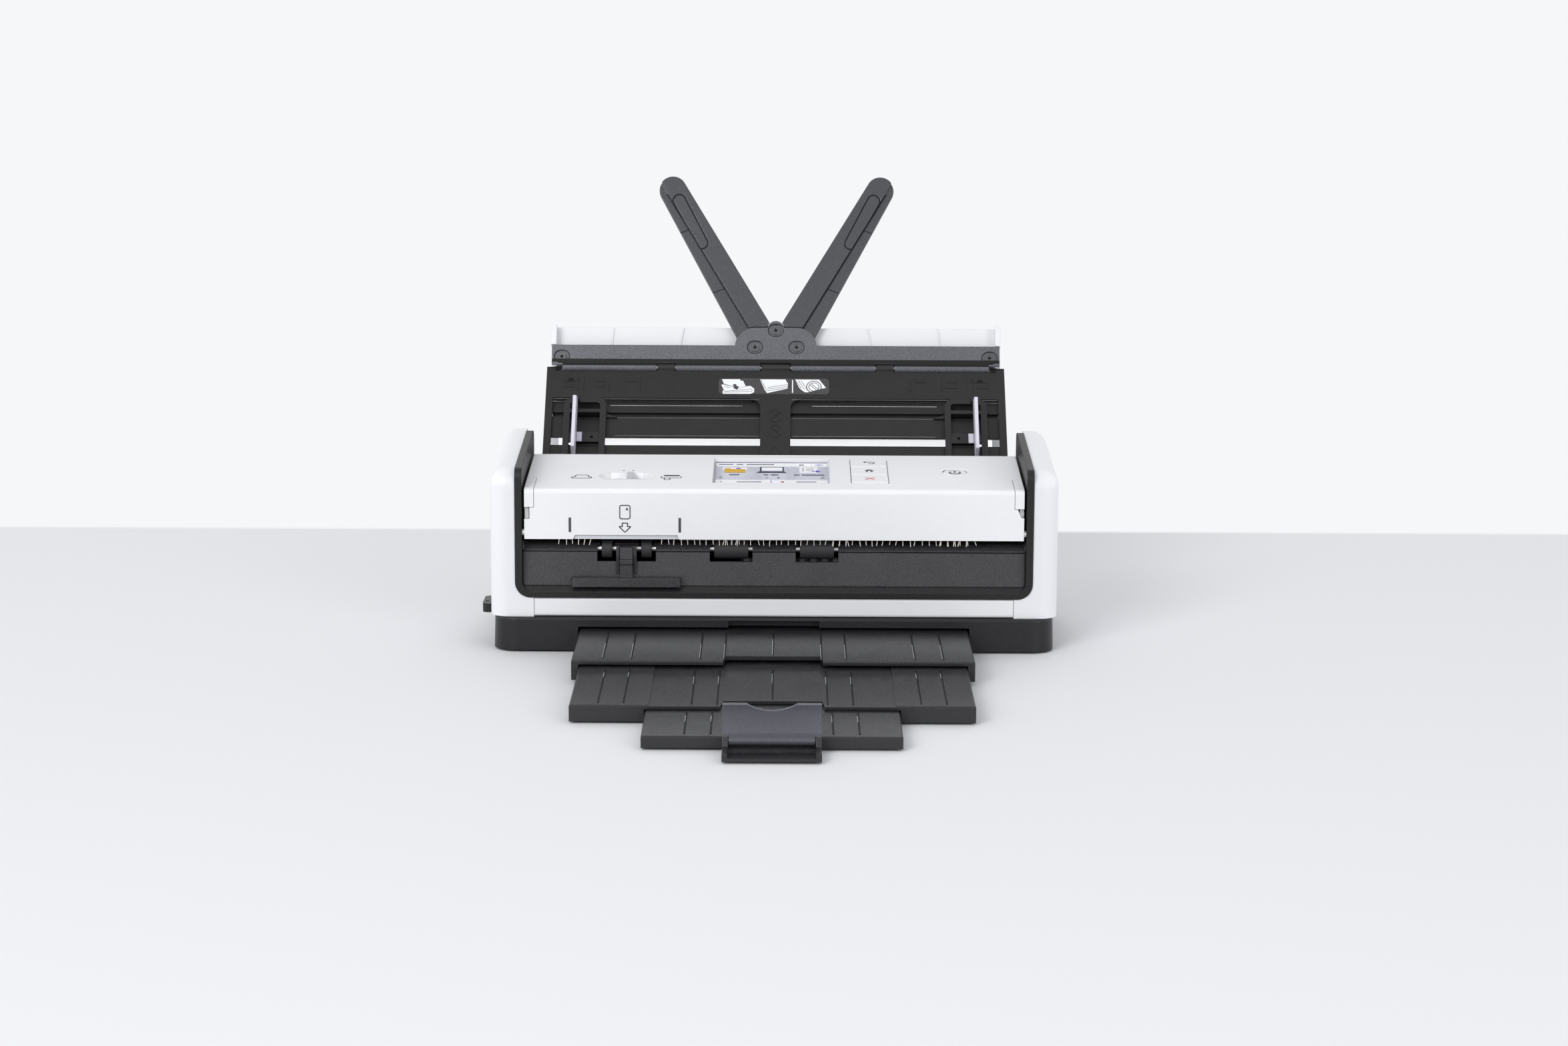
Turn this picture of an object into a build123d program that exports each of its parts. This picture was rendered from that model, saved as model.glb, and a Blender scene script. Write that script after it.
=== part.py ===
from build123d import *
import math
import os

os.makedirs("parts", exist_ok=True)

# All lengths are millimetres and all angles are degrees.
# X runs to the right seen from the front, Y to the back, Z up from the table.
# The origin is the centre of the body's footprint on the table.

# Body envelope
BODY_WIDTH = 291.0
BODY_DEPTH = 103.0
FOOT_HEIGHT = 1.0
BASE_HEIGHT = 17.0
BODY_FRONT_HEIGHT = 94.0
TOP_SLOPE = 4.4
SLOPE_LENGTH = 90.5

# Walls and general clearances
SHELL_WALL = 2.2
FLAT_GAP = 0.2
RUNNING_GAP = 0.05
PRESS_GAP = 0.02
MOVING_GAP = 0.3

# Base and tray bay
BASE_SET_IN = 1.5
BASE_OVERHANG = 3.0
BASE_CORNER_RADIUS = 12.0
BASE_DRAFT = 1.5
BASE_TOP_ROUND = 1.2
BAY_SIDE_GAP = 0.8
BAY_ROOF_THICKNESS = 4.8
BAY_REAR_WALL = 2.0
BAY_LIP_THICKNESS = 0.9
BAY_LIP_WIDTH = 2.4
WING_WALL = 4.0
WING_ROOF = 3.0
BOTTOM_COVER_THICKNESS = 1.8
FINGER_RECESS_DEPTH = 5.0
FOOT_RADIUS = 6.5
FOOT_SINK = 0.8
FOOT_SET_IN = 19.5
FOOT_FRONT_Y = -40.0
FOOT_REAR_Y = 39.0

# Chassis, the dark U-shaped frame between the side shells
SIDE_SHELL_WIDTH = 13.0
CHASSIS_WALL = 3.7
CHASSIS_FLOOR = 3.0
CHASSIS_FLOOR_HEIGHT = 28.0
CHASSIS_PROUD = 0.6
CHASSIS_CORNER_RADIUS = 8.0
CHASSIS_BEND_RADIUS = 5.0
LEDGE_HEIGHT = 2.8
LEDGE_DEPTH = 4.5

# Side shells and front strip
SIDE_SHELL_ROUND = 9.0
SIDE_SHELL_CORNER = 9.6
SHELL_FOOT_WIDTH = 9.6
STRIP_ROUND = 1.5

# Paper path, drawn in the side view
ENTRY_ANGLE = 44.0
PATH_BEND_RADIUS = 25.0
PATH_HEIGHT = 57.0
PATH_ENTRY_Y = 42.0
PATH_GAP = 1.2
GUIDE_THICKNESS = 2.0
GUIDE_SIDE_GAP = 4.0
PATH_ENTRY_Z = 70.0

# Exit rollers and exit chute
EXIT_ROLLER_Y = -41.5
EXIT_TYRE_RADIUS = 5.0
EXIT_SHAFT_RADIUS = 1.75
CARD_TYRE_WIDTH = 5.4
CARD_TYRE_SPACING = 20.2
CARD_GUIDE_X = -75.6
PAGE_TYRE_WIDTH = 17.5
PAGE_TYRE_X = 22.0
TYRE_WINDOW_MARGIN = 2.2
CHUTE_RIDGE_HEIGHT = 51.6
CHUTE_SET_BACK = 4.6
CHUTE_FOOT_SET_BACK = 2.6
CHUTE_WALL = 2.0

# Feed rollers
FEED_ROLLER_RADIUS = 8.0
FEED_ROLLER_STANDOUT = 0.5
FEED_ROLLER_ANGLE = 10.0
FEED_SHAFT_RADIUS = 2.5
FEED_TYRE_WIDTH = 14.0
FEED_TYRE_X = 16.0

# Drive train in the right-hand side shell
PULLEY_GAP = 1.5
PULLEY_WIDTH = 4.0
EXIT_PULLEY_RADIUS = 5.0
FEED_PULLEY_RADIUS = 7.0
MOTOR_PULLEY_RADIUS = 4.0
BELT_THICKNESS = 1.2
BELT_GAP = 0.15
MOTOR_Y = -22.0
MOTOR_Z = 44.0
MOTOR_RADIUS = 10.0
MOTOR_LENGTH = 24.0
MOTOR_SHAFT_RADIUS = 1.5
BUSH_RADIUS = 4.0
BUSH_FLANGE_RADIUS = 5.0
BUSH_FLANGE_THICKNESS = 0.9

# Card guide
CARD_ARM_WIDTH = 6.5
CARD_ARM_THICKNESS = 1.6
CARD_PIVOT_Z = 53.0
CARD_LIP_WIDTH = 56.0
CARD_LIP_HEIGHT = 4.6
CARD_LIP_DEPTH = 5.6
CARD_LIP_BOTTOM = 34.1
CARD_RAIL_WIDTH = 2.0

# Front cover, the white upper unit that swings forward
COVER_SIDE_GAP = 1.2
COVER_BOTTOM = 58.4
COVER_FRONT_HEIGHT = 84.4
COVER_DEPTH = 78.0
COVER_CREASE_RADIUS = 2.5
ROOF_DEPTH = 75.4
COVER_PIVOT_INSET = 3.0
COVER_PIVOT_RISE = 3.1
COVER_PIN_RADIUS = 1.8
RELEASE_TAB_WIDTH = 4.8
RELEASE_TAB_DEPTH = 23.5
RELEASE_TAB_DROP = 8.4
RELEASE_NOTCH_HEIGHT = 6.0
RELEASE_NOTCH_WIDTH = 2.7
RELEASE_TRAVEL = 2.5
THUMB_RECESS_HALF_WIDTH = 27.7
THUMB_RECESS_HEIGHT = 2.2
THUMB_RECESS_DEPTH = 1.0
BRUSH_LEFT_GAP = 16.6
BRUSH_RIGHT_GAP = 21.6

# Control panel layout, measured across X and along the slope from the crease
DISPLAY_X = -1.65
DISPLAY_T = 41.55
DISPLAY_WIDTH = 60.5
DISPLAY_LENGTH = 53.7
DISPLAY_GLASS = 1.2
DISPLAY_SEAT = 1.5
DISPLAY_BODY = 3.0
KEY_X = 49.2
KEY_T = 40.4
KEY_WIDTH = 19.0
KEY_LENGTH = 16.2
KEY_PITCH = 17.0
KEY_STANDOUT = 0.4
KEY_TRAVEL = 0.7
POWER_X = 93.7
POWER_T = 39.8
POWER_RADIUS = 6.25
LEVER_RECESS_X = -76.5
LEVER_RECESS_T = 28.7
LEVER_RECESS_WIDTH = 28.8
LEVER_RECESS_LENGTH = 14.0
LEVER_RECESS_DEPTH = 3.4
LEVER_KNOB_X = -74.7
LEVER_KNOB_WIDTH = 3.2
LEVER_KNOB_LENGTH = 11.0
LEVER_TRAVEL = 5.0

# Sensors
SENSOR_END_GAP = 13.8
SENSOR_LUG = 6.0
SENSOR_WIDTH = 12.0
SENSOR_HEIGHT = 10.0
GLASS_END_GAP = 3.0
GLASS_WIDTH = 10.0
GLASS_THICKNESS = 1.2
LOWER_SENSOR_Y = 3.0
UPPER_SENSOR_Y = -15.0

# Rear hinge of the top cover, and the hinge line of the input chute
COVER_HINGE_Y = 44.5
COVER_HINGE_Z = 66.5
CHUTE_HINGE_Y = 98.5
CHUTE_HINGE_Z = 126.6
HINGE_PIN_RADIUS = 2.0
EAR_RADIUS = 4.5

# Top cover shell, drawn leaning back
COVER_LEAN = 22.0
TOP_SHELL_GAP = 5.2
TOP_SHELL_WALL = 2.5
TOP_SHELL_SIDE = 2.9
TOP_SHELL_BACK = 4.95
TOP_SHELL_REACH = 24.0
TOP_SHELL_DROP = 76.0
TOP_SHELL_SIDE_HEIGHT = 1.5
LIP_RIB_HEIGHT = 0.6
LIP_RIB_WIDTH = 0.8

# Support bar, hub and arms, drawn in the top cover's plane
BAR_END_GAP = 0.6
BAR_LOW = 1.0
BAR_HIGH = 12.2
BAR_FRONT = 2.4
BAR_PLATE = 1.8
BAR_SOLE = 2.0
HUB_HALF_WIDTH = 22.5
HUB_TOP = 22.4
HUB_TAB_HALF_WIDTH = 4.6
HUB_TAB_TOP = 26.2
BARREL_RADIUS = 2.9
ARM_PIVOT_X = 11.4
ARM_PIVOT_U = 11.3
ARM_ANGLE = 27.1
ARM_LENGTH = 101.2
ARM_TIP_RADIUS = 7.5
ARM_ROOT_OUTER = 6.2
ARM_ROOT_INNER = 13.3
ARM_ROOT_START = 10.0
ARM_RING_RADIUS = 8.0
ARM_RAIL_THICKNESS = 2.2
ARM_STEP_ROOT = 2.6
ARM_STEP_TIP = -3.5
ARM_BOSS_RADIUS = 4.0
GRIP_LENGTH = 35.0
GRIP_WIDTH = 7.6
GRIP_DEPTH = 0.6
GRIP_TIP_MARGIN = 11.0
SCREW_HEAD_RADIUS = 2.5
SCREW_SHANK_RADIUS = 1.2
SCREW_RECESS_LENGTH = 8.7
SCREW_RECESS_WIDTH = 7.2
SCREW_RECESS_DEPTH = 0.8
BAR_SCREW_SET_IN = 5.5
BAR_SCREW_U = 5.6
HUB_SCREW_U = 20.9

# Input chute
CHUTE_LEAN = 46.0
CHUTE_OVERHANG = 1.9
CHUTE_LENGTH = 75.0
CHUTE_FRONT = 1.2
CHUTE_BACK = 0.8
CHUTE_BAND = 22.0
CHUTE_STRUT_HALF_WIDTH = 8.2
CHUTE_STRUT_RADIUS = 6.5
CHUTE_POST_WIDTH = 4.4
CHUTE_POST_GAP = 0.6
CHUTE_RAIL_WIDTH = 4.0
CHUTE_DEEP_BACK = 2.0
CHUTE_PIN_RADIUS = 1.0
KNUCKLE_GAP = 0.5
SIDE_KNUCKLE_X = 60.0
SIDE_KNUCKLE_WIDTH = 9.6
CENTRE_KNUCKLE_WIDTH = 16.0

# Document guides and their flaps
GUIDE_SET_IN = 10.5
GUIDE_WIDTH = 23.0
GUIDE_TOP = 23.0
GUIDE_BOTTOM = 70.0
GUIDE_MEMBER = 3.4
GUIDE_CORNER = 5.2
CATCH_TOP = 46.5
CATCH_BOTTOM = 53.0
GUIDE_SEAT_GAP = 0.25
GUIDE_HEIGHT = 1.4
GUIDE_TRAVEL = 80.0
TONGUE_TOP = 30.9
TONGUE_BOTTOM = 33.2
FLAP_SET_IN = 6.5
FLAP_THICKNESS = 1.9
FLAP_HEIGHT = 12.0
FLAP_PIVOT_HEIGHT = 4.1
FLAP_PIN_RADIUS = 0.7

# Exit tray, three telescoping stages and a stopper
STAGE_1_HALF_WIDTH = 99.4
STAGE_1_TOP = 12.0
STAGE_1_BOTTOM = 2.1
STAGE_1_FRONT = -127.5
STAGE_1_LENGTH = 103.0
STAGE_PLATE = 2.1
STAGE_WALL = 3.6
STAGE_2_FRONT = -209.5
STAGE_2_LENGTH = 102.0
STAGE_2_BOTTOM = 1.0
STAGE_2_PANEL_HALF_WIDTH = 58.0
STAGE_2_PANEL_DEPTH = 0.5
STAGE_3_HALF_WIDTH = 59.7
STAGE_3_FRONT = -260.5
STAGE_3_LENGTH = 73.0
STAGE_3_PLATE = 1.8
STAGE_SIDE_GAP = 0.3
STAGE_TOP_GAP = 0.6
STAGE_TONGUE = 1.2
NOTCH_DEPTH = 11.5
GROOVE_WIDTH = 0.8
GROOVE_DEPTH = 0.5
STOPPER_HALF_WIDTH = 22.5
STOPPER_Y = -267.5
STOPPER_PIVOT_Z = 6.5
STOPPER_TOP = 24.0
STOPPER_THICKNESS = 2.0
BRACKET_FRONT = -285.5
BRACKET_WALL = 2.6
NOTCH_HALF_WIDTH = 23.3

# Places worked out from the sizes above
FRONT = -BODY_DEPTH / 2
REAR = BODY_DEPTH / 2
BASE_TOP = FOOT_HEIGHT + BASE_HEIGHT
BASE_FRONT = FRONT - BASE_OVERHANG
BASE_HALF_WIDTH = BODY_WIDTH / 2 - BASE_SET_IN
CHASSIS_HALF_WIDTH = BODY_WIDTH / 2 - SIDE_SHELL_WIDTH
CHASSIS_WIDTH = 2 * CHASSIS_HALF_WIDTH
CHASSIS_INNER = CHASSIS_HALF_WIDTH - CHASSIS_WALL
CHASSIS_FRONT = FRONT - CHASSIS_PROUD
FLOOR_TOP = CHASSIS_FLOOR_HEIGHT + CHASSIS_FLOOR
LEDGE_TOP = FLOOR_TOP + LEDGE_HEIGHT
BAY_HALF_WIDTH = STAGE_1_HALF_WIDTH + BAY_SIDE_GAP
BAY_TOP = BASE_TOP - BAY_ROOF_THICKNESS
BAY_REAR = REAR - BAY_REAR_WALL
COVER_HALF_WIDTH = CHASSIS_INNER - COVER_SIDE_GAP
GUIDE_HALF_WIDTH = CHASSIS_INNER - GUIDE_SIDE_GAP
SENSOR_LENGTH = 2 * (GUIDE_HALF_WIDTH - SENSOR_END_GAP)
GLASS_LENGTH = SENSOR_LENGTH - 2 * GLASS_END_GAP
PULLEY_X = CHASSIS_HALF_WIDTH + PULLEY_GAP
FOOT_X = BODY_WIDTH / 2 - FOOT_SET_IN
COVER_REAR = FRONT + COVER_DEPTH
COVER_PIVOT = (FRONT + COVER_PIVOT_INSET, COVER_BOTTOM + COVER_PIVOT_RISE)
COVER_HINGE = (COVER_HINGE_Y, COVER_HINGE_Z)
CHUTE_HINGE = (CHUTE_HINGE_Y, CHUTE_HINGE_Z)
EXIT_ROLLER = (EXIT_ROLLER_Y, PATH_HEIGHT - EXIT_TYRE_RADIUS)
MOTOR_AXIS = (MOTOR_Y, MOTOR_Z)
SLOPE_REAR = FRONT + SLOPE_LENGTH
TOP_HALF_WIDTH = CHASSIS_INNER - TOP_SHELL_GAP
BAR_HALF_WIDTH = TOP_HALF_WIDTH - BAR_END_GAP
BAR_SCREW_X = BAR_HALF_WIDTH - BAR_SCREW_SET_IN
CHUTE_HALF_WIDTH = TOP_HALF_WIDTH + CHUTE_OVERHANG
GUIDE_OUTER_X = CHUTE_HALF_WIDTH - GUIDE_SET_IN
GUIDE_INNER_X = GUIDE_OUTER_X - GUIDE_WIDTH
FLAP_X = GUIDE_OUTER_X - FLAP_SET_IN
OUTLINE_HEIGHT = 1.5 * BODY_FRONT_HEIGHT

# The paper path bends from the entry slope to level around this centre
ENTRY = math.radians(ENTRY_ANGLE)
BEND_CENTRE_Z = PATH_HEIGHT + PATH_BEND_RADIUS
BEND_RISE = PATH_BEND_RADIUS * (1 - math.cos(ENTRY))
BEND_CENTRE_Y = (
    PATH_ENTRY_Y
    - (PATH_ENTRY_Z - PATH_HEIGHT - BEND_RISE) / math.tan(ENTRY)
    - PATH_BEND_RADIUS * math.sin(ENTRY)
)
FEED_REACH = PATH_BEND_RADIUS + FEED_ROLLER_RADIUS - FEED_ROLLER_STANDOUT
FEED_ROLLER = (
    BEND_CENTRE_Y + FEED_REACH * math.sin(math.radians(FEED_ROLLER_ANGLE)),
    BEND_CENTRE_Z - FEED_REACH * math.cos(math.radians(FEED_ROLLER_ANGLE)),
)

EXIT_HALF_WIDTH = CHASSIS_INNER - FLAT_GAP
HOUSING_FRONT = FRONT + SLOPE_LENGTH + MOVING_GAP

EXIT_TYRES = [
    (CARD_GUIDE_X - CARD_TYRE_SPACING / 2, CARD_TYRE_WIDTH),
    (CARD_GUIDE_X + CARD_TYRE_SPACING / 2, CARD_TYRE_WIDTH),
    (-PAGE_TYRE_X, PAGE_TYRE_WIDTH),
    (PAGE_TYRE_X, PAGE_TYRE_WIDTH),
]
FEED_TYRES = [(-FEED_TYRE_X, FEED_TYRE_WIDTH), (FEED_TYRE_X, FEED_TYRE_WIDTH)]


def sloped(height, y):
    """Height of a surface that starts at the front face and rises to the back."""
    return height + (y - FRONT) * math.tan(math.radians(TOP_SLOPE))


def panel_plane(depth=0.0):
    """Plane of the control panel: X across, Y up the slope from the crease."""
    slope = math.radians(TOP_SLOPE)
    top = Plane(
        origin=(0, FRONT, COVER_FRONT_HEIGHT),
        x_dir=(1, 0, 0),
        z_dir=(0, -math.sin(slope), math.cos(slope)),
    )
    return top.offset(-depth)


def leaning_plane(lean, height=0.0):
    """Plane through the chute's hinge line that leans back, facing the front."""
    angle = math.radians(lean)
    upright = Plane(
        origin=(0, CHUTE_HINGE_Y, CHUTE_HINGE_Z),
        x_dir=(1, 0, 0),
        z_dir=(0, -math.cos(angle), math.sin(angle)),
    )
    return upright.offset(height)


def cover_plane(height=0.0):
    """Plane of the open top cover, at a height above its hinge line."""
    return leaning_plane(COVER_LEAN, height)


def chute_plane(height=0.0):
    """Plane of the input chute, at a height above its hinge line."""
    return leaning_plane(CHUTE_LEAN, height)


def block(x, y, z, mode=Mode.ADD):
    """Box between two corners, each axis given as (low, high)."""
    with Locations(((x[0] + x[1]) / 2, (y[0] + y[1]) / 2, (z[0] + z[1]) / 2)):
        Box(x[1] - x[0], y[1] - y[0], z[1] - z[0], mode=mode)


def side_prism(points, x, mode=Mode.ADD, radius=0.0, corners=()):
    """Side-view outline (y, z) carried from x[0] to x[1], with rounded corners."""
    with BuildSketch(Plane.YZ.offset(x[0])) as outline:
        with BuildLine():
            Polyline(*points, close=True)
        make_face()
        if corners:
            found = [outline.vertices().sort_by_distance(outline_point(points[i], x[0]))[0] for i in corners]
            fillet(found, radius)
    extrude(outline.sketch, amount=x[1] - x[0], mode=mode)


def outline_point(point, x):
    """Local place of a side-view point on its own sketch."""
    return Vector(point[0], point[1], 0)


def rod(centre, x, radius, mode=Mode.ADD):
    """Round bar along X about a side-view point."""
    with BuildSketch(Plane.YZ.offset(x[0])) as section:
        with Locations(centre):
            Circle(radius)
    extrude(section.sketch, amount=x[1] - x[0], mode=mode)


def plate(plane, x, t, thickness, mode=Mode.ADD):
    """Flat rectangle on a plane between two corners, thickened along its normal."""
    with BuildSketch(plane) as face:
        with Locations(((x[0] + x[1]) / 2, (t[0] + t[1]) / 2)):
            Rectangle(x[1] - x[0], t[1] - t[0])
    extrude(face.sketch, amount=thickness, mode=mode)


def disc(plane, place, radius, thickness, mode=Mode.ADD):
    """Round plate on a plane."""
    with BuildSketch(plane) as face:
        with Locations(place):
            Circle(radius)
    extrude(face.sketch, amount=thickness, mode=mode)


def span(side, low, high):
    """Range low to high on the right, mirrored to the left for side -1."""
    return (low, high) if side > 0 else (-high, -low)


def fit_between_walls():
    """Trims a piece to the chassis's rounded inside, a flat gap clear of its walls."""
    with BuildSketch(Plane.XZ.offset(-REAR - 1)) as inside:
        with Locations((0, FLOOR_TOP + OUTLINE_HEIGHT / 2)):
            RectangleRounded(2 * EXIT_HALF_WIDTH, OUTLINE_HEIGHT, CHASSIS_BEND_RADIUS)
    extrude(inside.sketch, amount=BODY_DEPTH + 8, mode=Mode.INTERSECT)


def write(part, name):
    """Labels a finished piece and writes its file."""
    part.label = name
    export_step(part, "parts/" + name + ".step")


# Base, its bottom covers, feet and screws
BASE_CENTRE_Y = (BASE_FRONT + REAR) / 2
WING_INNER = BAY_HALF_WIDTH + WING_WALL
WING_OUTER = BASE_HALF_WIDTH - WING_WALL
WING_FRONT = FRONT + WING_WALL
WING_REAR = REAR - WING_WALL
GROOVE_LOW = STAGE_1_BOTTOM + 2.6
GROOVE_HIGH = GROOVE_LOW + 2.6
SCREW_X = (WING_INNER + WING_OUTER) / 2
SCREW_YS = (WING_FRONT + 22, WING_REAR - 24)

with BuildPart() as base_frame:
    with BuildSketch(Plane.XY.offset(FOOT_HEIGHT)):
        with Locations((0, BASE_CENTRE_Y)):
            RectangleRounded(2 * BASE_HALF_WIDTH, REAR - BASE_FRONT, BASE_CORNER_RADIUS)
    extrude(amount=BASE_HEIGHT, taper=BASE_DRAFT)
    fillet(base_frame.faces().sort_by(Axis.Z)[-1].edges(), BASE_TOP_ROUND)
    block(
        (-BAY_HALF_WIDTH, BAY_HALF_WIDTH),
        (BASE_FRONT - 1, BAY_REAR),
        (FOOT_HEIGHT + BAY_LIP_THICKNESS, BAY_TOP),
        Mode.SUBTRACT,
    )
    lip_inner = STAGE_1_HALF_WIDTH - BAY_LIP_WIDTH
    block((-lip_inner, lip_inner), (BASE_FRONT - 1, BAY_REAR), (0, BAY_TOP), Mode.SUBTRACT)
    block(
        (-NOTCH_HALF_WIDTH, NOTCH_HALF_WIDTH),
        (BASE_FRONT - 1, BASE_FRONT + FINGER_RECESS_DEPTH),
        (BAY_TOP - 1, BAY_TOP + 3.4),
        Mode.SUBTRACT,
    )
    for side in (-1, 1):
        groove = BAY_HALF_WIDTH + STAGE_TONGUE + 0.2
        block(span(side, BAY_HALF_WIDTH - 1, groove), (FRONT, BAY_REAR), (GROOVE_LOW, GROOVE_HIGH), Mode.SUBTRACT)
        block(
            span(side, WING_INNER, WING_OUTER),
            (WING_FRONT, WING_REAR),
            (0, BASE_TOP - WING_ROOF),
            Mode.SUBTRACT,
        )
        for screw_y in SCREW_YS:
            post_plane = Plane.XY.offset(FOOT_HEIGHT + BOTTOM_COVER_THICKNESS)
            post_height = BASE_HEIGHT - WING_ROOF - BOTTOM_COVER_THICKNESS
            disc(post_plane, (side * SCREW_X, screw_y), 3.6, post_height)
            disc(post_plane, (side * SCREW_X, screw_y), SCREW_SHANK_RADIUS + PRESS_GAP, 9.0, Mode.SUBTRACT)
write(base_frame.part, "base_frame")

with BuildPart() as base_bottom_covers:
    for side in (-1, 1):
        block(
            span(side, WING_INNER + FLAT_GAP, WING_OUTER - FLAT_GAP),
            (WING_FRONT + FLAT_GAP, WING_REAR - FLAT_GAP),
            (FOOT_HEIGHT, FOOT_HEIGHT + BOTTOM_COVER_THICKNESS),
        )
        for screw_y in SCREW_YS:
            low = Plane.XY.offset(FOOT_HEIGHT)
            disc(low, (side * SCREW_X, screw_y), SCREW_HEAD_RADIUS + 0.3, 0.9, Mode.SUBTRACT)
            disc(low, (side * SCREW_X, screw_y), SCREW_SHANK_RADIUS + 0.1, 3, Mode.SUBTRACT)
        for foot_y in (FOOT_FRONT_Y, FOOT_REAR_Y):
            disc(Plane.XY.offset(FOOT_HEIGHT), (side * FOOT_X, foot_y), FOOT_RADIUS + 0.05, FOOT_SINK, Mode.SUBTRACT)
write(base_bottom_covers.part, "base_bottom_covers")

with BuildPart() as rubber_feet:
    for side in (-1, 1):
        for foot_y in (FOOT_FRONT_Y, FOOT_REAR_Y):
            disc(Plane.XY, (side * FOOT_X, foot_y), FOOT_RADIUS, FOOT_HEIGHT + FOOT_SINK)
    chamfer(rubber_feet.faces().group_by(Axis.Z)[0].edges(), 0.4)
write(rubber_feet.part, "rubber_feet")

with BuildPart() as base_screws:
    for side in (-1, 1):
        for screw_y in SCREW_YS:
            place = (side * SCREW_X, screw_y)
            disc(Plane.XY.offset(FOOT_HEIGHT + 0.2), place, SCREW_HEAD_RADIUS, 0.7)
            disc(Plane.XY.offset(FOOT_HEIGHT + 0.2), place, SCREW_SHANK_RADIUS, 8.0)
            disc(Plane.XY.offset(FOOT_HEIGHT + 0.1), place, 0.9, 0.5, Mode.SUBTRACT)
write(base_screws.part, "base_screws")


def side_pod(inset):
    """Right-hand side housing, moved in from its outer faces by an inset."""
    top_front = BODY_FRONT_HEIGHT - inset
    flat_top = sloped(BODY_FRONT_HEIGHT, SLOPE_REAR) - inset
    outer = BODY_WIDTH / 2 - inset
    with BuildPart() as pod:
        with BuildSketch(Plane.YZ.offset(CHASSIS_HALF_WIDTH)) as profile:
            with BuildLine():
                Polyline(
                    (FRONT + inset, BASE_TOP + inset),
                    (REAR - inset, BASE_TOP + inset),
                    (REAR - inset, flat_top),
                    (SLOPE_REAR, flat_top),
                    (FRONT + inset, top_front),
                    close=True,
                )
            make_face()
            upper = [v for v in profile.vertices() if v.Y > BODY_FRONT_HEIGHT / 2]
            fillet([v for v in upper if abs(v.X - SLOPE_REAR) > 1], SIDE_SHELL_CORNER - inset)
        extrude(amount=outer - CHASSIS_HALF_WIDTH)
        rim = pod.faces().sort_by(Axis.X)[-1].edges()
        lowest = rim.sort_by(Axis.Z)[0]
        fillet([edge for edge in rim if edge != lowest], SIDE_SHELL_ROUND - inset)
    return pod.part


# Side shells, with a foot that reaches under the chassis
with BuildPart() as right_side_shell:
    add(side_pod(0))
    foot_inner = CHASSIS_HALF_WIDTH - SHELL_FOOT_WIDTH
    block(
        (foot_inner, CHASSIS_HALF_WIDTH),
        (FRONT, REAR),
        (BASE_TOP, CHASSIS_FLOOR_HEIGHT + CHASSIS_CORNER_RADIUS),
    )
    add(side_pod(SHELL_WALL), mode=Mode.SUBTRACT)
    with BuildSketch(Plane.XZ.offset(-REAR - 1)):
        with Locations((0, CHASSIS_FLOOR_HEIGHT + OUTLINE_HEIGHT / 2)):
            RectangleRounded(CHASSIS_WIDTH, OUTLINE_HEIGHT, CHASSIS_CORNER_RADIUS)
    extrude(amount=BODY_DEPTH + 2, mode=Mode.SUBTRACT)
write(right_side_shell.part, "right_side_shell")

with BuildPart() as left_side_shell:
    mirror(right_side_shell.part, about=Plane.YZ)
write(left_side_shell.part, "left_side_shell")

STRIP_HALF_WIDTH = CHASSIS_HALF_WIDTH - SHELL_FOOT_WIDTH - FLAT_GAP
with BuildPart() as lower_strips:
    side_prism(
        [
            (FRONT, BASE_TOP + FLAT_GAP),
            (FRONT + SHELL_WALL, BASE_TOP + FLAT_GAP),
            (FRONT + SHELL_WALL, CHASSIS_FLOOR_HEIGHT - SHELL_WALL),
            (FRONT + 12, CHASSIS_FLOOR_HEIGHT - SHELL_WALL),
            (FRONT + 12, CHASSIS_FLOOR_HEIGHT),
            (FRONT, CHASSIS_FLOOR_HEIGHT),
        ],
        (-STRIP_HALF_WIDTH, STRIP_HALF_WIDTH),
        radius=STRIP_ROUND,
        corners=(0, 5),
    )
    rear_strip = (-STRIP_HALF_WIDTH, STRIP_HALF_WIDTH)
    block(rear_strip, (REAR - SHELL_WALL, REAR), (BASE_TOP + FLAT_GAP, CHASSIS_FLOOR_HEIGHT))
    block(rear_strip, (REAR - 12, REAR), (CHASSIS_FLOOR_HEIGHT - SHELL_WALL, CHASSIS_FLOOR_HEIGHT))
write(lower_strips.part, "lower_strips")

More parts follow.
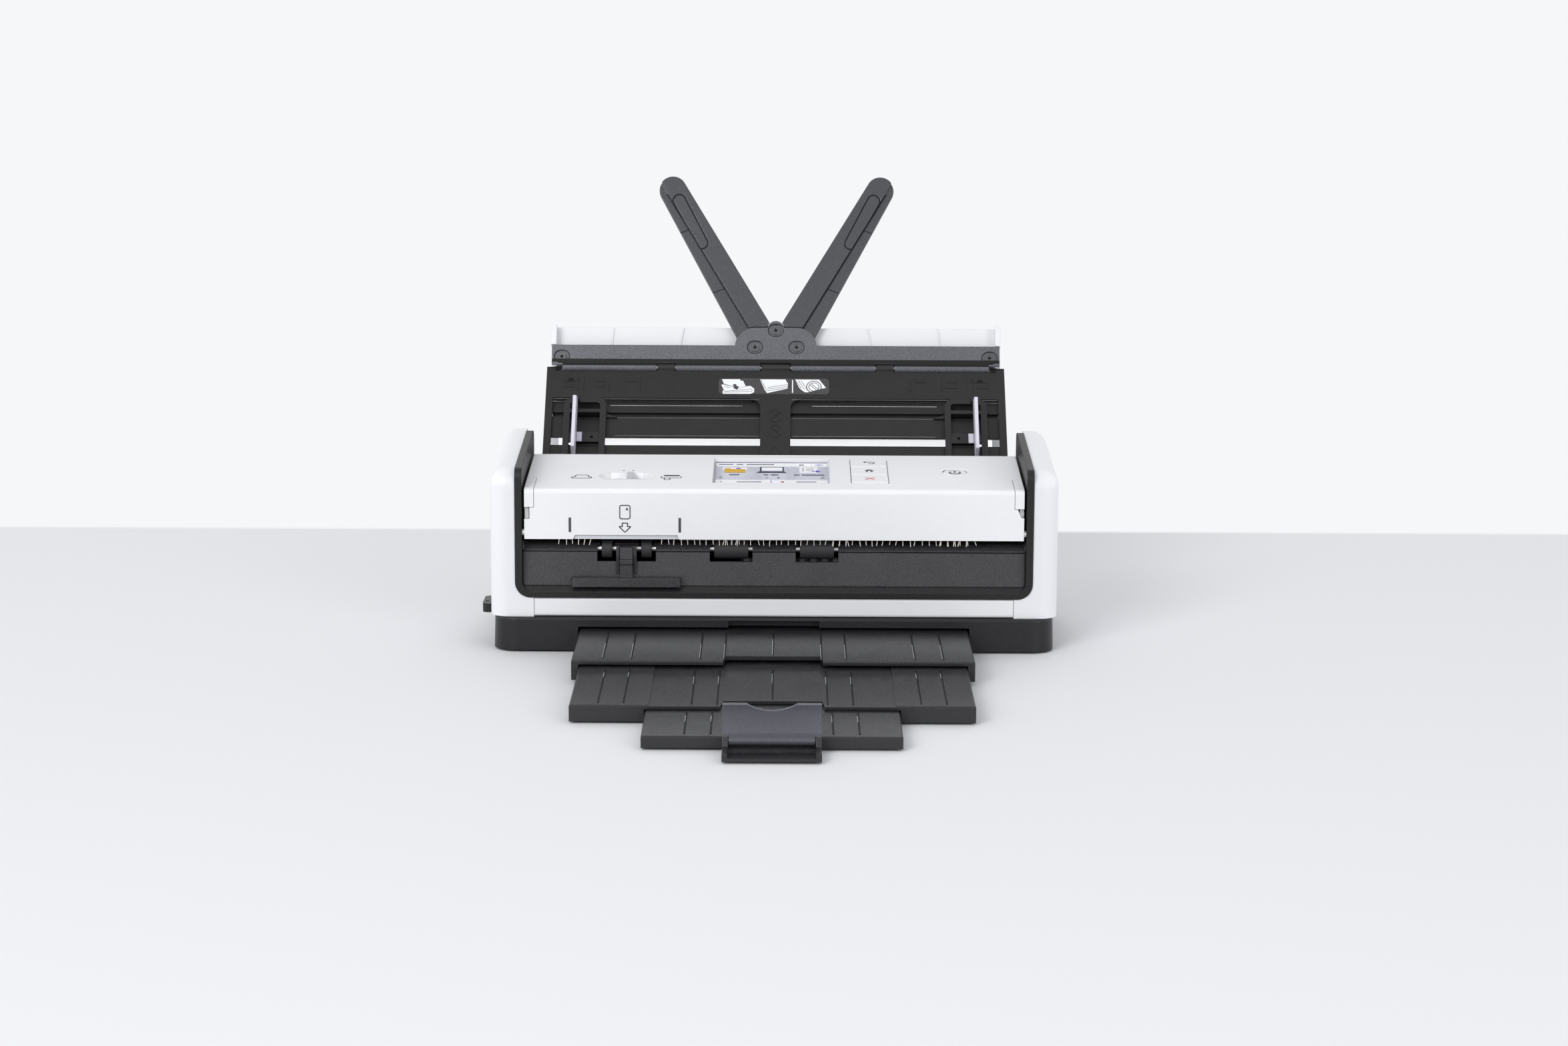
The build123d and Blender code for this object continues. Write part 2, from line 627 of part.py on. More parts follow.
# Chassis: a U in the front view, cut to the sloping top line in the side view
CHASSIS_SLOPE_TOP = sloped(BODY_FRONT_HEIGHT, SLOPE_REAR) + CHASSIS_PROUD
with BuildPart() as side_frame:
    with BuildSketch(Plane.XZ.offset(-REAR)):
        with Locations((0, CHASSIS_FLOOR_HEIGHT + OUTLINE_HEIGHT / 2)):
            RectangleRounded(CHASSIS_WIDTH, OUTLINE_HEIGHT, CHASSIS_CORNER_RADIUS)
        with Locations((0, FLOOR_TOP + OUTLINE_HEIGHT / 2)):
            RectangleRounded(2 * CHASSIS_INNER, OUTLINE_HEIGHT, CHASSIS_BEND_RADIUS, mode=Mode.SUBTRACT)
    extrude(amount=REAR - CHASSIS_FRONT)
    side_prism(
        [
            (CHASSIS_FRONT, 0),
            (REAR, 0),
            (REAR, COVER_HINGE_Z + 8),
            (SLOPE_REAR, COVER_HINGE_Z + 14),
            (SLOPE_REAR, CHASSIS_SLOPE_TOP),
            (CHASSIS_FRONT, BODY_FRONT_HEIGHT + CHASSIS_PROUD),
        ],
        (-CHASSIS_WIDTH, CHASSIS_WIDTH),
        Mode.INTERSECT,
        radius=CHASSIS_BEND_RADIUS,
        corners=(4, 5),
    )
    side_prism(
        [
            (CHASSIS_FRONT, FLOOR_TOP - 1),
            (CHASSIS_FRONT + LEDGE_DEPTH, FLOOR_TOP - 1),
            (CHASSIS_FRONT + LEDGE_DEPTH, LEDGE_TOP),
            (CHASSIS_FRONT + 2, LEDGE_TOP),
            (CHASSIS_FRONT, FLOOR_TOP),
        ],
        (-CHASSIS_INNER, CHASSIS_INNER),
    )
    for side in (-1, 1):
        wall = span(side, CHASSIS_INNER - 2, CHASSIS_HALF_WIDTH + 2)
        rod(COVER_HINGE, wall, HINGE_PIN_RADIUS + PRESS_GAP, Mode.SUBTRACT)
        rod(COVER_PIVOT, wall, COVER_PIN_RADIUS + PRESS_GAP, Mode.SUBTRACT)
        rod(EXIT_ROLLER, wall, BUSH_RADIUS + PRESS_GAP, Mode.SUBTRACT)
        rod(FEED_ROLLER, wall, BUSH_RADIUS + PRESS_GAP, Mode.SUBTRACT)
    rod(MOTOR_AXIS, (CHASSIS_INNER - 2, CHASSIS_HALF_WIDTH + 2), 3.0, Mode.SUBTRACT)
write(side_frame.part, "side_frame")

# Exit chute: the sloping dark wall under the exit slot, with roller windows
CHUTE_RIDGE_Y = FRONT + CHUTE_SET_BACK
CHUTE_FOOT_Y = FRONT + CHUTE_FOOT_SET_BACK
RAIL_OUTER = CARD_ARM_WIDTH / 2 + MOVING_GAP + CARD_RAIL_WIDTH
with BuildPart() as exit_chute:
    side_prism(
        [
            (CHUTE_FOOT_Y, LEDGE_TOP),
            (CHUTE_FOOT_Y + CHUTE_WALL, LEDGE_TOP),
            (CHUTE_RIDGE_Y + CHUTE_WALL, CHUTE_RIDGE_HEIGHT - CHUTE_WALL),
            (CHUTE_RIDGE_Y + CHUTE_WALL + 1.6, CHUTE_RIDGE_HEIGHT - 0.8),
            (CHUTE_RIDGE_Y + CHUTE_WALL + 1.0, CHUTE_RIDGE_HEIGHT),
            (CHUTE_RIDGE_Y, CHUTE_RIDGE_HEIGHT - 0.6),
        ],
        (-EXIT_HALF_WIDTH, EXIT_HALF_WIDTH),
    )
    for side in (-1, 1):
        rail_x = sorted((CARD_GUIDE_X + side * RAIL_OUTER, CARD_GUIDE_X + side * (RAIL_OUTER - CARD_RAIL_WIDTH)))
        side_prism(
            [
                (CHUTE_FOOT_Y + 0.6, CARD_LIP_BOTTOM + CARD_LIP_HEIGHT + 1),
                (CHUTE_RIDGE_Y + 1, CARD_LIP_BOTTOM + CARD_LIP_HEIGHT + 1),
                (CHUTE_RIDGE_Y + 1, CARD_PIVOT_Z + 1.6),
                (CHUTE_RIDGE_Y - 2.4, CARD_PIVOT_Z + 1.6),
                (CHUTE_RIDGE_Y - 2.4, CARD_PIVOT_Z - 3),
            ],
            rail_x,
        )
        rod((CHUTE_RIDGE_Y - 1.0, CARD_PIVOT_Z), rail_x, FLAP_PIN_RADIUS + RUNNING_GAP, Mode.SUBTRACT)
    for centre, width in EXIT_TYRES:
        half = width / 2 + TYRE_WINDOW_MARGIN
        block(
            (centre - half, centre + half),
            (FRONT, EXIT_ROLLER_Y + 10),
            (EXIT_ROLLER[1] - EXIT_TYRE_RADIUS - 0.8, CHUTE_RIDGE_HEIGHT + 5),
            Mode.SUBTRACT,
        )
    fit_between_walls()
write(exit_chute.part, "exit_chute")


def path_curve(offset):
    """Points of the paper path bend, moved towards the bend's centre by an offset."""
    radius = PATH_BEND_RADIUS - offset
    start = (BEND_CENTRE_Y + radius * math.sin(ENTRY), BEND_CENTRE_Z - radius * math.cos(ENTRY))
    middle_angle = ENTRY / 2
    middle = (
        BEND_CENTRE_Y + radius * math.sin(middle_angle),
        BEND_CENTRE_Z - radius * math.cos(middle_angle),
    )
    end = (BEND_CENTRE_Y, BEND_CENTRE_Z - radius)
    return start, middle, end


# Lower guide plate: the floor of the paper path, from the entry to the exit rollers
GUIDE_FRONT_Y = EXIT_ROLLER_Y - 1.7
with BuildPart() as lower_guide_plate:
    upper = path_curve(0)
    lower = path_curve(-GUIDE_THICKNESS)
    slide_y = GUIDE_THICKNESS * math.sin(ENTRY)
    slide_z = GUIDE_THICKNESS * math.cos(ENTRY)
    with BuildSketch(Plane.YZ.offset(-GUIDE_HALF_WIDTH)):
        with BuildLine():
            Line((PATH_ENTRY_Y, PATH_ENTRY_Z), upper[0])
            ThreePointArc(*upper)
            Line(upper[2], (EXIT_ROLLER_Y + 5.5, PATH_HEIGHT - 0.4))
            Line((EXIT_ROLLER_Y + 5.5, PATH_HEIGHT - 0.4), (GUIDE_FRONT_Y, PATH_HEIGHT - 2.3))
            Line((GUIDE_FRONT_Y, PATH_HEIGHT - 2.3), (GUIDE_FRONT_Y, PATH_HEIGHT - 2.9))
            Line((GUIDE_FRONT_Y, PATH_HEIGHT - 2.9), (EXIT_ROLLER_Y + 5.5, PATH_HEIGHT - GUIDE_THICKNESS))
            Line((EXIT_ROLLER_Y + 5.5, PATH_HEIGHT - GUIDE_THICKNESS), lower[2])
            ThreePointArc(lower[2], lower[1], lower[0])
            Line(lower[0], (PATH_ENTRY_Y + slide_y, PATH_ENTRY_Z - slide_z))
            Line((PATH_ENTRY_Y + slide_y, PATH_ENTRY_Z - slide_z), (PATH_ENTRY_Y, PATH_ENTRY_Z))
        make_face()
    extrude(amount=2 * GUIDE_HALF_WIDTH)
    for side in (-1, 1):
        flange_x = span(side, GUIDE_HALF_WIDTH - 2, GUIDE_HALF_WIDTH)
        side_prism(
            [
                (EXIT_ROLLER_Y + 8, FLOOR_TOP),
                (HOUSING_FRONT - 0.5, FLOOR_TOP),
                (HOUSING_FRONT - 0.5, PATH_ENTRY_Z - 3.5),
                (upper[0][0], upper[0][1] - 1),
                (BEND_CENTRE_Y + 8, PATH_HEIGHT + 0.4),
                (BEND_CENTRE_Y, PATH_HEIGHT - 0.5),
                (EXIT_ROLLER_Y + 8, PATH_HEIGHT - 1),
            ],
            flange_x,
        )
        flange_cut = span(side, GUIDE_HALF_WIDTH - 5, GUIDE_HALF_WIDTH + 5)
        rod(FEED_ROLLER, flange_cut, FEED_SHAFT_RADIUS + 1, Mode.SUBTRACT)
        block(
            span(side, TOP_HALF_WIDTH - TOP_SHELL_SIDE - 0.5, GUIDE_HALF_WIDTH + 5),
            (COVER_HINGE_Y - EAR_RADIUS - 1.2, COVER_HINGE_Y + 10),
            (FLOOR_TOP + 20, PATH_ENTRY_Z + 5),
            Mode.SUBTRACT,
        )
    rod(MOTOR_AXIS, (GUIDE_HALF_WIDTH - 5, GUIDE_HALF_WIDTH + 5), MOTOR_RADIUS + 0.5, Mode.SUBTRACT)
    for centre, width in EXIT_TYRES:
        half = width / 2 + 1
        window_y = (GUIDE_FRONT_Y - 1, EXIT_ROLLER_Y + EXIT_TYRE_RADIUS + 0.6)
        block((centre - half, centre + half), window_y, (PATH_HEIGHT - 6, PATH_HEIGHT + 3), Mode.SUBTRACT)
    for centre, width in FEED_TYRES:
        half = width / 2 + 1
        reach = FEED_ROLLER_RADIUS + 1
        block(
            (centre - half, centre + half),
            (FEED_ROLLER[0] - reach, FEED_ROLLER[0] + reach),
            (PATH_HEIGHT - 6, PATH_HEIGHT + 6),
            Mode.SUBTRACT,
        )
    block(
        (-GLASS_LENGTH / 2 - 0.2, GLASS_LENGTH / 2 + 0.2),
        (LOWER_SENSOR_Y - GLASS_WIDTH / 2 - 0.2, LOWER_SENSOR_Y + GLASS_WIDTH / 2 + 0.2),
        (PATH_HEIGHT - 6, PATH_HEIGHT + 3),
        Mode.SUBTRACT,
    )
    fit_between_walls()
write(lower_guide_plate.part, "lower_guide_plate")


def sensor_bar(centre_y, z):
    """Contact image sensor: a long housing with a light slit and end lugs."""
    with BuildPart() as sensor:
        half = SENSOR_LENGTH / 2
        block((-half, half), (centre_y - SENSOR_WIDTH / 2, centre_y + SENSOR_WIDTH / 2), z)
        chamfer(sensor.edges().filter_by(Axis.X), 0.6)
        for side in (-1, 1):
            block(span(side, half, half + SENSOR_LUG), (centre_y - 3, centre_y + 3), (z[0] + 3, z[0] + 6))
    return sensor.part


LOWER_GLASS_TOP = PATH_HEIGHT - 0.4
LOWER_SENSOR_TOP = PATH_HEIGHT - GUIDE_THICKNESS - FLAT_GAP
with BuildPart() as lower_scan_sensor:
    add(sensor_bar(LOWER_SENSOR_Y, (LOWER_SENSOR_TOP - SENSOR_HEIGHT, LOWER_SENSOR_TOP)))
    for side in (-1, 1):
        block(
            span(side, SENSOR_LENGTH / 2 - 8, SENSOR_LENGTH / 2),
            (LOWER_SENSOR_Y - 3, LOWER_SENSOR_Y + 3),
            (FLOOR_TOP, LOWER_SENSOR_TOP - SENSOR_HEIGHT),
        )
write(lower_scan_sensor.part, "lower_scan_sensor")

with BuildPart() as lower_sensor_glass:
    block(
        (-GLASS_LENGTH / 2, GLASS_LENGTH / 2),
        (LOWER_SENSOR_Y - GLASS_WIDTH / 2, LOWER_SENSOR_Y + GLASS_WIDTH / 2),
        (LOWER_SENSOR_TOP, LOWER_GLASS_TOP),
    )
    chamfer(lower_sensor_glass.faces().sort_by(Axis.Z)[-1].edges(), 0.3)
write(lower_sensor_glass.part, "lower_sensor_glass")


def roller_shaft(centre, radius, x):
    """Steel roller shaft with chamfered ends."""
    with BuildPart() as shaft:
        rod(centre, x, radius)
        chamfer(shaft.edges().filter_by(GeomType.CIRCLE), 0.3)
    return shaft.part


def tyre_set(centre, radius, shaft_radius, tyres):
    """Rubber tyres on one shaft, with eased rims."""
    with BuildPart() as rollers:
        for middle, width in tyres:
            rod(centre, (middle - width / 2, middle + width / 2), radius)
        chamfer(rollers.edges().filter_by(GeomType.CIRCLE), 0.3)
        for middle, width in tyres:
            rod(centre, (middle - width / 2, middle + width / 2), shaft_radius + PRESS_GAP, Mode.SUBTRACT)
    return rollers.part


def belt_pulley(centre, radius, shaft_radius):
    """Belt pulley with a hub and a flange on its outer side."""
    with BuildPart() as pulley:
        rod(centre, (PULLEY_X, PULLEY_X + PULLEY_WIDTH), radius)
        rod(centre, (PULLEY_X + PULLEY_WIDTH, PULLEY_X + PULLEY_WIDTH + 0.6), radius + 0.9)
        rod(centre, (PULLEY_X, PULLEY_X + PULLEY_WIDTH + 0.6), shaft_radius + PRESS_GAP, Mode.SUBTRACT)
    return pulley.part


SHAFT_LEFT = -CHASSIS_HALF_WIDTH - 1
SHAFT_RIGHT = PULLEY_X + PULLEY_WIDTH + 0.6
with BuildPart() as exit_roller_shaft:
    add(roller_shaft(EXIT_ROLLER, EXIT_SHAFT_RADIUS, (SHAFT_LEFT, SHAFT_RIGHT)))
write(exit_roller_shaft.part, "exit_roller_shaft")

with BuildPart() as exit_roller_tyres:
    add(tyre_set(EXIT_ROLLER, EXIT_TYRE_RADIUS, EXIT_SHAFT_RADIUS, EXIT_TYRES))
write(exit_roller_tyres.part, "exit_roller_tyres")

with BuildPart() as exit_pulley:
    add(belt_pulley(EXIT_ROLLER, EXIT_PULLEY_RADIUS, EXIT_SHAFT_RADIUS))
write(exit_pulley.part, "exit_pulley")

with BuildPart() as feed_roller_shaft:
    add(roller_shaft(FEED_ROLLER, FEED_SHAFT_RADIUS, (SHAFT_LEFT, SHAFT_RIGHT)))
write(feed_roller_shaft.part, "feed_roller_shaft")

with BuildPart() as feed_roller_tyres:
    add(tyre_set(FEED_ROLLER, FEED_ROLLER_RADIUS, FEED_SHAFT_RADIUS, FEED_TYRES))
write(feed_roller_tyres.part, "feed_roller_tyres")

with BuildPart() as feed_pulley:
    add(belt_pulley(FEED_ROLLER, FEED_PULLEY_RADIUS, FEED_SHAFT_RADIUS))
write(feed_pulley.part, "feed_pulley")

with BuildPart() as shaft_bushes:
    for side in (-1, 1):
        for centre, shaft in ((EXIT_ROLLER, EXIT_SHAFT_RADIUS), (FEED_ROLLER, FEED_SHAFT_RADIUS)):
            barrel = span(side, CHASSIS_INNER, CHASSIS_HALF_WIDTH)
            flange = span(side, CHASSIS_HALF_WIDTH, CHASSIS_HALF_WIDTH + BUSH_FLANGE_THICKNESS)
            bore = span(side, CHASSIS_INNER, CHASSIS_HALF_WIDTH + BUSH_FLANGE_THICKNESS)
            rod(centre, barrel, BUSH_RADIUS)
            rod(centre, flange, BUSH_FLANGE_RADIUS)
            rod(centre, bore, shaft + RUNNING_GAP, Mode.SUBTRACT)
write(shaft_bushes.part, "shaft_bushes")

# Motor: a can on a mounting plate, with its own pulley and shaft
with BuildPart() as drive_motor:
    can_x = (CHASSIS_INNER - 1 - MOTOR_LENGTH, CHASSIS_INNER - 1)
    rod(MOTOR_AXIS, can_x, MOTOR_RADIUS)
    fillet(drive_motor.edges().filter_by(GeomType.CIRCLE), 1.0)
    mount_z = (FLOOR_TOP + CHASSIS_BEND_RADIUS + FLAT_GAP, MOTOR_Z + MOTOR_RADIUS - 2)
    block((CHASSIS_INNER - 1, CHASSIS_INNER), (MOTOR_Y - MOTOR_RADIUS - 2, MOTOR_Y + MOTOR_RADIUS + 2), mount_z)
    rod(MOTOR_AXIS, (CHASSIS_INNER - 9, CHASSIS_INNER + 1), MOTOR_SHAFT_RADIUS + RUNNING_GAP, Mode.SUBTRACT)
write(drive_motor.part, "drive_motor")

with BuildPart() as motor_pulley:
    rod(MOTOR_AXIS, (CHASSIS_INNER - 8, SHAFT_RIGHT), MOTOR_SHAFT_RADIUS)
    rod(MOTOR_AXIS, (PULLEY_X, PULLEY_X + PULLEY_WIDTH), MOTOR_PULLEY_RADIUS)
    rod(MOTOR_AXIS, (PULLEY_X + PULLEY_WIDTH, SHAFT_RIGHT), MOTOR_PULLEY_RADIUS + 0.9)
write(motor_pulley.part, "motor_pulley")


def belt_outline(extra):
    """Taut outline around the three pulleys, an extra distance out from them."""
    with BuildSketch(Plane.YZ.offset(PULLEY_X + 0.2)) as loop:
        with Locations(EXIT_ROLLER):
            Circle(EXIT_PULLEY_RADIUS + extra)
        with Locations(FEED_ROLLER):
            Circle(FEED_PULLEY_RADIUS + extra)
        with Locations(MOTOR_AXIS):
            Circle(MOTOR_PULLEY_RADIUS + extra)
        make_hull()
    return loop.sketch


with BuildPart() as drive_belt:
    extrude(belt_outline(BELT_GAP + BELT_THICKNESS), amount=PULLEY_WIDTH - 0.4)
    extrude(belt_outline(BELT_GAP), amount=PULLEY_WIDTH - 0.4, mode=Mode.SUBTRACT)
write(drive_belt.part, "drive_belt")

# Card guide: a T that hangs on the exit chute and swings forward
CARD_PIVOT = (CHUTE_RIDGE_Y - 1.0, CARD_PIVOT_Z)
CARD_ARM_BACK = CHUTE_FOOT_Y - MOVING_GAP
with BuildPart() as card_guide:
    arm_x = (CARD_GUIDE_X - CARD_ARM_WIDTH / 2, CARD_GUIDE_X + CARD_ARM_WIDTH / 2)
    arm_front = CARD_ARM_BACK - CARD_ARM_THICKNESS
    side_prism(
        [
            (CARD_ARM_BACK, CARD_LIP_BOTTOM + 1),
            (CARD_PIVOT[0] + 0.6, CARD_PIVOT_Z - 1.2),
            (CARD_PIVOT[0] + 0.9, CARD_PIVOT_Z + 0.4),
            (CARD_PIVOT[0] - 0.4, CARD_PIVOT_Z + 1.4),
            (CARD_PIVOT[0] - 1.8, CARD_PIVOT_Z + 0.8),
            (CARD_PIVOT[0] - 2.2, CARD_PIVOT_Z - 4.8),
            (arm_front - 0.5, CARD_PIVOT_Z - 5.4),
            (arm_front - 0.5, CARD_PIVOT_Z - 7.6),
            (arm_front, CARD_PIVOT_Z - 8.2),
            (arm_front, CARD_LIP_BOTTOM + 1),
        ],
        arm_x,
    )
    pin_x = (arm_x[0] - CARD_RAIL_WIDTH, arm_x[1] + CARD_RAIL_WIDTH)
    rod((CARD_PIVOT[0] - 0.4, CARD_PIVOT_Z - 0.0), (arm_x[0], arm_x[1]), 1.0)
    rod(CARD_PIVOT, pin_x, FLAP_PIN_RADIUS)
    with BuildSketch(Plane.XY.offset(CARD_LIP_BOTTOM)):
        with Locations((CARD_GUIDE_X, CARD_ARM_BACK - CARD_LIP_DEPTH / 2)):
            RectangleRounded(CARD_LIP_WIDTH, CARD_LIP_DEPTH, 1.8)
    extrude(amount=CARD_LIP_HEIGHT)
    lip_back = (CARD_ARM_BACK - CARD_LIP_DEPTH + 1.2, CARD_ARM_BACK - CARD_ARM_THICKNESS - 0.6)
    for side in (-1, 1):
        dish_x = sorted((CARD_GUIDE_X + side * (CARD_ARM_WIDTH / 2 + 1.5), CARD_GUIDE_X + side * (CARD_LIP_WIDTH / 2 - 2.4)))
        block(dish_x, lip_back, (CARD_LIP_BOTTOM + CARD_LIP_HEIGHT - 1.2, CARD_LIP_BOTTOM + CARD_LIP_HEIGHT + 1), Mode.SUBTRACT)
write(card_guide.part, "card_guide")

# Circuit board on posts over the base, and the rear housing with its sockets
BOARD_BOTTOM = BASE_TOP + 2.2
with BuildPart() as main_board:
    block((-100, 100), (-32, 36), (BOARD_BOTTOM, BOARD_BOTTOM + 1.6))
    for side in (-1, 1):
        for post_y in (-27, 31):
            disc(Plane.XY.offset(BASE_TOP), (side * 94, post_y), 3.0, BOARD_BOTTOM - BASE_TOP)
    for chip in ((-60, 0, 24, 24, 1.6), (-20, 6, 16, 16, 1.4), (20, -8, 12, 20, 1.2), (62, 10, 30, 18, 3.0)):
        place = (chip[0], chip[1], BOARD_BOTTOM + 1.6 + chip[4] / 2)
        with Locations(place):
            Box(chip[2], chip[3], chip[4])
write(main_board.part, "main_board")

HOUSING_TOP = 58.8
JACK_X = -95.0
PORT_X = -70.0
SOCKET_Z = 40.0
with BuildPart() as rear_housing:
    half = CHASSIS_INNER - FLAT_GAP
    block((-half, half), (HOUSING_FRONT, REAR), (FLOOR_TOP, HOUSING_TOP))
    fillet(rear_housing.edges().filter_by(Axis.X).group_by(Axis.Z)[-1].sort_by(Axis.Y)[-1], 3.0)
    block(
        (-half + SHELL_WALL, half - SHELL_WALL),
        (HOUSING_FRONT - 1, REAR - SHELL_WALL),
        (FLOOR_TOP - 1, HOUSING_TOP - SHELL_WALL),
        Mode.SUBTRACT,
    )
    block((JACK_X - 5.1, JACK_X + 5.1), (REAR - 6, REAR + 1), (SOCKET_Z - 5.1, SOCKET_Z + 5.1), Mode.SUBTRACT)
    block((PORT_X - 6.2, PORT_X + 6.2), (REAR - 6, REAR + 1), (SOCKET_Z - 5.6, SOCKET_Z + 5.6), Mode.SUBTRACT)
    with Locations((30, REAR, SOCKET_Z + 2)):
        with GridLocations(6, 1, 16, 1):
            Box(2.2, 12, 16, mode=Mode.SUBTRACT)
    fit_between_walls()
write(rear_housing.part, "rear_housing")

with BuildPart() as rear_sockets:
    block((JACK_X - 5, JACK_X + 5), (HOUSING_FRONT, REAR - 0.2), (SOCKET_Z - 5, SOCKET_Z + 5))
    with BuildSketch(Plane.XZ.offset(-REAR)):
        with Locations((JACK_X, SOCKET_Z)):
            Circle(3.2)
            Circle(0.9, mode=Mode.SUBTRACT)
    extrude(amount=9.5, mode=Mode.SUBTRACT)
    block((PORT_X - 6, PORT_X + 6), (HOUSING_FRONT, REAR - 0.2), (SOCKET_Z - 5.4, SOCKET_Z + 5.4))
    block((PORT_X - 4.5, PORT_X + 4.5), (REAR - 9, REAR), (SOCKET_Z - 4.2, SOCKET_Z + 4.2), Mode.SUBTRACT)
    block((PORT_X - 2.8, PORT_X + 2.8), (REAR - 10, REAR - 1.5), (SOCKET_Z - 1.6, SOCKET_Z + 1.6))
write(rear_sockets.part, "rear_sockets")

with BuildPart() as tether_lug:
    lug_outer = BODY_WIDTH / 2 + 4.8
    block((-lug_outer, -BODY_WIDTH / 2), (-41.5, -20.5), (BASE_TOP, BASE_TOP + 4.6))
    fillet(tether_lug.edges().filter_by(Axis.Z).group_by(Axis.X)[0], 3.0)
    with Locations((-BODY_WIDTH / 2 - 2.6, -35, BASE_TOP + 2.3)):
        Cylinder(1.1, 6, mode=Mode.SUBTRACT)
write(tether_lug.part, "tether_lug")

# Front cover: shell with openings for the panel's keys, display and lever
COVER_OUTLINE = [
    (FRONT, COVER_BOTTOM),
    (FRONT, COVER_FRONT_HEIGHT),
    (COVER_REAR, sloped(COVER_FRONT_HEIGHT, COVER_REAR)),
    (COVER_REAR - 0.5, COVER_BOTTOM + 1.8),
    (COVER_REAR - 6, COVER_BOTTOM),
]
TAB_INNER = COVER_HALF_WIDTH - RELEASE_TAB_WIDTH
TAB_BOTTOM = COVER_FRONT_HEIGHT - RELEASE_TAB_DROP - 1.0
with BuildPart() as front_cover_shell:
    side_prism(COVER_OUTLINE, (-COVER_HALF_WIDTH, COVER_HALF_WIDTH), radius=COVER_CREASE_RADIUS, corners=(1, 2))
    inner_top = COVER_FRONT_HEIGHT - SHELL_WALL / math.cos(math.radians(TOP_SLOPE))
    side_prism(
        [
            (FRONT + SHELL_WALL, COVER_BOTTOM - 5),
            (FRONT + SHELL_WALL, sloped(inner_top, FRONT + SHELL_WALL)),
            (COVER_REAR - SHELL_WALL, sloped(inner_top, COVER_REAR - SHELL_WALL)),
            (COVER_REAR - SHELL_WALL - 0.4, COVER_BOTTOM - 5),
        ],
        (-COVER_HALF_WIDTH + SHELL_WALL, COVER_HALF_WIDTH - SHELL_WALL),
        Mode.SUBTRACT,
    )
    plate(
        panel_plane(SHELL_WALL + 2.6),
        (LEVER_RECESS_X - 17, LEVER_RECESS_X + 17),
        (LEVER_RECESS_T - 9.5, LEVER_RECESS_T + 9.5),
        2.7,
    )
    with BuildSketch(panel_plane(LEVER_RECESS_DEPTH)):
        with Locations((LEVER_RECESS_X, LEVER_RECESS_T)):
            SlotOverall(LEVER_RECESS_WIDTH, LEVER_RECESS_LENGTH)
    extrude(amount=LEVER_RECESS_DEPTH + 1, mode=Mode.SUBTRACT)
    plate(
        panel_plane(8),
        (LEVER_KNOB_X - LEVER_TRAVEL - 1.4, LEVER_KNOB_X + 1.4),
        (LEVER_RECESS_T - 3.3, LEVER_RECESS_T + 3.3),
        8,
        Mode.SUBTRACT,
    )
    plate(
        panel_plane(6),
        (DISPLAY_X - DISPLAY_WIDTH / 2, DISPLAY_X + DISPLAY_WIDTH / 2),
        (DISPLAY_T - DISPLAY_LENGTH / 2, DISPLAY_T + DISPLAY_LENGTH / 2),
        8,
        Mode.SUBTRACT,
    )
    plate(
        panel_plane(6),
        (KEY_X - KEY_WIDTH / 2 - MOVING_GAP, KEY_X + KEY_WIDTH / 2 + MOVING_GAP),
        (KEY_T - 1.5 * KEY_PITCH, KEY_T + 1.5 * KEY_PITCH),
        8,
        Mode.SUBTRACT,
    )
    disc(panel_plane(6), (POWER_X, POWER_T), POWER_RADIUS + MOVING_GAP, 8, Mode.SUBTRACT)
    for side in (-1, 1):
        block(
            span(side, TAB_INNER - FLAT_GAP, COVER_HALF_WIDTH + 1),
            (FRONT - 1, FRONT + RELEASE_TAB_DEPTH + FLAT_GAP),
            (TAB_BOTTOM - FLAT_GAP, COVER_FRONT_HEIGHT + 6),
            Mode.SUBTRACT,
        )
        rod(COVER_PIVOT, span(side, COVER_HALF_WIDTH - 5, COVER_HALF_WIDTH + 1), COVER_PIN_RADIUS + RUNNING_GAP, Mode.SUBTRACT)
    notch_top = TAB_BOTTOM - FLAT_GAP
    block(
        (-COVER_HALF_WIDTH - 1, -COVER_HALF_WIDTH + RELEASE_NOTCH_WIDTH),
        (FRONT - 1, FRONT + 3),
        (notch_top - RELEASE_NOTCH_HEIGHT, notch_top + 0.1),
        Mode.SUBTRACT,
    )
    with BuildSketch(Plane.XZ.offset(-FRONT - 3)):
        with BuildLine():
            Polyline(
                (COVER_HALF_WIDTH + 1, notch_top + 0.1),
                (COVER_HALF_WIDTH - 3.4, notch_top + 0.1),
                (COVER_HALF_WIDTH - 1.4, notch_top - 4.4),
                (COVER_HALF_WIDTH + 1, notch_top - 4.8),
                close=True,
            )
        make_face()
    extrude(amount=5, mode=Mode.SUBTRACT)
    with BuildSketch(Plane.XZ.offset(-FRONT - THUMB_RECESS_DEPTH)):
        with BuildLine():
            Polyline(
                (CARD_GUIDE_X - THUMB_RECESS_HALF_WIDTH, COVER_BOTTOM - 1),
                (CARD_GUIDE_X - THUMB_RECESS_HALF_WIDTH + 1.6, COVER_BOTTOM + THUMB_RECESS_HEIGHT),
                (CARD_GUIDE_X + THUMB_RECESS_HALF_WIDTH - 1.6, COVER_BOTTOM + THUMB_RECESS_HEIGHT),
                (CARD_GUIDE_X + THUMB_RECESS_HALF_WIDTH, COVER_BOTTOM - 1),
                close=True,
            )
        make_face()
    extrude(amount=5, mode=Mode.SUBTRACT)
write(front_cover_shell.part, "front_cover_shell")

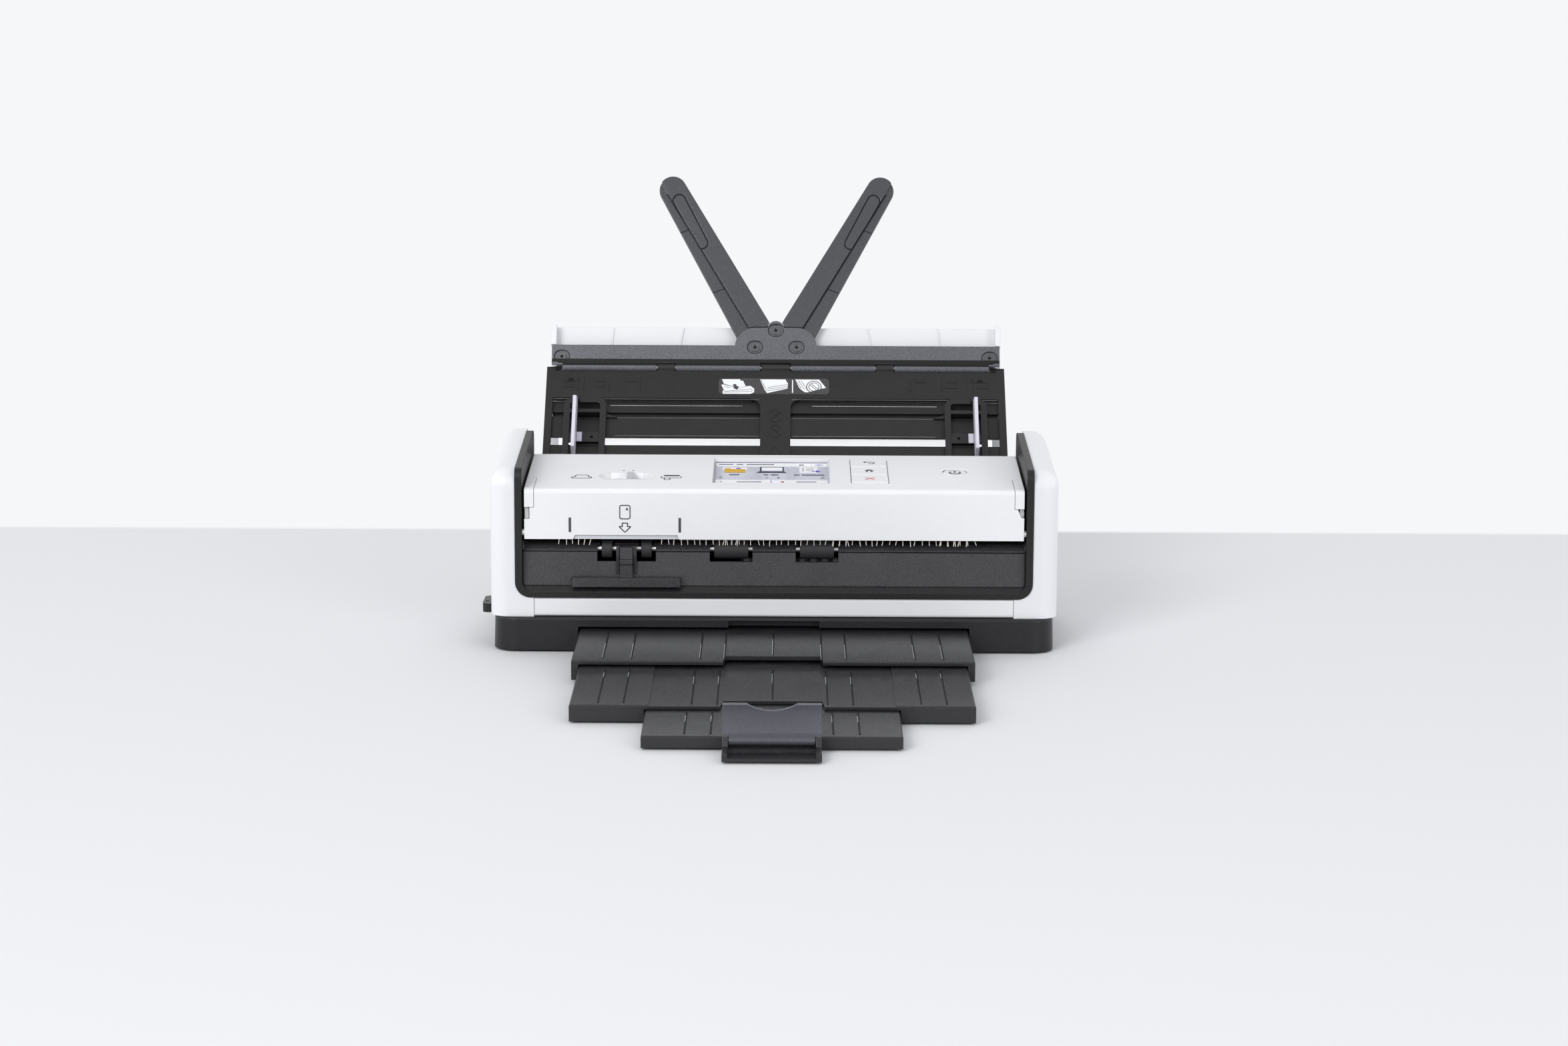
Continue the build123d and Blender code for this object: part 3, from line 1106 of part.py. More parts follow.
# Release bar: a tab at each end of the cover, joined by a bar inside it
RELEASE_BAR_Y = (FRONT + 7.6, FRONT + 11.6)
RELEASE_BAR_Z = (69.0, 73.0)
TAB_CEILING = COVER_FRONT_HEIGHT - SHELL_WALL
with BuildPart() as cover_release:
    for side in (-1, 1):
        side_prism(
            [
                (FRONT, TAB_BOTTOM),
                (FRONT, COVER_FRONT_HEIGHT),
                (FRONT + RELEASE_TAB_DEPTH, sloped(COVER_FRONT_HEIGHT, FRONT + RELEASE_TAB_DEPTH)),
                (FRONT + RELEASE_TAB_DEPTH, sloped(TAB_CEILING, FRONT + RELEASE_TAB_DEPTH)),
                (FRONT + SHELL_WALL, TAB_CEILING),
                (FRONT + SHELL_WALL, TAB_BOTTOM),
            ],
            span(side, TAB_INNER, COVER_HALF_WIDTH),
            radius=COVER_CREASE_RADIUS,
            corners=(1,),
        )
        block(
            span(side, TAB_INNER, TAB_INNER + 2),
            (RELEASE_BAR_Y[0], RELEASE_BAR_Y[1]),
            (RELEASE_BAR_Z[0], TAB_CEILING + 1),
        )
    block((-TAB_INNER - 2, TAB_INNER + 2), RELEASE_BAR_Y, RELEASE_BAR_Z)
write(cover_release.part, "cover_release")

# Upper guide plate: the roof of the paper path, with the pinch rollers' brackets
ROOF_FRONT = FRONT + 4.0
ROOF_REAR = FRONT + ROOF_DEPTH
ROOF_BOTTOM = PATH_HEIGHT + PATH_GAP
ROOF_HALF_WIDTH = COVER_HALF_WIDTH - SHELL_WALL - FLAT_GAP
PINCH_RADIUS = 2.7
PINCH_AXLE_RADIUS = 1.0
PINCH_AXLE = (EXIT_ROLLER_Y, PATH_HEIGHT + MOVING_GAP + PINCH_RADIUS)
PINCH_TYRES = [(x, min(width, 8.0)) for x, width in EXIT_TYRES]
with BuildPart() as upper_guide_plate:
    roof_arc_radius = PATH_BEND_RADIUS - PATH_GAP
    rise_rear = roof_arc_radius - math.sqrt(roof_arc_radius**2 - (ROOF_REAR - BEND_CENTRE_Y) ** 2)
    rise_mid = roof_arc_radius - math.sqrt(roof_arc_radius**2 - ((ROOF_REAR - BEND_CENTRE_Y) / 2) ** 2)
    with BuildSketch(Plane.YZ.offset(-ROOF_HALF_WIDTH)):
        with BuildLine():
            Line((ROOF_FRONT, ROOF_BOTTOM), (BEND_CENTRE_Y, ROOF_BOTTOM))
            ThreePointArc(
                (BEND_CENTRE_Y, ROOF_BOTTOM),
                ((BEND_CENTRE_Y + ROOF_REAR) / 2, ROOF_BOTTOM + rise_mid),
                (ROOF_REAR, ROOF_BOTTOM + rise_rear),
            )
            Polyline(
                (ROOF_REAR, ROOF_BOTTOM + rise_rear),
                (ROOF_REAR, ROOF_BOTTOM + 2.4),
                (ROOF_FRONT, ROOF_BOTTOM + 1.8),
                (ROOF_FRONT, ROOF_BOTTOM),
            )
        make_face()
    extrude(amount=2 * ROOF_HALF_WIDTH)
    for centre, width in PINCH_TYRES:
        for side in (-1, 1):
            bracket = centre + side * (width / 2 + 2.2)
            block(
                (bracket - 0.8, bracket + 0.8),
                (EXIT_ROLLER_Y - 2.6, EXIT_ROLLER_Y + 2.6),
                (ROOF_BOTTOM + 1, PINCH_AXLE[1] + 2.4),
            )
        half = width / 2 + 1.1
        block(
            (centre - half, centre + half),
            (EXIT_ROLLER_Y - 3.4, EXIT_ROLLER_Y + 3.4),
            (ROOF_BOTTOM - 1, ROOF_BOTTOM + 4),
            Mode.SUBTRACT,
        )
    rod(PINCH_AXLE, (-ROOF_HALF_WIDTH, ROOF_HALF_WIDTH), PINCH_AXLE_RADIUS + RUNNING_GAP, Mode.SUBTRACT)
    block(
        (-GLASS_LENGTH / 2 - 0.2, GLASS_LENGTH / 2 + 0.2),
        (UPPER_SENSOR_Y - GLASS_WIDTH / 2 - 0.2, UPPER_SENSOR_Y + GLASS_WIDTH / 2 + 0.2),
        (ROOF_BOTTOM - 1, ROOF_BOTTOM + 6),
        Mode.SUBTRACT,
    )
    block((-28.2, 28.2), (BEND_CENTRE_Y - 3.2, ROOF_REAR - 1.4), (ROOF_BOTTOM - 1, ROOF_BOTTOM + 6), Mode.SUBTRACT)
write(upper_guide_plate.part, "upper_guide_plate")

with BuildPart() as pinch_rollers:
    rod(PINCH_AXLE, (PINCH_TYRES[0][0] - 8, PINCH_TYRES[3][0] + 8), PINCH_AXLE_RADIUS)
    for centre, width in PINCH_TYRES:
        rod(PINCH_AXLE, (centre - width / 2, centre + width / 2), PINCH_RADIUS)
write(pinch_rollers.part, "pinch_rollers")

with BuildPart() as separation_pad:
    pad_low = ROOF_BOTTOM + 0.5
    block((-28, 28), (BEND_CENTRE_Y - 3, ROOF_REAR - 1.6), (pad_low, pad_low + 2.2))
    fillet(separation_pad.edges().filter_by(Axis.X).group_by(Axis.Z)[0], 0.8)
    block((-31, 31), (BEND_CENTRE_Y - 5, ROOF_REAR - 2.6), (ROOF_BOTTOM + 2.5, ROOF_BOTTOM + 5))
write(separation_pad.part, "separation_pad")

UPPER_GLASS_BOTTOM = ROOF_BOTTOM + 0.2
UPPER_SENSOR_BOTTOM = ROOF_BOTTOM + 2.2
with BuildPart() as upper_scan_sensor:
    add(sensor_bar(UPPER_SENSOR_Y, (UPPER_SENSOR_BOTTOM, UPPER_SENSOR_BOTTOM + SENSOR_HEIGHT)))
write(upper_scan_sensor.part, "upper_scan_sensor")

with BuildPart() as upper_sensor_glass:
    block(
        (-GLASS_LENGTH / 2, GLASS_LENGTH / 2),
        (UPPER_SENSOR_Y - GLASS_WIDTH / 2, UPPER_SENSOR_Y + GLASS_WIDTH / 2),
        (UPPER_GLASS_BOTTOM, UPPER_SENSOR_BOTTOM),
    )
write(upper_sensor_glass.part, "upper_sensor_glass")

with BuildPart() as brush_strip:
    brush_y = (FRONT + SHELL_WALL, FRONT + SHELL_WALL + 1.5)
    block((-COVER_HALF_WIDTH + BRUSH_LEFT_GAP, CARD_GUIDE_X - 16), brush_y, (COVER_BOTTOM + 0.4, COVER_BOTTOM + 3.4))
    block((CARD_GUIDE_X + 16, COVER_HALF_WIDTH - BRUSH_RIGHT_GAP), brush_y, (COVER_BOTTOM + 0.4, COVER_BOTTOM + 3.4))
write(brush_strip.part, "brush_strip")

# Control panel pieces
GLASS_HALF_WIDTH = DISPLAY_WIDTH / 2 + DISPLAY_SEAT
GLASS_HALF_LENGTH = DISPLAY_LENGTH / 2 + DISPLAY_SEAT
with BuildPart() as display_window:
    plate(
        panel_plane(SHELL_WALL + DISPLAY_GLASS),
        (DISPLAY_X - GLASS_HALF_WIDTH, DISPLAY_X + GLASS_HALF_WIDTH),
        (DISPLAY_T - GLASS_HALF_LENGTH, DISPLAY_T + GLASS_HALF_LENGTH),
        DISPLAY_GLASS,
    )
write(display_window.part, "display_window")

with BuildPart() as display_module:
    plate(
        panel_plane(SHELL_WALL + DISPLAY_GLASS + DISPLAY_BODY),
        (DISPLAY_X - GLASS_HALF_WIDTH, DISPLAY_X + GLASS_HALF_WIDTH),
        (DISPLAY_T - GLASS_HALF_LENGTH, DISPLAY_T + GLASS_HALF_LENGTH),
        DISPLAY_BODY,
    )
    plate(
        panel_plane(SHELL_WALL + DISPLAY_GLASS + DISPLAY_BODY + 0.6),
        (DISPLAY_X - 12, DISPLAY_X + 12),
        (DISPLAY_T - GLASS_HALF_LENGTH + 3, DISPLAY_T - GLASS_HALF_LENGTH + 9),
        0.8,
    )
write(display_module.part, "display_module")

BOARD_DEPTH = 7.4
SWITCH_TOP = 5.6
STEM_END = 4.7
with BuildPart() as control_board:
    plate(panel_plane(BOARD_DEPTH), (34, 106), (12, 68), 1.4)
    for key_x, key_t in [(KEY_X, KEY_T + i * KEY_PITCH) for i in (-1, 0, 1)] + [(POWER_X, POWER_T)]:
        plate(panel_plane(BOARD_DEPTH - 1.4), (key_x - 2.5, key_x + 2.5), (key_t - 2.5, key_t + 2.5), BOARD_DEPTH - 1.4 - SWITCH_TOP)
    for post in ((36.5, 14.5), (36.5, 66), (103, 14.5), (103, 66), (72, 40)):
        disc(panel_plane(BOARD_DEPTH - 1.4), post, 1.6, BOARD_DEPTH - 1.4 - SHELL_WALL)
write(control_board.part, "control_board")


def panel_key(number):
    """One rectangular key, with a rounded cap and a stem over its switch."""
    centre = KEY_T + number * KEY_PITCH
    with BuildPart() as key:
        with BuildSketch(panel_plane(2.4)):
            with Locations((KEY_X, centre)):
                RectangleRounded(KEY_WIDTH, KEY_LENGTH, 1.2)
        extrude(amount=2.4 + KEY_STANDOUT)
        chamfer(key.faces().sort_by(Axis.Z)[-1].edges(), 0.3)
        plate(panel_plane(STEM_END), (KEY_X - 1.6, KEY_X + 1.6), (centre - 1.6, centre + 1.6), STEM_END - 2.3)
    return key.part


with BuildPart() as key_cancel:
    add(panel_key(-1))
write(key_cancel.part, "key_cancel")

with BuildPart() as key_home:
    add(panel_key(0))
write(key_home.part, "key_home")

with BuildPart() as key_back:
    add(panel_key(1))
write(key_back.part, "key_back")

with BuildPart() as power_button:
    disc(panel_plane(2.4), (POWER_X, POWER_T), POWER_RADIUS, 2.4 + KEY_STANDOUT)
    chamfer(power_button.faces().sort_by(Axis.Z)[-1].edges(), 0.4)
    dish_radius = 40.0
    dish_plane = panel_plane(0)
    dish_centre = dish_plane.from_local_coords((POWER_X, POWER_T, dish_radius - 0.2))
    with Locations(dish_centre):
        Sphere(dish_radius, mode=Mode.SUBTRACT)
    disc(panel_plane(STEM_END), (POWER_X, POWER_T), 1.8, STEM_END - 2.3)
write(power_button.part, "power_button")

with BuildPart() as path_lever:
    with BuildSketch(panel_plane(LEVER_RECESS_DEPTH - 0.2)):
        with Locations((LEVER_KNOB_X, LEVER_RECESS_T)):
            RectangleRounded(LEVER_KNOB_WIDTH, LEVER_KNOB_LENGTH, 0.8)
    extrude(amount=LEVER_RECESS_DEPTH + 0.6)
    knob_half = LEVER_KNOB_WIDTH / 2 - 0.6
    lever_x = (LEVER_KNOB_X - knob_half, LEVER_KNOB_X + knob_half)
    plate(panel_plane(SHELL_WALL + 4.4), lever_x, (LEVER_RECESS_T - 3, LEVER_RECESS_T + 3), 4)
    plate(
        panel_plane(SHELL_WALL + 4.4),
        (LEVER_KNOB_X - 3.5, LEVER_KNOB_X + 3.5),
        (LEVER_RECESS_T - 6, LEVER_RECESS_T + 6),
        1.5,
    )
write(path_lever.part, "path_lever")

# Top cover shell: top panel, rear wall with hinge ears, and a lip with side walls
LEAN = math.radians(COVER_LEAN)


def cover_point(n, u):
    """Side-view point of the open top cover, n in front of and u up from the hinge line."""
    return (
        CHUTE_HINGE_Y - n * math.cos(LEAN) + u * math.sin(LEAN),
        CHUTE_HINGE_Z + n * math.sin(LEAN) + u * math.cos(LEAN),
    )


CORNER_IN = cover_point(-TOP_SHELL_BACK, -TOP_SHELL_DROP)
LIP_IN = cover_point(-TOP_SHELL_BACK, TOP_SHELL_REACH)
LIP_OUT = cover_point(-TOP_SHELL_BACK - TOP_SHELL_WALL, TOP_SHELL_REACH)
rear_run = Vector(CORNER_IN[0] - COVER_HINGE_Y, CORNER_IN[1] - COVER_HINGE_Z, 0)
REAR_DIR = rear_run.normalized()
REAR_OUT = Vector(REAR_DIR.Y, -REAR_DIR.X, 0) * TOP_SHELL_WALL
REAR_START = EAR_RADIUS + 0.3
rear_in = (COVER_HINGE_Y + REAR_DIR.X * REAR_START, COVER_HINGE_Z + REAR_DIR.Y * REAR_START)
rear_out = (rear_in[0] + REAR_OUT.X, rear_in[1] + REAR_OUT.Y)
lean_back = cover_point(-TOP_SHELL_BACK - TOP_SHELL_WALL, -TOP_SHELL_DROP)
corner_out = (lean_back[0] + REAR_OUT.X, lean_back[1] + REAR_OUT.Y)
with BuildPart() as top_cover_shell:
    side_prism(
        [rear_in, CORNER_IN, LIP_IN, LIP_OUT, corner_out, rear_out],
        (-TOP_HALF_WIDTH, TOP_HALF_WIDTH),
        radius=3.0,
        corners=(4,),
    )
    for side in (-1, 1):
        ear_x = span(side, TOP_HALF_WIDTH - TOP_SHELL_SIDE, TOP_HALF_WIDTH)
        with BuildSketch(Plane.YZ.offset(ear_x[0])) as ear:
            with Locations(COVER_HINGE):
                Circle(EAR_RADIUS)
            reach = rear_run.length * 0.45
            with Locations((COVER_HINGE_Y + REAR_DIR.X * reach, COVER_HINGE_Z + REAR_DIR.Y * reach - 0.6)):
                Circle(1.4)
            make_hull()
        extrude(ear.sketch, amount=TOP_SHELL_SIDE)
        rod(COVER_HINGE, ear_x, HINGE_PIN_RADIUS + RUNNING_GAP, Mode.SUBTRACT)
        plate(
            cover_plane(-TOP_SHELL_BACK - 0.5),
            ear_x,
            (BAR_HIGH + 0.4, TOP_SHELL_REACH),
            TOP_SHELL_BACK + 0.5 + TOP_SHELL_SIDE_HEIGHT,
        )
        for radius in (41.2, 79.0):
            with BuildSketch(cover_plane(-TOP_SHELL_BACK - 0.1)) as rib:
                with Locations((side * ARM_PIVOT_X, ARM_PIVOT_U)):
                    Circle(radius + LIP_RIB_WIDTH / 2)
                    Circle(radius - LIP_RIB_WIDTH / 2, mode=Mode.SUBTRACT)
                rib_x = span(side, 30, TOP_HALF_WIDTH - 8)
                with Locations(((rib_x[0] + rib_x[1]) / 2, (BAR_HIGH + TOP_SHELL_REACH) / 2)):
                    Rectangle(rib_x[1] - rib_x[0], TOP_SHELL_REACH - BAR_HIGH - 0.8, mode=Mode.INTERSECT)
            extrude(rib.sketch, amount=LIP_RIB_HEIGHT + 0.1)
write(top_cover_shell.part, "top_cover_shell")

with BuildPart() as hinge_pins:
    for side in (-1, 1):
        rod(COVER_HINGE, span(side, TOP_HALF_WIDTH - TOP_SHELL_SIDE, CHASSIS_HALF_WIDTH), HINGE_PIN_RADIUS)
        cover_wall = COVER_HALF_WIDTH - SHELL_WALL + 0.1
        rod(COVER_PIVOT, span(side, cover_wall, CHASSIS_HALF_WIDTH), COVER_PIN_RADIUS)
write(hinge_pins.part, "hinge_pins")

# Support bar with its hub: a front plate, a sole under it, and hinge barrels
PLATE_BACK = BAR_FRONT - BAR_PLATE
BARREL_SPANS = [
    (CENTRE_KNUCKLE_WIDTH / 2 + KNUCKLE_GAP, SIDE_KNUCKLE_X - SIDE_KNUCKLE_WIDTH / 2 - KNUCKLE_GAP),
    (SIDE_KNUCKLE_X + SIDE_KNUCKLE_WIDTH / 2 + KNUCKLE_GAP, BAR_HALF_WIDTH - 6),
]
KNUCKLE_SPANS = [
    (-CENTRE_KNUCKLE_WIDTH / 2, CENTRE_KNUCKLE_WIDTH / 2),
    (SIDE_KNUCKLE_X - SIDE_KNUCKLE_WIDTH / 2, SIDE_KNUCKLE_X + SIDE_KNUCKLE_WIDTH / 2),
    (-SIDE_KNUCKLE_X - SIDE_KNUCKLE_WIDTH / 2, -SIDE_KNUCKLE_X + SIDE_KNUCKLE_WIDTH / 2),
]


def hub_outline(margin):
    """Sketch of the hub's outline on the cover's plane, grown by a margin."""
    with BuildSketch(cover_plane(PLATE_BACK)) as hub:
        with Locations((-ARM_PIVOT_X, ARM_PIVOT_U), (ARM_PIVOT_X, ARM_PIVOT_U)):
            Circle(HUB_HALF_WIDTH - ARM_PIVOT_X + margin)
        with Locations((0, (BAR_HIGH + HUB_TOP) / 2)):
            Rectangle(2 * ARM_PIVOT_X, HUB_TOP - BAR_HIGH + 2 * margin)
        with Locations((0, HUB_TAB_TOP - HUB_TAB_HALF_WIDTH)):
            Circle(HUB_TAB_HALF_WIDTH + margin)
    return hub.sketch


BAR_SCREWS = [(-BAR_SCREW_X, BAR_SCREW_U), (BAR_SCREW_X, BAR_SCREW_U)]
HUB_SCREWS = [(-ARM_PIVOT_X, ARM_PIVOT_U), (ARM_PIVOT_X, ARM_PIVOT_U), (0, HUB_SCREW_U)]
with BuildPart() as support_bar:
    plate(cover_plane(PLATE_BACK), (-BAR_HALF_WIDTH, BAR_HALF_WIDTH), (BAR_LOW, BAR_HIGH), BAR_PLATE)
    extrude(hub_outline(0), amount=BAR_PLATE)
    sole_half = TOP_HALF_WIDTH - TOP_SHELL_SIDE - FLAT_GAP
    plate(cover_plane(-TOP_SHELL_BACK), (-sole_half, sole_half), (BAR_LOW, BAR_LOW + BAR_SOLE), TOP_SHELL_BACK + PLATE_BACK)
    for side in (-1, 1):
        for low, high in BARREL_SPANS:
            rod(CHUTE_HINGE, span(side, low, high), BARREL_RADIUS)
    for low, high in KNUCKLE_SPANS:
        rod(CHUTE_HINGE, (low - KNUCKLE_GAP, high + KNUCKLE_GAP), BARREL_RADIUS + 0.5, Mode.SUBTRACT)
    rod(CHUTE_HINGE, (-BAR_HALF_WIDTH, BAR_HALF_WIDTH), CHUTE_PIN_RADIUS + PRESS_GAP, Mode.SUBTRACT)
    for screw in HUB_SCREWS[:2]:
        disc(cover_plane(-TOP_SHELL_BACK), screw, ARM_BOSS_RADIUS, TOP_SHELL_BACK + PLATE_BACK)
    disc(cover_plane(-TOP_SHELL_BACK), HUB_SCREWS[2], SCREW_HEAD_RADIUS + 0.4, TOP_SHELL_BACK + PLATE_BACK)
    for screw in BAR_SCREWS:
        disc(cover_plane(-TOP_SHELL_BACK), screw, SCREW_HEAD_RADIUS + 0.7, TOP_SHELL_BACK + PLATE_BACK)
    for screw in HUB_SCREWS + BAR_SCREWS:
        disc(cover_plane(-3.2), screw, SCREW_SHANK_RADIUS + PRESS_GAP, 6, Mode.SUBTRACT)
        with BuildSketch(cover_plane(BAR_FRONT - SCREW_RECESS_DEPTH)):
            with Locations(screw):
                SlotOverall(SCREW_RECESS_LENGTH, SCREW_RECESS_WIDTH)
        extrude(amount=2, mode=Mode.SUBTRACT)
write(support_bar.part, "support_bar")

with BuildPart() as support_screws:
    for screw in HUB_SCREWS + BAR_SCREWS:
        disc(cover_plane(-3), screw, SCREW_SHANK_RADIUS, 3 + BAR_FRONT - SCREW_RECESS_DEPTH)
        disc(cover_plane(BAR_FRONT - SCREW_RECESS_DEPTH), screw, SCREW_HEAD_RADIUS, SCREW_RECESS_DEPTH - 0.1)
        disc(cover_plane(BAR_FRONT - SCREW_RECESS_DEPTH + 0.3), screw, 0.9, 1, Mode.SUBTRACT)
write(support_screws.part, "support_screws")

with BuildPart() as chute_hinge_pin:
    rod(CHUTE_HINGE, (-BAR_HALF_WIDTH + 6, BAR_HALF_WIDTH - 6), CHUTE_PIN_RADIUS)
write(chute_hinge_pin.part, "chute_hinge_pin")

# Support arms: a thin rail that turns behind the hub, and a thick slab in front of it
RAIL_BACK = PLATE_BACK - MOVING_GAP - ARM_RAIL_THICKNESS
arm_turn = math.radians(ARM_ANGLE)


def arm_plane(height):
    """Plane of the right arm: X from its pivot to its tip, Y to its inner edge."""
    base = cover_plane(height)
    origin = base.from_local_coords((ARM_PIVOT_X, ARM_PIVOT_U, 0))
    along = base.from_local_coords((ARM_PIVOT_X + math.sin(arm_turn), ARM_PIVOT_U + math.cos(arm_turn), 0)) - origin
    return Plane(origin=origin, x_dir=along, z_dir=base.z_dir)


with BuildPart() as right_support_arm:
    with BuildSketch(arm_plane(RAIL_BACK)):
        Circle(ARM_RING_RADIUS)
        with BuildLine():
            Polyline(
                (0, -ARM_ROOT_OUTER),
                (ARM_LENGTH, -ARM_TIP_RADIUS),
                (ARM_LENGTH, ARM_TIP_RADIUS),
                (ARM_ROOT_START, ARM_ROOT_INNER),
                (0, ARM_RING_RADIUS),
                close=True,
            )
        make_face()
        with Locations((ARM_LENGTH, 0)):
            Circle(ARM_TIP_RADIUS)
    extrude(amount=ARM_RAIL_THICKNESS)
    with BuildSketch(arm_plane(RAIL_BACK + ARM_RAIL_THICKNESS)):
        with BuildLine():
            Polyline(
                (ARM_ROOT_START - 4, ARM_STEP_ROOT),
                (ARM_LENGTH, ARM_STEP_TIP),
                (ARM_LENGTH, ARM_TIP_RADIUS),
                (ARM_ROOT_START, ARM_ROOT_INNER),
                (ARM_ROOT_START - 4, ARM_ROOT_INNER),
                close=True,
            )
        make_face()
        with BuildLine():
            tip_angle = math.asin(-ARM_STEP_TIP / ARM_TIP_RADIUS)
            tip_end = (ARM_LENGTH + ARM_TIP_RADIUS * math.cos(tip_angle), ARM_STEP_TIP)
            ThreePointArc((ARM_LENGTH, ARM_TIP_RADIUS), (ARM_LENGTH + ARM_TIP_RADIUS, 0), tip_end)
            Polyline(tip_end, (ARM_LENGTH - 1, ARM_STEP_TIP), (ARM_LENGTH - 1, ARM_TIP_RADIUS), (ARM_LENGTH, ARM_TIP_RADIUS))
        make_face()
    extrude(amount=BAR_FRONT - RAIL_BACK - ARM_RAIL_THICKNESS)
    extrude(hub_outline(0.4), amount=-MOVING_GAP, mode=Mode.SUBTRACT)
    extrude(hub_outline(0.4), amount=BAR_PLATE + 1, mode=Mode.SUBTRACT)
    front_plane = arm_plane(BAR_FRONT)
    with BuildSketch(arm_plane(BAR_FRONT - GRIP_DEPTH)):
        with Locations((ARM_LENGTH + ARM_TIP_RADIUS - GRIP_TIP_MARGIN - GRIP_LENGTH / 2, 0.4)):
            SlotOverall(GRIP_LENGTH, GRIP_WIDTH)
            SlotOverall(GRIP_LENGTH - 1.4, GRIP_WIDTH - 1.4, mode=Mode.SUBTRACT)
    extrude(amount=2, mode=Mode.SUBTRACT)
    with BuildSketch(arm_plane(RAIL_BACK - 1)):
        Circle(ARM_BOSS_RADIUS + RUNNING_GAP)
    extrude(amount=8, mode=Mode.SUBTRACT)
write(right_support_arm.part, "right_support_arm")

with BuildPart() as left_support_arm:
    mirror(right_support_arm.part, about=Plane.YZ)
write(left_support_arm.part, "left_support_arm")

# Input chute: a plate with two windows, crossed by recessed bars, and hinge knuckles
CHUTE_SLAB = CHUTE_FRONT + CHUTE_BACK
WINDOW_BARS = [(23.0, 30.5, 2.4, 1.4), (33.6, 47.3, 2.0, 1.2), (53.6, 72.0, 0.8, 1.0)]
WINDOW_OUTER = CHUTE_HALF_WIDTH - CHUTE_RAIL_WIDTH
with BuildPart() as input_chute:
    top_t = -BARREL_RADIUS - KNUCKLE_GAP
    plate(chute_plane(-CHUTE_BACK), (-CHUTE_HALF_WIDTH, CHUTE_HALF_WIDTH), (-CHUTE_LENGTH, top_t), CHUTE_SLAB)
    plate(
        chute_plane(-CHUTE_DEEP_BACK),
        (-CHUTE_HALF_WIDTH, CHUTE_HALF_WIDTH),
        (-50, top_t),
        CHUTE_DEEP_BACK,
    )
    for side in (-1, 1):
        with BuildSketch(chute_plane(-5)):
            with BuildLine():
                Polyline(
                    (side * CHUTE_STRUT_HALF_WIDTH, -CHUTE_BAND),
                    (side * WINDOW_OUTER, -CHUTE_BAND),
                    (side * WINDOW_OUTER, -CHUTE_LENGTH + 3),
                    (side * CHUTE_STRUT_HALF_WIDTH, -CHUTE_LENGTH + 3),
                    close=True,
                )
            window = make_face()
            by_strut = window.vertices().sort_by_distance(
                chute_plane(-5).from_local_coords((side * CHUTE_STRUT_HALF_WIDTH, -CHUTE_BAND, 0))
            )
            fillet(by_strut[0], CHUTE_STRUT_RADIUS)
        extrude(amount=10, mode=Mode.SUBTRACT)
        post_x = span(side, CHUTE_HALF_WIDTH - CHUTE_POST_WIDTH, CHUTE_HALF_WIDTH)
        plate(chute_plane(-CHUTE_BACK), post_x, (top_t - 1, -CHUTE_POST_GAP), CHUTE_SLAB)
        for low, high, back, thickness in WINDOW_BARS:
            plate(chute_plane(-back), span(side, CHUTE_STRUT_HALF_WIDTH - 1, WINDOW_OUTER + 1), (-high, -low), thickness)
    for low, high in KNUCKLE_SPANS:
        rod(CHUTE_HINGE, (low, high), BARREL_RADIUS - 0.2)
        plate(chute_plane(-CHUTE_BACK), (low, high), (top_t - 1, 0), CHUTE_SLAB)
    rod(CHUTE_HINGE, (-CHUTE_HALF_WIDTH, CHUTE_HALF_WIDTH), CHUTE_PIN_RADIUS + RUNNING_GAP, Mode.SUBTRACT)
write(input_chute.part, "input_chute")

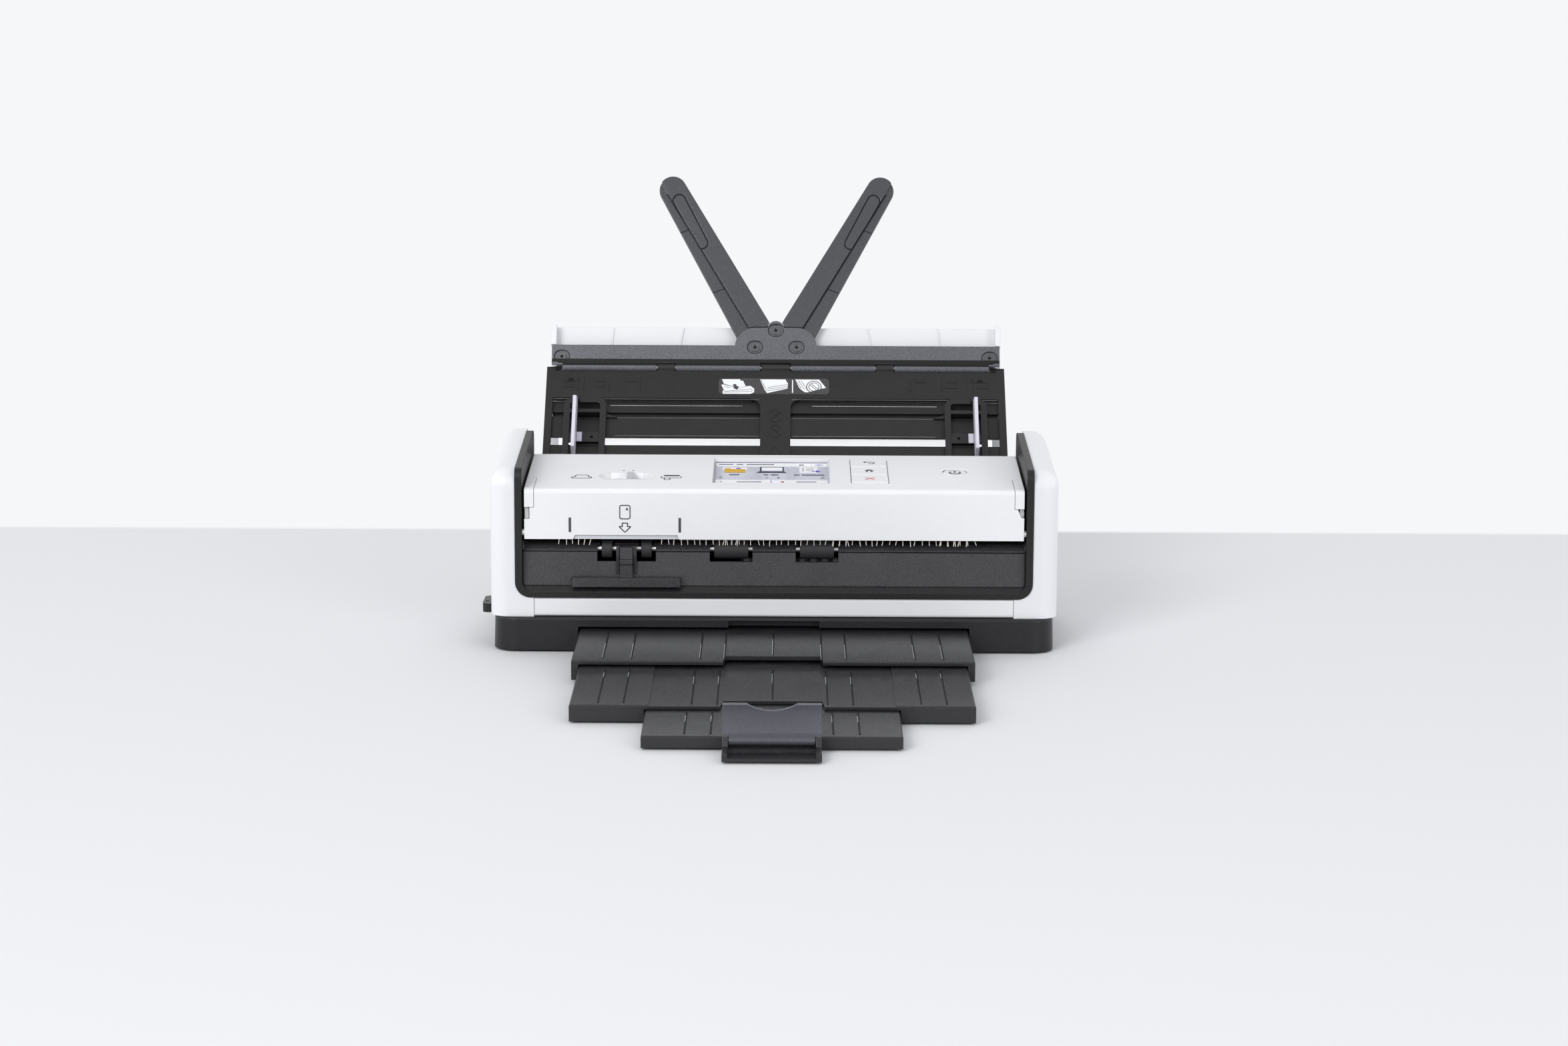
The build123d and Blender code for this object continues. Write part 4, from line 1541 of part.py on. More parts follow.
# Document guides: dark U-frames that slide on the chute, and folding white flaps
GUIDE_FLOOR = CHUTE_FRONT + GUIDE_SEAT_GAP
with BuildPart() as left_document_guide:
    guide_x = (-GUIDE_OUTER_X, -GUIDE_INNER_X)
    guide_centre = (-(GUIDE_OUTER_X + GUIDE_INNER_X) / 2, -(GUIDE_TOP + GUIDE_BOTTOM) / 2)
    guide_size = (GUIDE_OUTER_X - GUIDE_INNER_X, GUIDE_BOTTOM - GUIDE_TOP)
    with BuildSketch(chute_plane(GUIDE_FLOOR)):
        with Locations(guide_centre):
            RectangleRounded(guide_size[0], guide_size[1], GUIDE_CORNER)
            RectangleRounded(
                guide_size[0] - 2 * GUIDE_MEMBER,
                guide_size[1] - 2 * GUIDE_MEMBER,
                GUIDE_CORNER - GUIDE_MEMBER,
                mode=Mode.SUBTRACT,
            )
    extrude(amount=GUIDE_HEIGHT)
    catch_t = (-CATCH_BOTTOM, -CATCH_TOP)
    plate(chute_plane(GUIDE_FLOOR), (-GUIDE_OUTER_X + 1, -GUIDE_INNER_X - 1), catch_t, GUIDE_HEIGHT - 0.4)
    catch_hole = (-GUIDE_INNER_X - GUIDE_MEMBER - 4, -(CATCH_TOP + CATCH_BOTTOM) / 2)
    disc(chute_plane(GUIDE_FLOOR - 1), catch_hole, 0.8, 4, Mode.SUBTRACT)
    plate(chute_plane(-1.4), guide_x, (-TONGUE_BOTTOM, -TONGUE_TOP), GUIDE_FLOOR + GUIDE_HEIGHT + 1.4)
    for low in (-GUIDE_TOP - GUIDE_MEMBER, -GUIDE_BOTTOM):
        ear_t = (low, low + GUIDE_MEMBER)
        plate(chute_plane(GUIDE_FLOOR), (-FLAP_X - 1.8, -FLAP_X + 1.8), ear_t, FLAP_PIVOT_HEIGHT + 1.4 - GUIDE_FLOOR)
    pin_axis = Plane(
        origin=chute_plane().from_local_coords((-FLAP_X, -GUIDE_BOTTOM - 1, FLAP_PIVOT_HEIGHT)),
        x_dir=(1, 0, 0),
        z_dir=chute_plane().y_dir,
    )
    with BuildSketch(pin_axis):
        Circle(FLAP_PIN_RADIUS + RUNNING_GAP)
    extrude(amount=GUIDE_BOTTOM - GUIDE_TOP + 2, mode=Mode.SUBTRACT)
write(left_document_guide.part, "left_document_guide")

with BuildPart() as right_document_guide:
    mirror(left_document_guide.part, about=Plane.YZ)
write(right_document_guide.part, "right_document_guide")

FLAP_LOW = GUIDE_TOP + GUIDE_MEMBER + 0.4
FLAP_HIGH = GUIDE_BOTTOM - GUIDE_MEMBER - 0.4
FLAP_BASE = FLAP_PIVOT_HEIGHT
flap_plane = Plane(
    origin=chute_plane().from_local_coords((-FLAP_X - FLAP_THICKNESS / 2, 0, 0)),
    x_dir=chute_plane().y_dir,
    z_dir=(1, 0, 0),
)
with BuildPart() as left_guide_flap:
    with BuildSketch(flap_plane) as flap_face:
        with BuildLine():
            Polyline(
                (-FLAP_LOW, FLAP_BASE),
                (-FLAP_LOW, FLAP_BASE + 3),
                (-FLAP_LOW - 5, FLAP_BASE + FLAP_HEIGHT),
                (-FLAP_HIGH, FLAP_BASE + FLAP_HEIGHT),
                (-FLAP_HIGH, FLAP_BASE),
                close=True,
            )
        make_face()
    extrude(amount=FLAP_THICKNESS)
    with BuildSketch(pin_axis.offset(GUIDE_BOTTOM + 1 - FLAP_HIGH)):
        Circle(FLAP_THICKNESS / 2)
    extrude(amount=FLAP_HIGH - FLAP_LOW)
    with BuildSketch(pin_axis):
        Circle(FLAP_PIN_RADIUS)
    extrude(amount=GUIDE_BOTTOM - GUIDE_TOP + 1)
write(left_guide_flap.part, "left_guide_flap")

with BuildPart() as right_guide_flap:
    mirror(left_guide_flap.part, about=Plane.YZ)
write(right_guide_flap.part, "right_guide_flap")


# Exit tray stages
def stage_grooves(xs, y, top):
    """Fine grooves along Y in the top of a tray stage."""
    for x in xs:
        block((x - GROOVE_WIDTH / 2, x + GROOVE_WIDTH / 2), y, (top - GROOVE_DEPTH, top + 1), Mode.SUBTRACT)


def stage_notch(front, top):
    """Centre notch in the front edge of a stage, with slanted ends."""
    with BuildSketch(Plane.XY.offset(0)) as notch:
        with BuildLine():
            Polyline(
                (-NOTCH_HALF_WIDTH - 1.5, front - 1),
                (NOTCH_HALF_WIDTH + 1.5, front - 1),
                (NOTCH_HALF_WIDTH, front + NOTCH_DEPTH),
                (-NOTCH_HALF_WIDTH, front + NOTCH_DEPTH),
                close=True,
            )
        make_face()
    extrude(notch.sketch, amount=top + 1, mode=Mode.SUBTRACT)


STAGE_2_HALF_WIDTH = STAGE_1_HALF_WIDTH - STAGE_WALL - STAGE_SIDE_GAP
STAGE_2_TOP = STAGE_1_TOP - STAGE_PLATE - STAGE_TOP_GAP - 0.3
STAGE_3_TOP = STAGE_2_TOP - STAGE_PLATE - 0.2
GROOVE_XS_1 = (-84, -70, -36, -24, 24, 36, 70, 84)
GROOVE_XS_2 = (-82, -70, -38, -26, 26, 38, 70, 82)
GROOVE_XS_3 = (-40, -28, 28, 40)

with BuildPart() as tray_stage_1:
    rear_1 = STAGE_1_FRONT + STAGE_1_LENGTH
    block((-STAGE_1_HALF_WIDTH, STAGE_1_HALF_WIDTH), (STAGE_1_FRONT, rear_1), (STAGE_1_BOTTOM, STAGE_1_TOP))
    chamfer(tray_stage_1.faces().sort_by(Axis.Z)[-1].edges(), 0.6)
    inner_1 = STAGE_1_HALF_WIDTH - STAGE_WALL
    block((-inner_1, inner_1), (STAGE_1_FRONT - 1, rear_1 + 1), (0, STAGE_1_TOP - STAGE_PLATE), Mode.SUBTRACT)
    stage_notch(STAGE_1_FRONT, STAGE_1_TOP)
    stage_grooves(GROOVE_XS_1, (STAGE_1_FRONT + 4, BASE_FRONT - 4), STAGE_1_TOP)
    stage_grooves((0,), (STAGE_1_FRONT + NOTCH_DEPTH + 3, BASE_FRONT - 4), STAGE_1_TOP)
    for side in (-1, 1):
        block(
            span(side, STAGE_1_HALF_WIDTH - 0.5, STAGE_1_HALF_WIDTH + STAGE_TONGUE),
            (FRONT + 1, rear_1),
            (GROOVE_LOW + MOVING_GAP, GROOVE_HIGH - MOVING_GAP),
        )
        block(
            span(side, inner_1 - 1, inner_1 + STAGE_TONGUE),
            (STAGE_1_FRONT + 3, rear_1 + 1),
            (STAGE_2_BOTTOM + 2.6, STAGE_2_BOTTOM + 5.0),
            Mode.SUBTRACT,
        )
write(tray_stage_1.part, "tray_stage_1")

with BuildPart() as tray_stage_2:
    rear_2 = STAGE_2_FRONT + STAGE_2_LENGTH
    block((-STAGE_2_HALF_WIDTH, STAGE_2_HALF_WIDTH), (STAGE_2_FRONT, rear_2), (STAGE_2_BOTTOM, STAGE_2_TOP))
    chamfer(tray_stage_2.faces().sort_by(Axis.Z)[-1].edges(), 0.6)
    inner_2 = STAGE_2_HALF_WIDTH - 3.0
    slot_2 = STAGE_3_HALF_WIDTH + 0.5
    under_2 = STAGE_2_TOP - STAGE_PLATE
    block((-inner_2, inner_2), (STAGE_2_FRONT + 3, rear_2 + 1), (0, under_2), Mode.SUBTRACT)
    block((-slot_2, slot_2), (STAGE_2_FRONT - 1, STAGE_2_FRONT + 4), (0, under_2), Mode.SUBTRACT)
    for side in (-1, 1):
        block(span(side, slot_2, slot_2 + 2.4), (STAGE_2_FRONT, rear_2 - 4), (STAGE_2_BOTTOM + 0.2, under_2 + 0.5))
        block(
            span(side, slot_2 - 1, slot_2 + 1.0),
            (STAGE_2_FRONT + 6, rear_2),
            (STAGE_2_BOTTOM + 1.8, STAGE_2_BOTTOM + 3.8),
            Mode.SUBTRACT,
        )
        block(
            span(side, STAGE_2_HALF_WIDTH - 0.5, STAGE_2_HALF_WIDTH + STAGE_TONGUE),
            (STAGE_1_FRONT + 4, rear_2),
            (STAGE_2_BOTTOM + 2.9, STAGE_2_BOTTOM + 4.7),
        )
    stage_notch(STAGE_2_FRONT, STAGE_2_TOP)
    panel_2 = (-STAGE_2_PANEL_HALF_WIDTH, STAGE_2_PANEL_HALF_WIDTH)
    sunk_2 = STAGE_2_TOP - STAGE_2_PANEL_DEPTH
    block(panel_2, (STAGE_2_FRONT - 1, rear_2 + 1), (sunk_2, STAGE_2_TOP + 1), Mode.SUBTRACT)
    stage_grooves(GROOVE_XS_2[:2] + GROOVE_XS_2[-2:], (STAGE_2_FRONT + 4, STAGE_1_FRONT - 3), STAGE_2_TOP)
    stage_grooves(GROOVE_XS_2[2:-2], (STAGE_2_FRONT + 4, STAGE_1_FRONT - 3), sunk_2)
    stage_grooves((0,), (STAGE_2_FRONT + NOTCH_DEPTH + 3, STAGE_1_FRONT - 3), sunk_2)
write(tray_stage_2.part, "tray_stage_2")

BRACKET_INNER = STOPPER_HALF_WIDTH - BRACKET_WALL
with BuildPart() as tray_stage_3:
    rear_3 = STAGE_3_FRONT + STAGE_3_LENGTH
    block((-STAGE_3_HALF_WIDTH, STAGE_3_HALF_WIDTH), (STAGE_3_FRONT, rear_3), (STAGE_2_BOTTOM, STAGE_3_TOP))
    chamfer(tray_stage_3.faces().sort_by(Axis.Z)[-1].edges(), 0.6)
    inner_3 = STAGE_3_HALF_WIDTH - 3.0
    block(
        (-inner_3, inner_3),
        (STAGE_3_FRONT + 3, rear_3 + 1),
        (0, STAGE_3_TOP - STAGE_3_PLATE),
        Mode.SUBTRACT,
    )
    for side in (-1, 1):
        side_prism(
            [
                (STAGE_3_FRONT + 1, STAGE_2_BOTTOM),
                (BRACKET_FRONT, STAGE_2_BOTTOM),
                (BRACKET_FRONT, STAGE_2_BOTTOM + 3.4),
                (STOPPER_Y - 3.4, STAGE_2_BOTTOM + 3.4),
                (STOPPER_Y - 1.6, STOPPER_PIVOT_Z + 2.0),
                (STOPPER_Y + 2.2, STOPPER_PIVOT_Z + 2.0),
                (STAGE_3_FRONT + 1, STAGE_3_TOP - 0.6),
            ],
            span(side, BRACKET_INNER, STOPPER_HALF_WIDTH),
        )
        block(
            span(side, STAGE_3_HALF_WIDTH - 0.5, STAGE_3_HALF_WIDTH + 1.2),
            (STAGE_2_FRONT + 8, rear_3),
            (STAGE_2_BOTTOM + 2.1, STAGE_2_BOTTOM + 3.5),
        )
    block((-BRACKET_INNER - 0.5, BRACKET_INNER + 0.5), (BRACKET_FRONT, STAGE_3_FRONT + 1), (STAGE_2_BOTTOM, STAGE_2_BOTTOM + 1.4))
    rod((STOPPER_Y, STOPPER_PIVOT_Z), (-STOPPER_HALF_WIDTH - 1, STOPPER_HALF_WIDTH + 1), 1.0 + RUNNING_GAP, Mode.SUBTRACT)
    stage_grooves(GROOVE_XS_3, (STAGE_3_FRONT + 4, STAGE_2_FRONT - 3), STAGE_3_TOP)
write(tray_stage_3.part, "tray_stage_3")

# Stopper: a curved flag with a finger dip, on two pins in the stage 3 bracket
STOPPER_ROOT_HALF_WIDTH = BRACKET_INNER - MOVING_GAP
STOPPER_SHOULDER = STOPPER_PIVOT_Z + 3.2
with BuildPart() as tray_stopper:
    half_thick = STOPPER_THICKNESS / 2
    with BuildSketch(Plane.YZ.offset(-STOPPER_HALF_WIDTH)):
        with BuildLine():
            Line((STOPPER_Y - half_thick, STOPPER_SHOULDER), (STOPPER_Y + half_thick, STOPPER_SHOULDER))
            ThreePointArc(
                (STOPPER_Y + half_thick, STOPPER_SHOULDER),
                (STOPPER_Y + half_thick + 0.9, (STOPPER_SHOULDER + STOPPER_TOP) / 2),
                (STOPPER_Y + half_thick - 0.6, STOPPER_TOP),
            )
            Line((STOPPER_Y + half_thick - 0.6, STOPPER_TOP), (STOPPER_Y - half_thick - 0.9, STOPPER_TOP - 0.5))
            ThreePointArc(
                (STOPPER_Y - half_thick - 0.9, STOPPER_TOP - 0.5),
                (STOPPER_Y - half_thick + 0.9, (STOPPER_SHOULDER + STOPPER_TOP) / 2),
                (STOPPER_Y - half_thick, STOPPER_SHOULDER),
            )
        make_face()
    extrude(amount=2 * STOPPER_HALF_WIDTH)
    with BuildSketch(Plane.XZ.offset(-STOPPER_Y - 6)):
        with Locations((0, STOPPER_TOP + 17.5)):
            Circle(21.0)
    extrude(amount=12, mode=Mode.SUBTRACT)
    root = (-STOPPER_ROOT_HALF_WIDTH, STOPPER_ROOT_HALF_WIDTH)
    block(root, (STOPPER_Y - half_thick, STOPPER_Y + half_thick), (STOPPER_PIVOT_Z, STOPPER_SHOULDER + 0.5))
    rod((STOPPER_Y, STOPPER_PIVOT_Z), root, 1.9)
    rod((STOPPER_Y, STOPPER_PIVOT_Z), (-STOPPER_HALF_WIDTH, STOPPER_HALF_WIDTH), 1.0)
write(tray_stopper.part, "tray_stopper")
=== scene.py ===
"""Looks of a desktop document scanner: finishes, marks, bristles, stage, light and camera."""

import logging
import math
import random
from dataclasses import dataclass, field
from enum import Enum
from typing import Iterable, Sequence

import bmesh
import bpy
from mathutils import Matrix, Vector


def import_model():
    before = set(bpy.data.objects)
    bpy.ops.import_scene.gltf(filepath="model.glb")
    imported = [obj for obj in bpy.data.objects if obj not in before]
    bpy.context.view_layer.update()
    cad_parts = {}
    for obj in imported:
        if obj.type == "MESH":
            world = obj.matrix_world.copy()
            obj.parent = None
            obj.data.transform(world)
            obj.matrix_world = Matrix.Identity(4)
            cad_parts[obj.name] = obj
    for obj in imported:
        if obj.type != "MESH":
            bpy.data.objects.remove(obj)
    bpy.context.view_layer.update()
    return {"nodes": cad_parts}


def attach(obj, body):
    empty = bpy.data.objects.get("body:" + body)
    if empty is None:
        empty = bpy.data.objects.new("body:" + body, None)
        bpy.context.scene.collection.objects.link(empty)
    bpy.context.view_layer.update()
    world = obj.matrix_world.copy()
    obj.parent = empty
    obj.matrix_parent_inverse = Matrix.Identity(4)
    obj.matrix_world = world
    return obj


log = logging.getLogger("scanner")
MM = 0.001
LEFT, RIGHT = -1, 1
SIDES = (LEFT, RIGHT)
Colour = tuple[float, float, float]
Point = tuple[float, float]
Span = tuple[float, float]
Box = tuple[float, float, float, float]


def srgb(red: float, green: float, blue: float) -> Colour:
    """Converts a colour seen on screen (0 to 255) to linear light.

    Args:
        red: Red level.
        green: Green level.
        blue: Blue level.

    Returns:
        The linear colour.
    """

    def linear(level: float) -> float:
        """Linear light of one level."""
        part = level / 255.0
        return part / 12.92 if part <= 0.04045 else ((part + 0.055) / 1.055) ** 2.4

    return (linear(red), linear(green), linear(blue))


def find_node(tree: bpy.types.NodeTree, kind: str) -> bpy.types.Node:
    """Finds the first node of a kind.

    Args:
        tree: Where to look.
        kind: The node's type.

    Returns:
        The node.
    """
    return next(node for node in tree.nodes if node.type == kind)


def math_node(
    tree: bpy.types.NodeTree,
    operation: str,
    first: bpy.types.NodeSocket | float,
    second: bpy.types.NodeSocket | float,
) -> bpy.types.NodeSocket:
    """Adds a math node.

    Args:
        tree: Where to add it.
        operation: The math operation.
        first: First input, a socket or a number.
        second: Second input, a socket or a number.

    Returns:
        The node's output.
    """
    node = tree.nodes.new("ShaderNodeMath")
    node.operation = operation
    for slot, value in enumerate((first, second)):
        if isinstance(value, (int, float)):
            node.inputs[slot].default_value = value
        else:
            tree.links.new(value, node.inputs[slot])
    return node.outputs[0]


def map_range(
    tree: bpy.types.NodeTree, value: bpy.types.NodeSocket, source: Span, target: Span
) -> bpy.types.NodeSocket:
    """Adds a clamped map range node.

    Args:
        tree: Where to add it.
        value: What it maps.
        source: Low and high value that it maps from.
        target: Low and high value that it maps to.

    Returns:
        The node's output.
    """
    node = tree.nodes.new("ShaderNodeMapRange")
    tree.links.new(value, node.inputs["Value"])
    for label, number in zip(("From Min", "From Max", "To Min", "To Max"), (*source, *target)):
        node.inputs[label].default_value = number
    return node.outputs["Result"]


def axis_of(
    tree: bpy.types.NodeTree, vector: bpy.types.NodeSocket, axis: str
) -> bpy.types.NodeSocket:
    """Takes one axis of a vector.

    Args:
        tree: Where to add the node.
        vector: The vector.
        axis: X, Y or Z.

    Returns:
        The value on that axis.
    """
    axes = tree.nodes.new("ShaderNodeSeparateXYZ")
    tree.links.new(vector, axes.inputs["Vector"])
    return axes.outputs[axis]


def noise_node(tree: bpy.types.NodeTree, scale: float, detail: float) -> bpy.types.Node:
    """Adds noise over the object's own coordinates.

    Args:
        tree: Where to add it.
        scale: The noise's scale, per metre.
        detail: How many finer layers it has.

    Returns:
        The noise node.
    """
    place = tree.nodes.new("ShaderNodeTexCoord")
    noise = tree.nodes.new("ShaderNodeTexNoise")
    noise.inputs["Scale"].default_value = scale
    noise.inputs["Detail"].default_value = detail
    tree.links.new(place.outputs["Object"], noise.inputs["Vector"])
    return noise


class Effects:
    """Node groups that several finishes share, each built once.

    Attributes:
        SWING: A change either way from none.
        UNIT: From nothing to all.
        GRAIN_SCALE: Default scale of the fine grain, per metre.
        GRAIN_PEAKS: Noise levels between which the grain rises.
        MOTTLE_DRIFT: Noise levels between which the slow mottling changes.
        MOTTLE_SCALE: Scale of the mottling, per metre.
        DUST_SCALE: Scale of the dust's clouds, per metre.
        DUST_PATCHES: Noise levels between which dust gathers.
        DUST_SLOPE: How far up a face looks where dust starts and where it is full.
        grain: The grain's node group.
        dust: The dust's node group.
    """

    SWING = (-1.0, 1.0)
    UNIT = (0.0, 1.0)
    GRAIN_SCALE = 1800.0
    GRAIN_PEAKS = (0.38, 0.68)
    MOTTLE_DRIFT = (0.3, 0.7)
    MOTTLE_SCALE = 38.0
    DUST_SCALE = 120.0
    DUST_PATCHES = (0.42, 0.75)
    DUST_SLOPE = (0.5, 1.0)

    def __init__(self) -> None:
        """Builds the groups."""
        self.grain = self._build_grain()
        self.dust = self._build_dust()

    @staticmethod
    def _group(
        name: str, inputs: Sequence[tuple[str, str, float]], outputs: Sequence[tuple[str, str]]
    ) -> bpy.types.NodeTree:
        """Starts a node group with named sockets.

        Args:
            name: The group's name.
            inputs: Name, socket type and default of each input.
            outputs: Name and socket type of each output.

        Returns:
            The empty group with its input and output nodes.
        """
        tree = bpy.data.node_groups.new(name, "ShaderNodeTree")
        for label, kind, value in inputs:
            socket = tree.interface.new_socket(name=label, in_out="INPUT", socket_type=kind)
            if kind == "NodeSocketFloat":
                socket.default_value = value
        for label, kind in outputs:
            tree.interface.new_socket(name=label, in_out="OUTPUT", socket_type=kind)
        tree.nodes.new("NodeGroupInput").name = "in"
        tree.nodes.new("NodeGroupOutput").name = "out"
        return tree

    def _build_grain(self) -> bpy.types.NodeTree:
        """Spark-eroded grain: fine speckle over slow mottling, with height and roughness.

        Returns:
            The node group.
        """
        tree = self._group(
            "moulded_grain",
            [
                ("Colour", "NodeSocketColor", 0.0),
                ("Grain Scale", "NodeSocketFloat", self.GRAIN_SCALE),
                ("Speckle", "NodeSocketFloat", 0.2),
                ("Mottle", "NodeSocketFloat", 0.05),
                ("Roughness", "NodeSocketFloat", 0.5),
                ("Roughness Spread", "NodeSocketFloat", 0.1),
            ],
            [
                ("Colour", "NodeSocketColor"),
                ("Roughness", "NodeSocketFloat"),
                ("Height", "NodeSocketFloat"),
            ],
        )
        link = tree.links.new
        source, sink = tree.nodes["in"], tree.nodes["out"]
        fine = noise_node(tree, self.GRAIN_SCALE, 2.0)
        fine.inputs["Roughness"].default_value = 0.65
        link(source.outputs["Grain Scale"], fine.inputs["Scale"])
        slow = noise_node(tree, self.MOTTLE_SCALE, 3.0)
        peaks = map_range(tree, fine.outputs["Fac"], self.GRAIN_PEAKS, self.SWING)
        drift = map_range(tree, slow.outputs["Fac"], self.MOTTLE_DRIFT, self.SWING)
        speckle = math_node(tree, "MULTIPLY", peaks, source.outputs["Speckle"])
        mottle = math_node(tree, "MULTIPLY", drift, source.outputs["Mottle"])
        change = math_node(tree, "ADD", speckle, mottle)
        scaled = tree.nodes.new("ShaderNodeVectorMath")
        scaled.operation = "SCALE"
        link(source.outputs["Colour"], scaled.inputs[0])
        link(math_node(tree, "ADD", change, 1.0), scaled.inputs["Scale"])
        link(scaled.outputs["Vector"], sink.inputs["Colour"])
        spread = math_node(tree, "MULTIPLY", peaks, source.outputs["Roughness Spread"])
        rough = math_node(tree, "ADD", spread, source.outputs["Roughness"])
        link(rough, sink.inputs["Roughness"])
        link(fine.outputs["Fac"], sink.inputs["Height"])
        return tree

    def _build_dust(self) -> bpy.types.NodeTree:
        """Thin dust that settles on faces that look up.

        Returns:
            The node group.
        """
        tree = self._group(
            "settled_dust",
            [("Amount", "NodeSocketFloat", 0.1)],
            [("Mask", "NodeSocketFloat")],
        )
        shape = tree.nodes.new("ShaderNodeNewGeometry")
        rise = axis_of(tree, shape.outputs["Normal"], "Z")
        cloud = noise_node(tree, self.DUST_SCALE, 5.0)
        upward = map_range(tree, rise, self.DUST_SLOPE, self.UNIT)
        patch = map_range(tree, cloud.outputs["Fac"], self.DUST_PATCHES, self.UNIT)
        both = math_node(tree, "MULTIPLY", upward, patch)
        mask = math_node(tree, "MULTIPLY", both, tree.nodes["in"].outputs["Amount"])
        tree.links.new(mask, tree.nodes["out"].inputs["Mask"])
        return tree


# What all finishes share.
COAT_ROUGHNESS = 0.08
BUMP_STRENGTH = 0.6
EDGE_SAMPLES = 4
DUST_COLOUR = (0.32, 0.31, 0.3, 1.0)
# Sockets of a colour mix node, whose names repeat, so that they are taken by number.
MIX_FACTOR, MIX_FIRST, MIX_SECOND, MIX_RESULT = 0, 6, 7, 2


@dataclass(frozen=True)
class Finish:
    """A moulded, machined or printed surface, or a painted highlight or painted shade, as a
    procedural material.

    Attributes:
        name: The material's name.
        colour: Linear base colour.
        roughness: Middle roughness.
        spread: How far the roughness goes either way.
        grain_mm: Size of the grain.
        depth_mm: Height of the grain.
        speckle: Lightness change from grain to grain.
        mottle: Slow lightness change over the surface.
        dust: Amount of settled dust.
        metallic: 1 for a metal.
        coat: Clear coat weight.
        edge_mm: Radius that catches light at the piece's edges.
        transmission: 1 for clear glass.
        specular: How strongly it mirrors at a right angle, 0.5 for common plastic.
    """

    name: str
    colour: Colour
    roughness: float = 0.5
    spread: float = 0.06
    grain_mm: float = 0.6
    depth_mm: float = 0.02
    speckle: float = 0.05
    mottle: float = 0.03
    dust: float = 0.0
    metallic: float = 0.0
    coat: float = 0.0
    edge_mm: float = 0.25
    transmission: float = 0.0
    specular: float = 0.5

    def build(self, effects: Effects) -> bpy.types.Material:
        """Builds the material.

        Args:
            effects: The shared node groups.

        Returns:
            The material.
        """
        material = bpy.data.materials.new(self.name)
        material.use_nodes = True
        tree = material.node_tree
        link = tree.links.new
        shader = find_node(tree, "BSDF_PRINCIPLED")
        grain = tree.nodes.new("ShaderNodeGroup")
        grain.node_tree = effects.grain
        grain.inputs["Colour"].default_value = (*self.colour, 1.0)
        grain.inputs["Grain Scale"].default_value = 1.0 / (self.grain_mm * MM)
        grain.inputs["Speckle"].default_value = self.speckle
        grain.inputs["Mottle"].default_value = self.mottle
        grain.inputs["Roughness"].default_value = self.roughness
        grain.inputs["Roughness Spread"].default_value = self.spread
        tint = grain.outputs["Colour"]
        if self.dust:
            tint = self._dusted(tree, effects, tint)
        link(tint, shader.inputs["Base Color"])
        link(grain.outputs["Roughness"], shader.inputs["Roughness"])
        shader.inputs["Metallic"].default_value = self.metallic
        shader.inputs["Specular IOR Level"].default_value = self.specular
        shader.inputs["Coat Weight"].default_value = self.coat
        shader.inputs["Coat Roughness"].default_value = COAT_ROUGHNESS
        shader.inputs["Transmission Weight"].default_value = self.transmission
        bump = tree.nodes.new("ShaderNodeBump")
        bump.inputs["Distance"].default_value = self.depth_mm * MM
        bump.inputs["Strength"].default_value = BUMP_STRENGTH
        link(grain.outputs["Height"], bump.inputs["Height"])
        if self.edge_mm:
            soft = tree.nodes.new("ShaderNodeBevel")
            soft.samples = EDGE_SAMPLES
            soft.inputs["Radius"].default_value = self.edge_mm * MM
            link(soft.outputs["Normal"], bump.inputs["Normal"])
        link(bump.outputs["Normal"], shader.inputs["Normal"])
        return material

    def _dusted(
        self, tree: bpy.types.NodeTree, effects: Effects, tint: bpy.types.NodeSocket
    ) -> bpy.types.NodeSocket:
        """Mixes pale dust over the colour.

        Args:
            tree: The material's nodes.
            effects: The shared node groups.
            tint: The clean colour.

        Returns:
            The dusted colour.
        """
        dust = tree.nodes.new("ShaderNodeGroup")
        dust.node_tree = effects.dust
        dust.inputs["Amount"].default_value = self.dust
        mix = tree.nodes.new("ShaderNodeMix")
        mix.data_type = "RGBA"
        tree.links.new(dust.outputs["Mask"], mix.inputs[MIX_FACTOR])
        tree.links.new(tint, mix.inputs[MIX_FIRST])
        mix.inputs[MIX_SECOND].default_value = DUST_COLOUR
        return mix.outputs[MIX_RESULT]


def ink(
    name: str,
    colour: Colour,
    roughness: float = 0.6,
    spread: float = 0.04,
    speckle: float = 0.02,
    mottle: float = 0.02,
) -> Finish:
    """A thin film, used for print and for painted shade.

    Args:
        name: The material's name.
        colour: Linear base colour.
        roughness: Middle roughness.
        spread: How far the roughness goes either way.
        speckle: Lightness change from grain to grain.
        mottle: Slow lightness change over the film.

    Returns:
        The finish.
    """
    return Finish(name, colour, roughness, spread, 0.4, 0.004, speckle, mottle, edge_mm=0.0)


def pixels(name: str, colour: Colour, speckle: float = 0.03, mottle: float = 0.02) -> Finish:
    """A smooth area of the display's picture; the white one is also used as painted light on the
    panel.

    Args:
        name: The material's name.
        colour: Linear base colour.
        speckle: Lightness change from grain to grain.
        mottle: Slow lightness change over the area.

    Returns:
        The finish.
    """
    return Finish(name, colour, 0.3, 0.03, 0.3, 0.0, speckle, mottle, edge_mm=0.0)


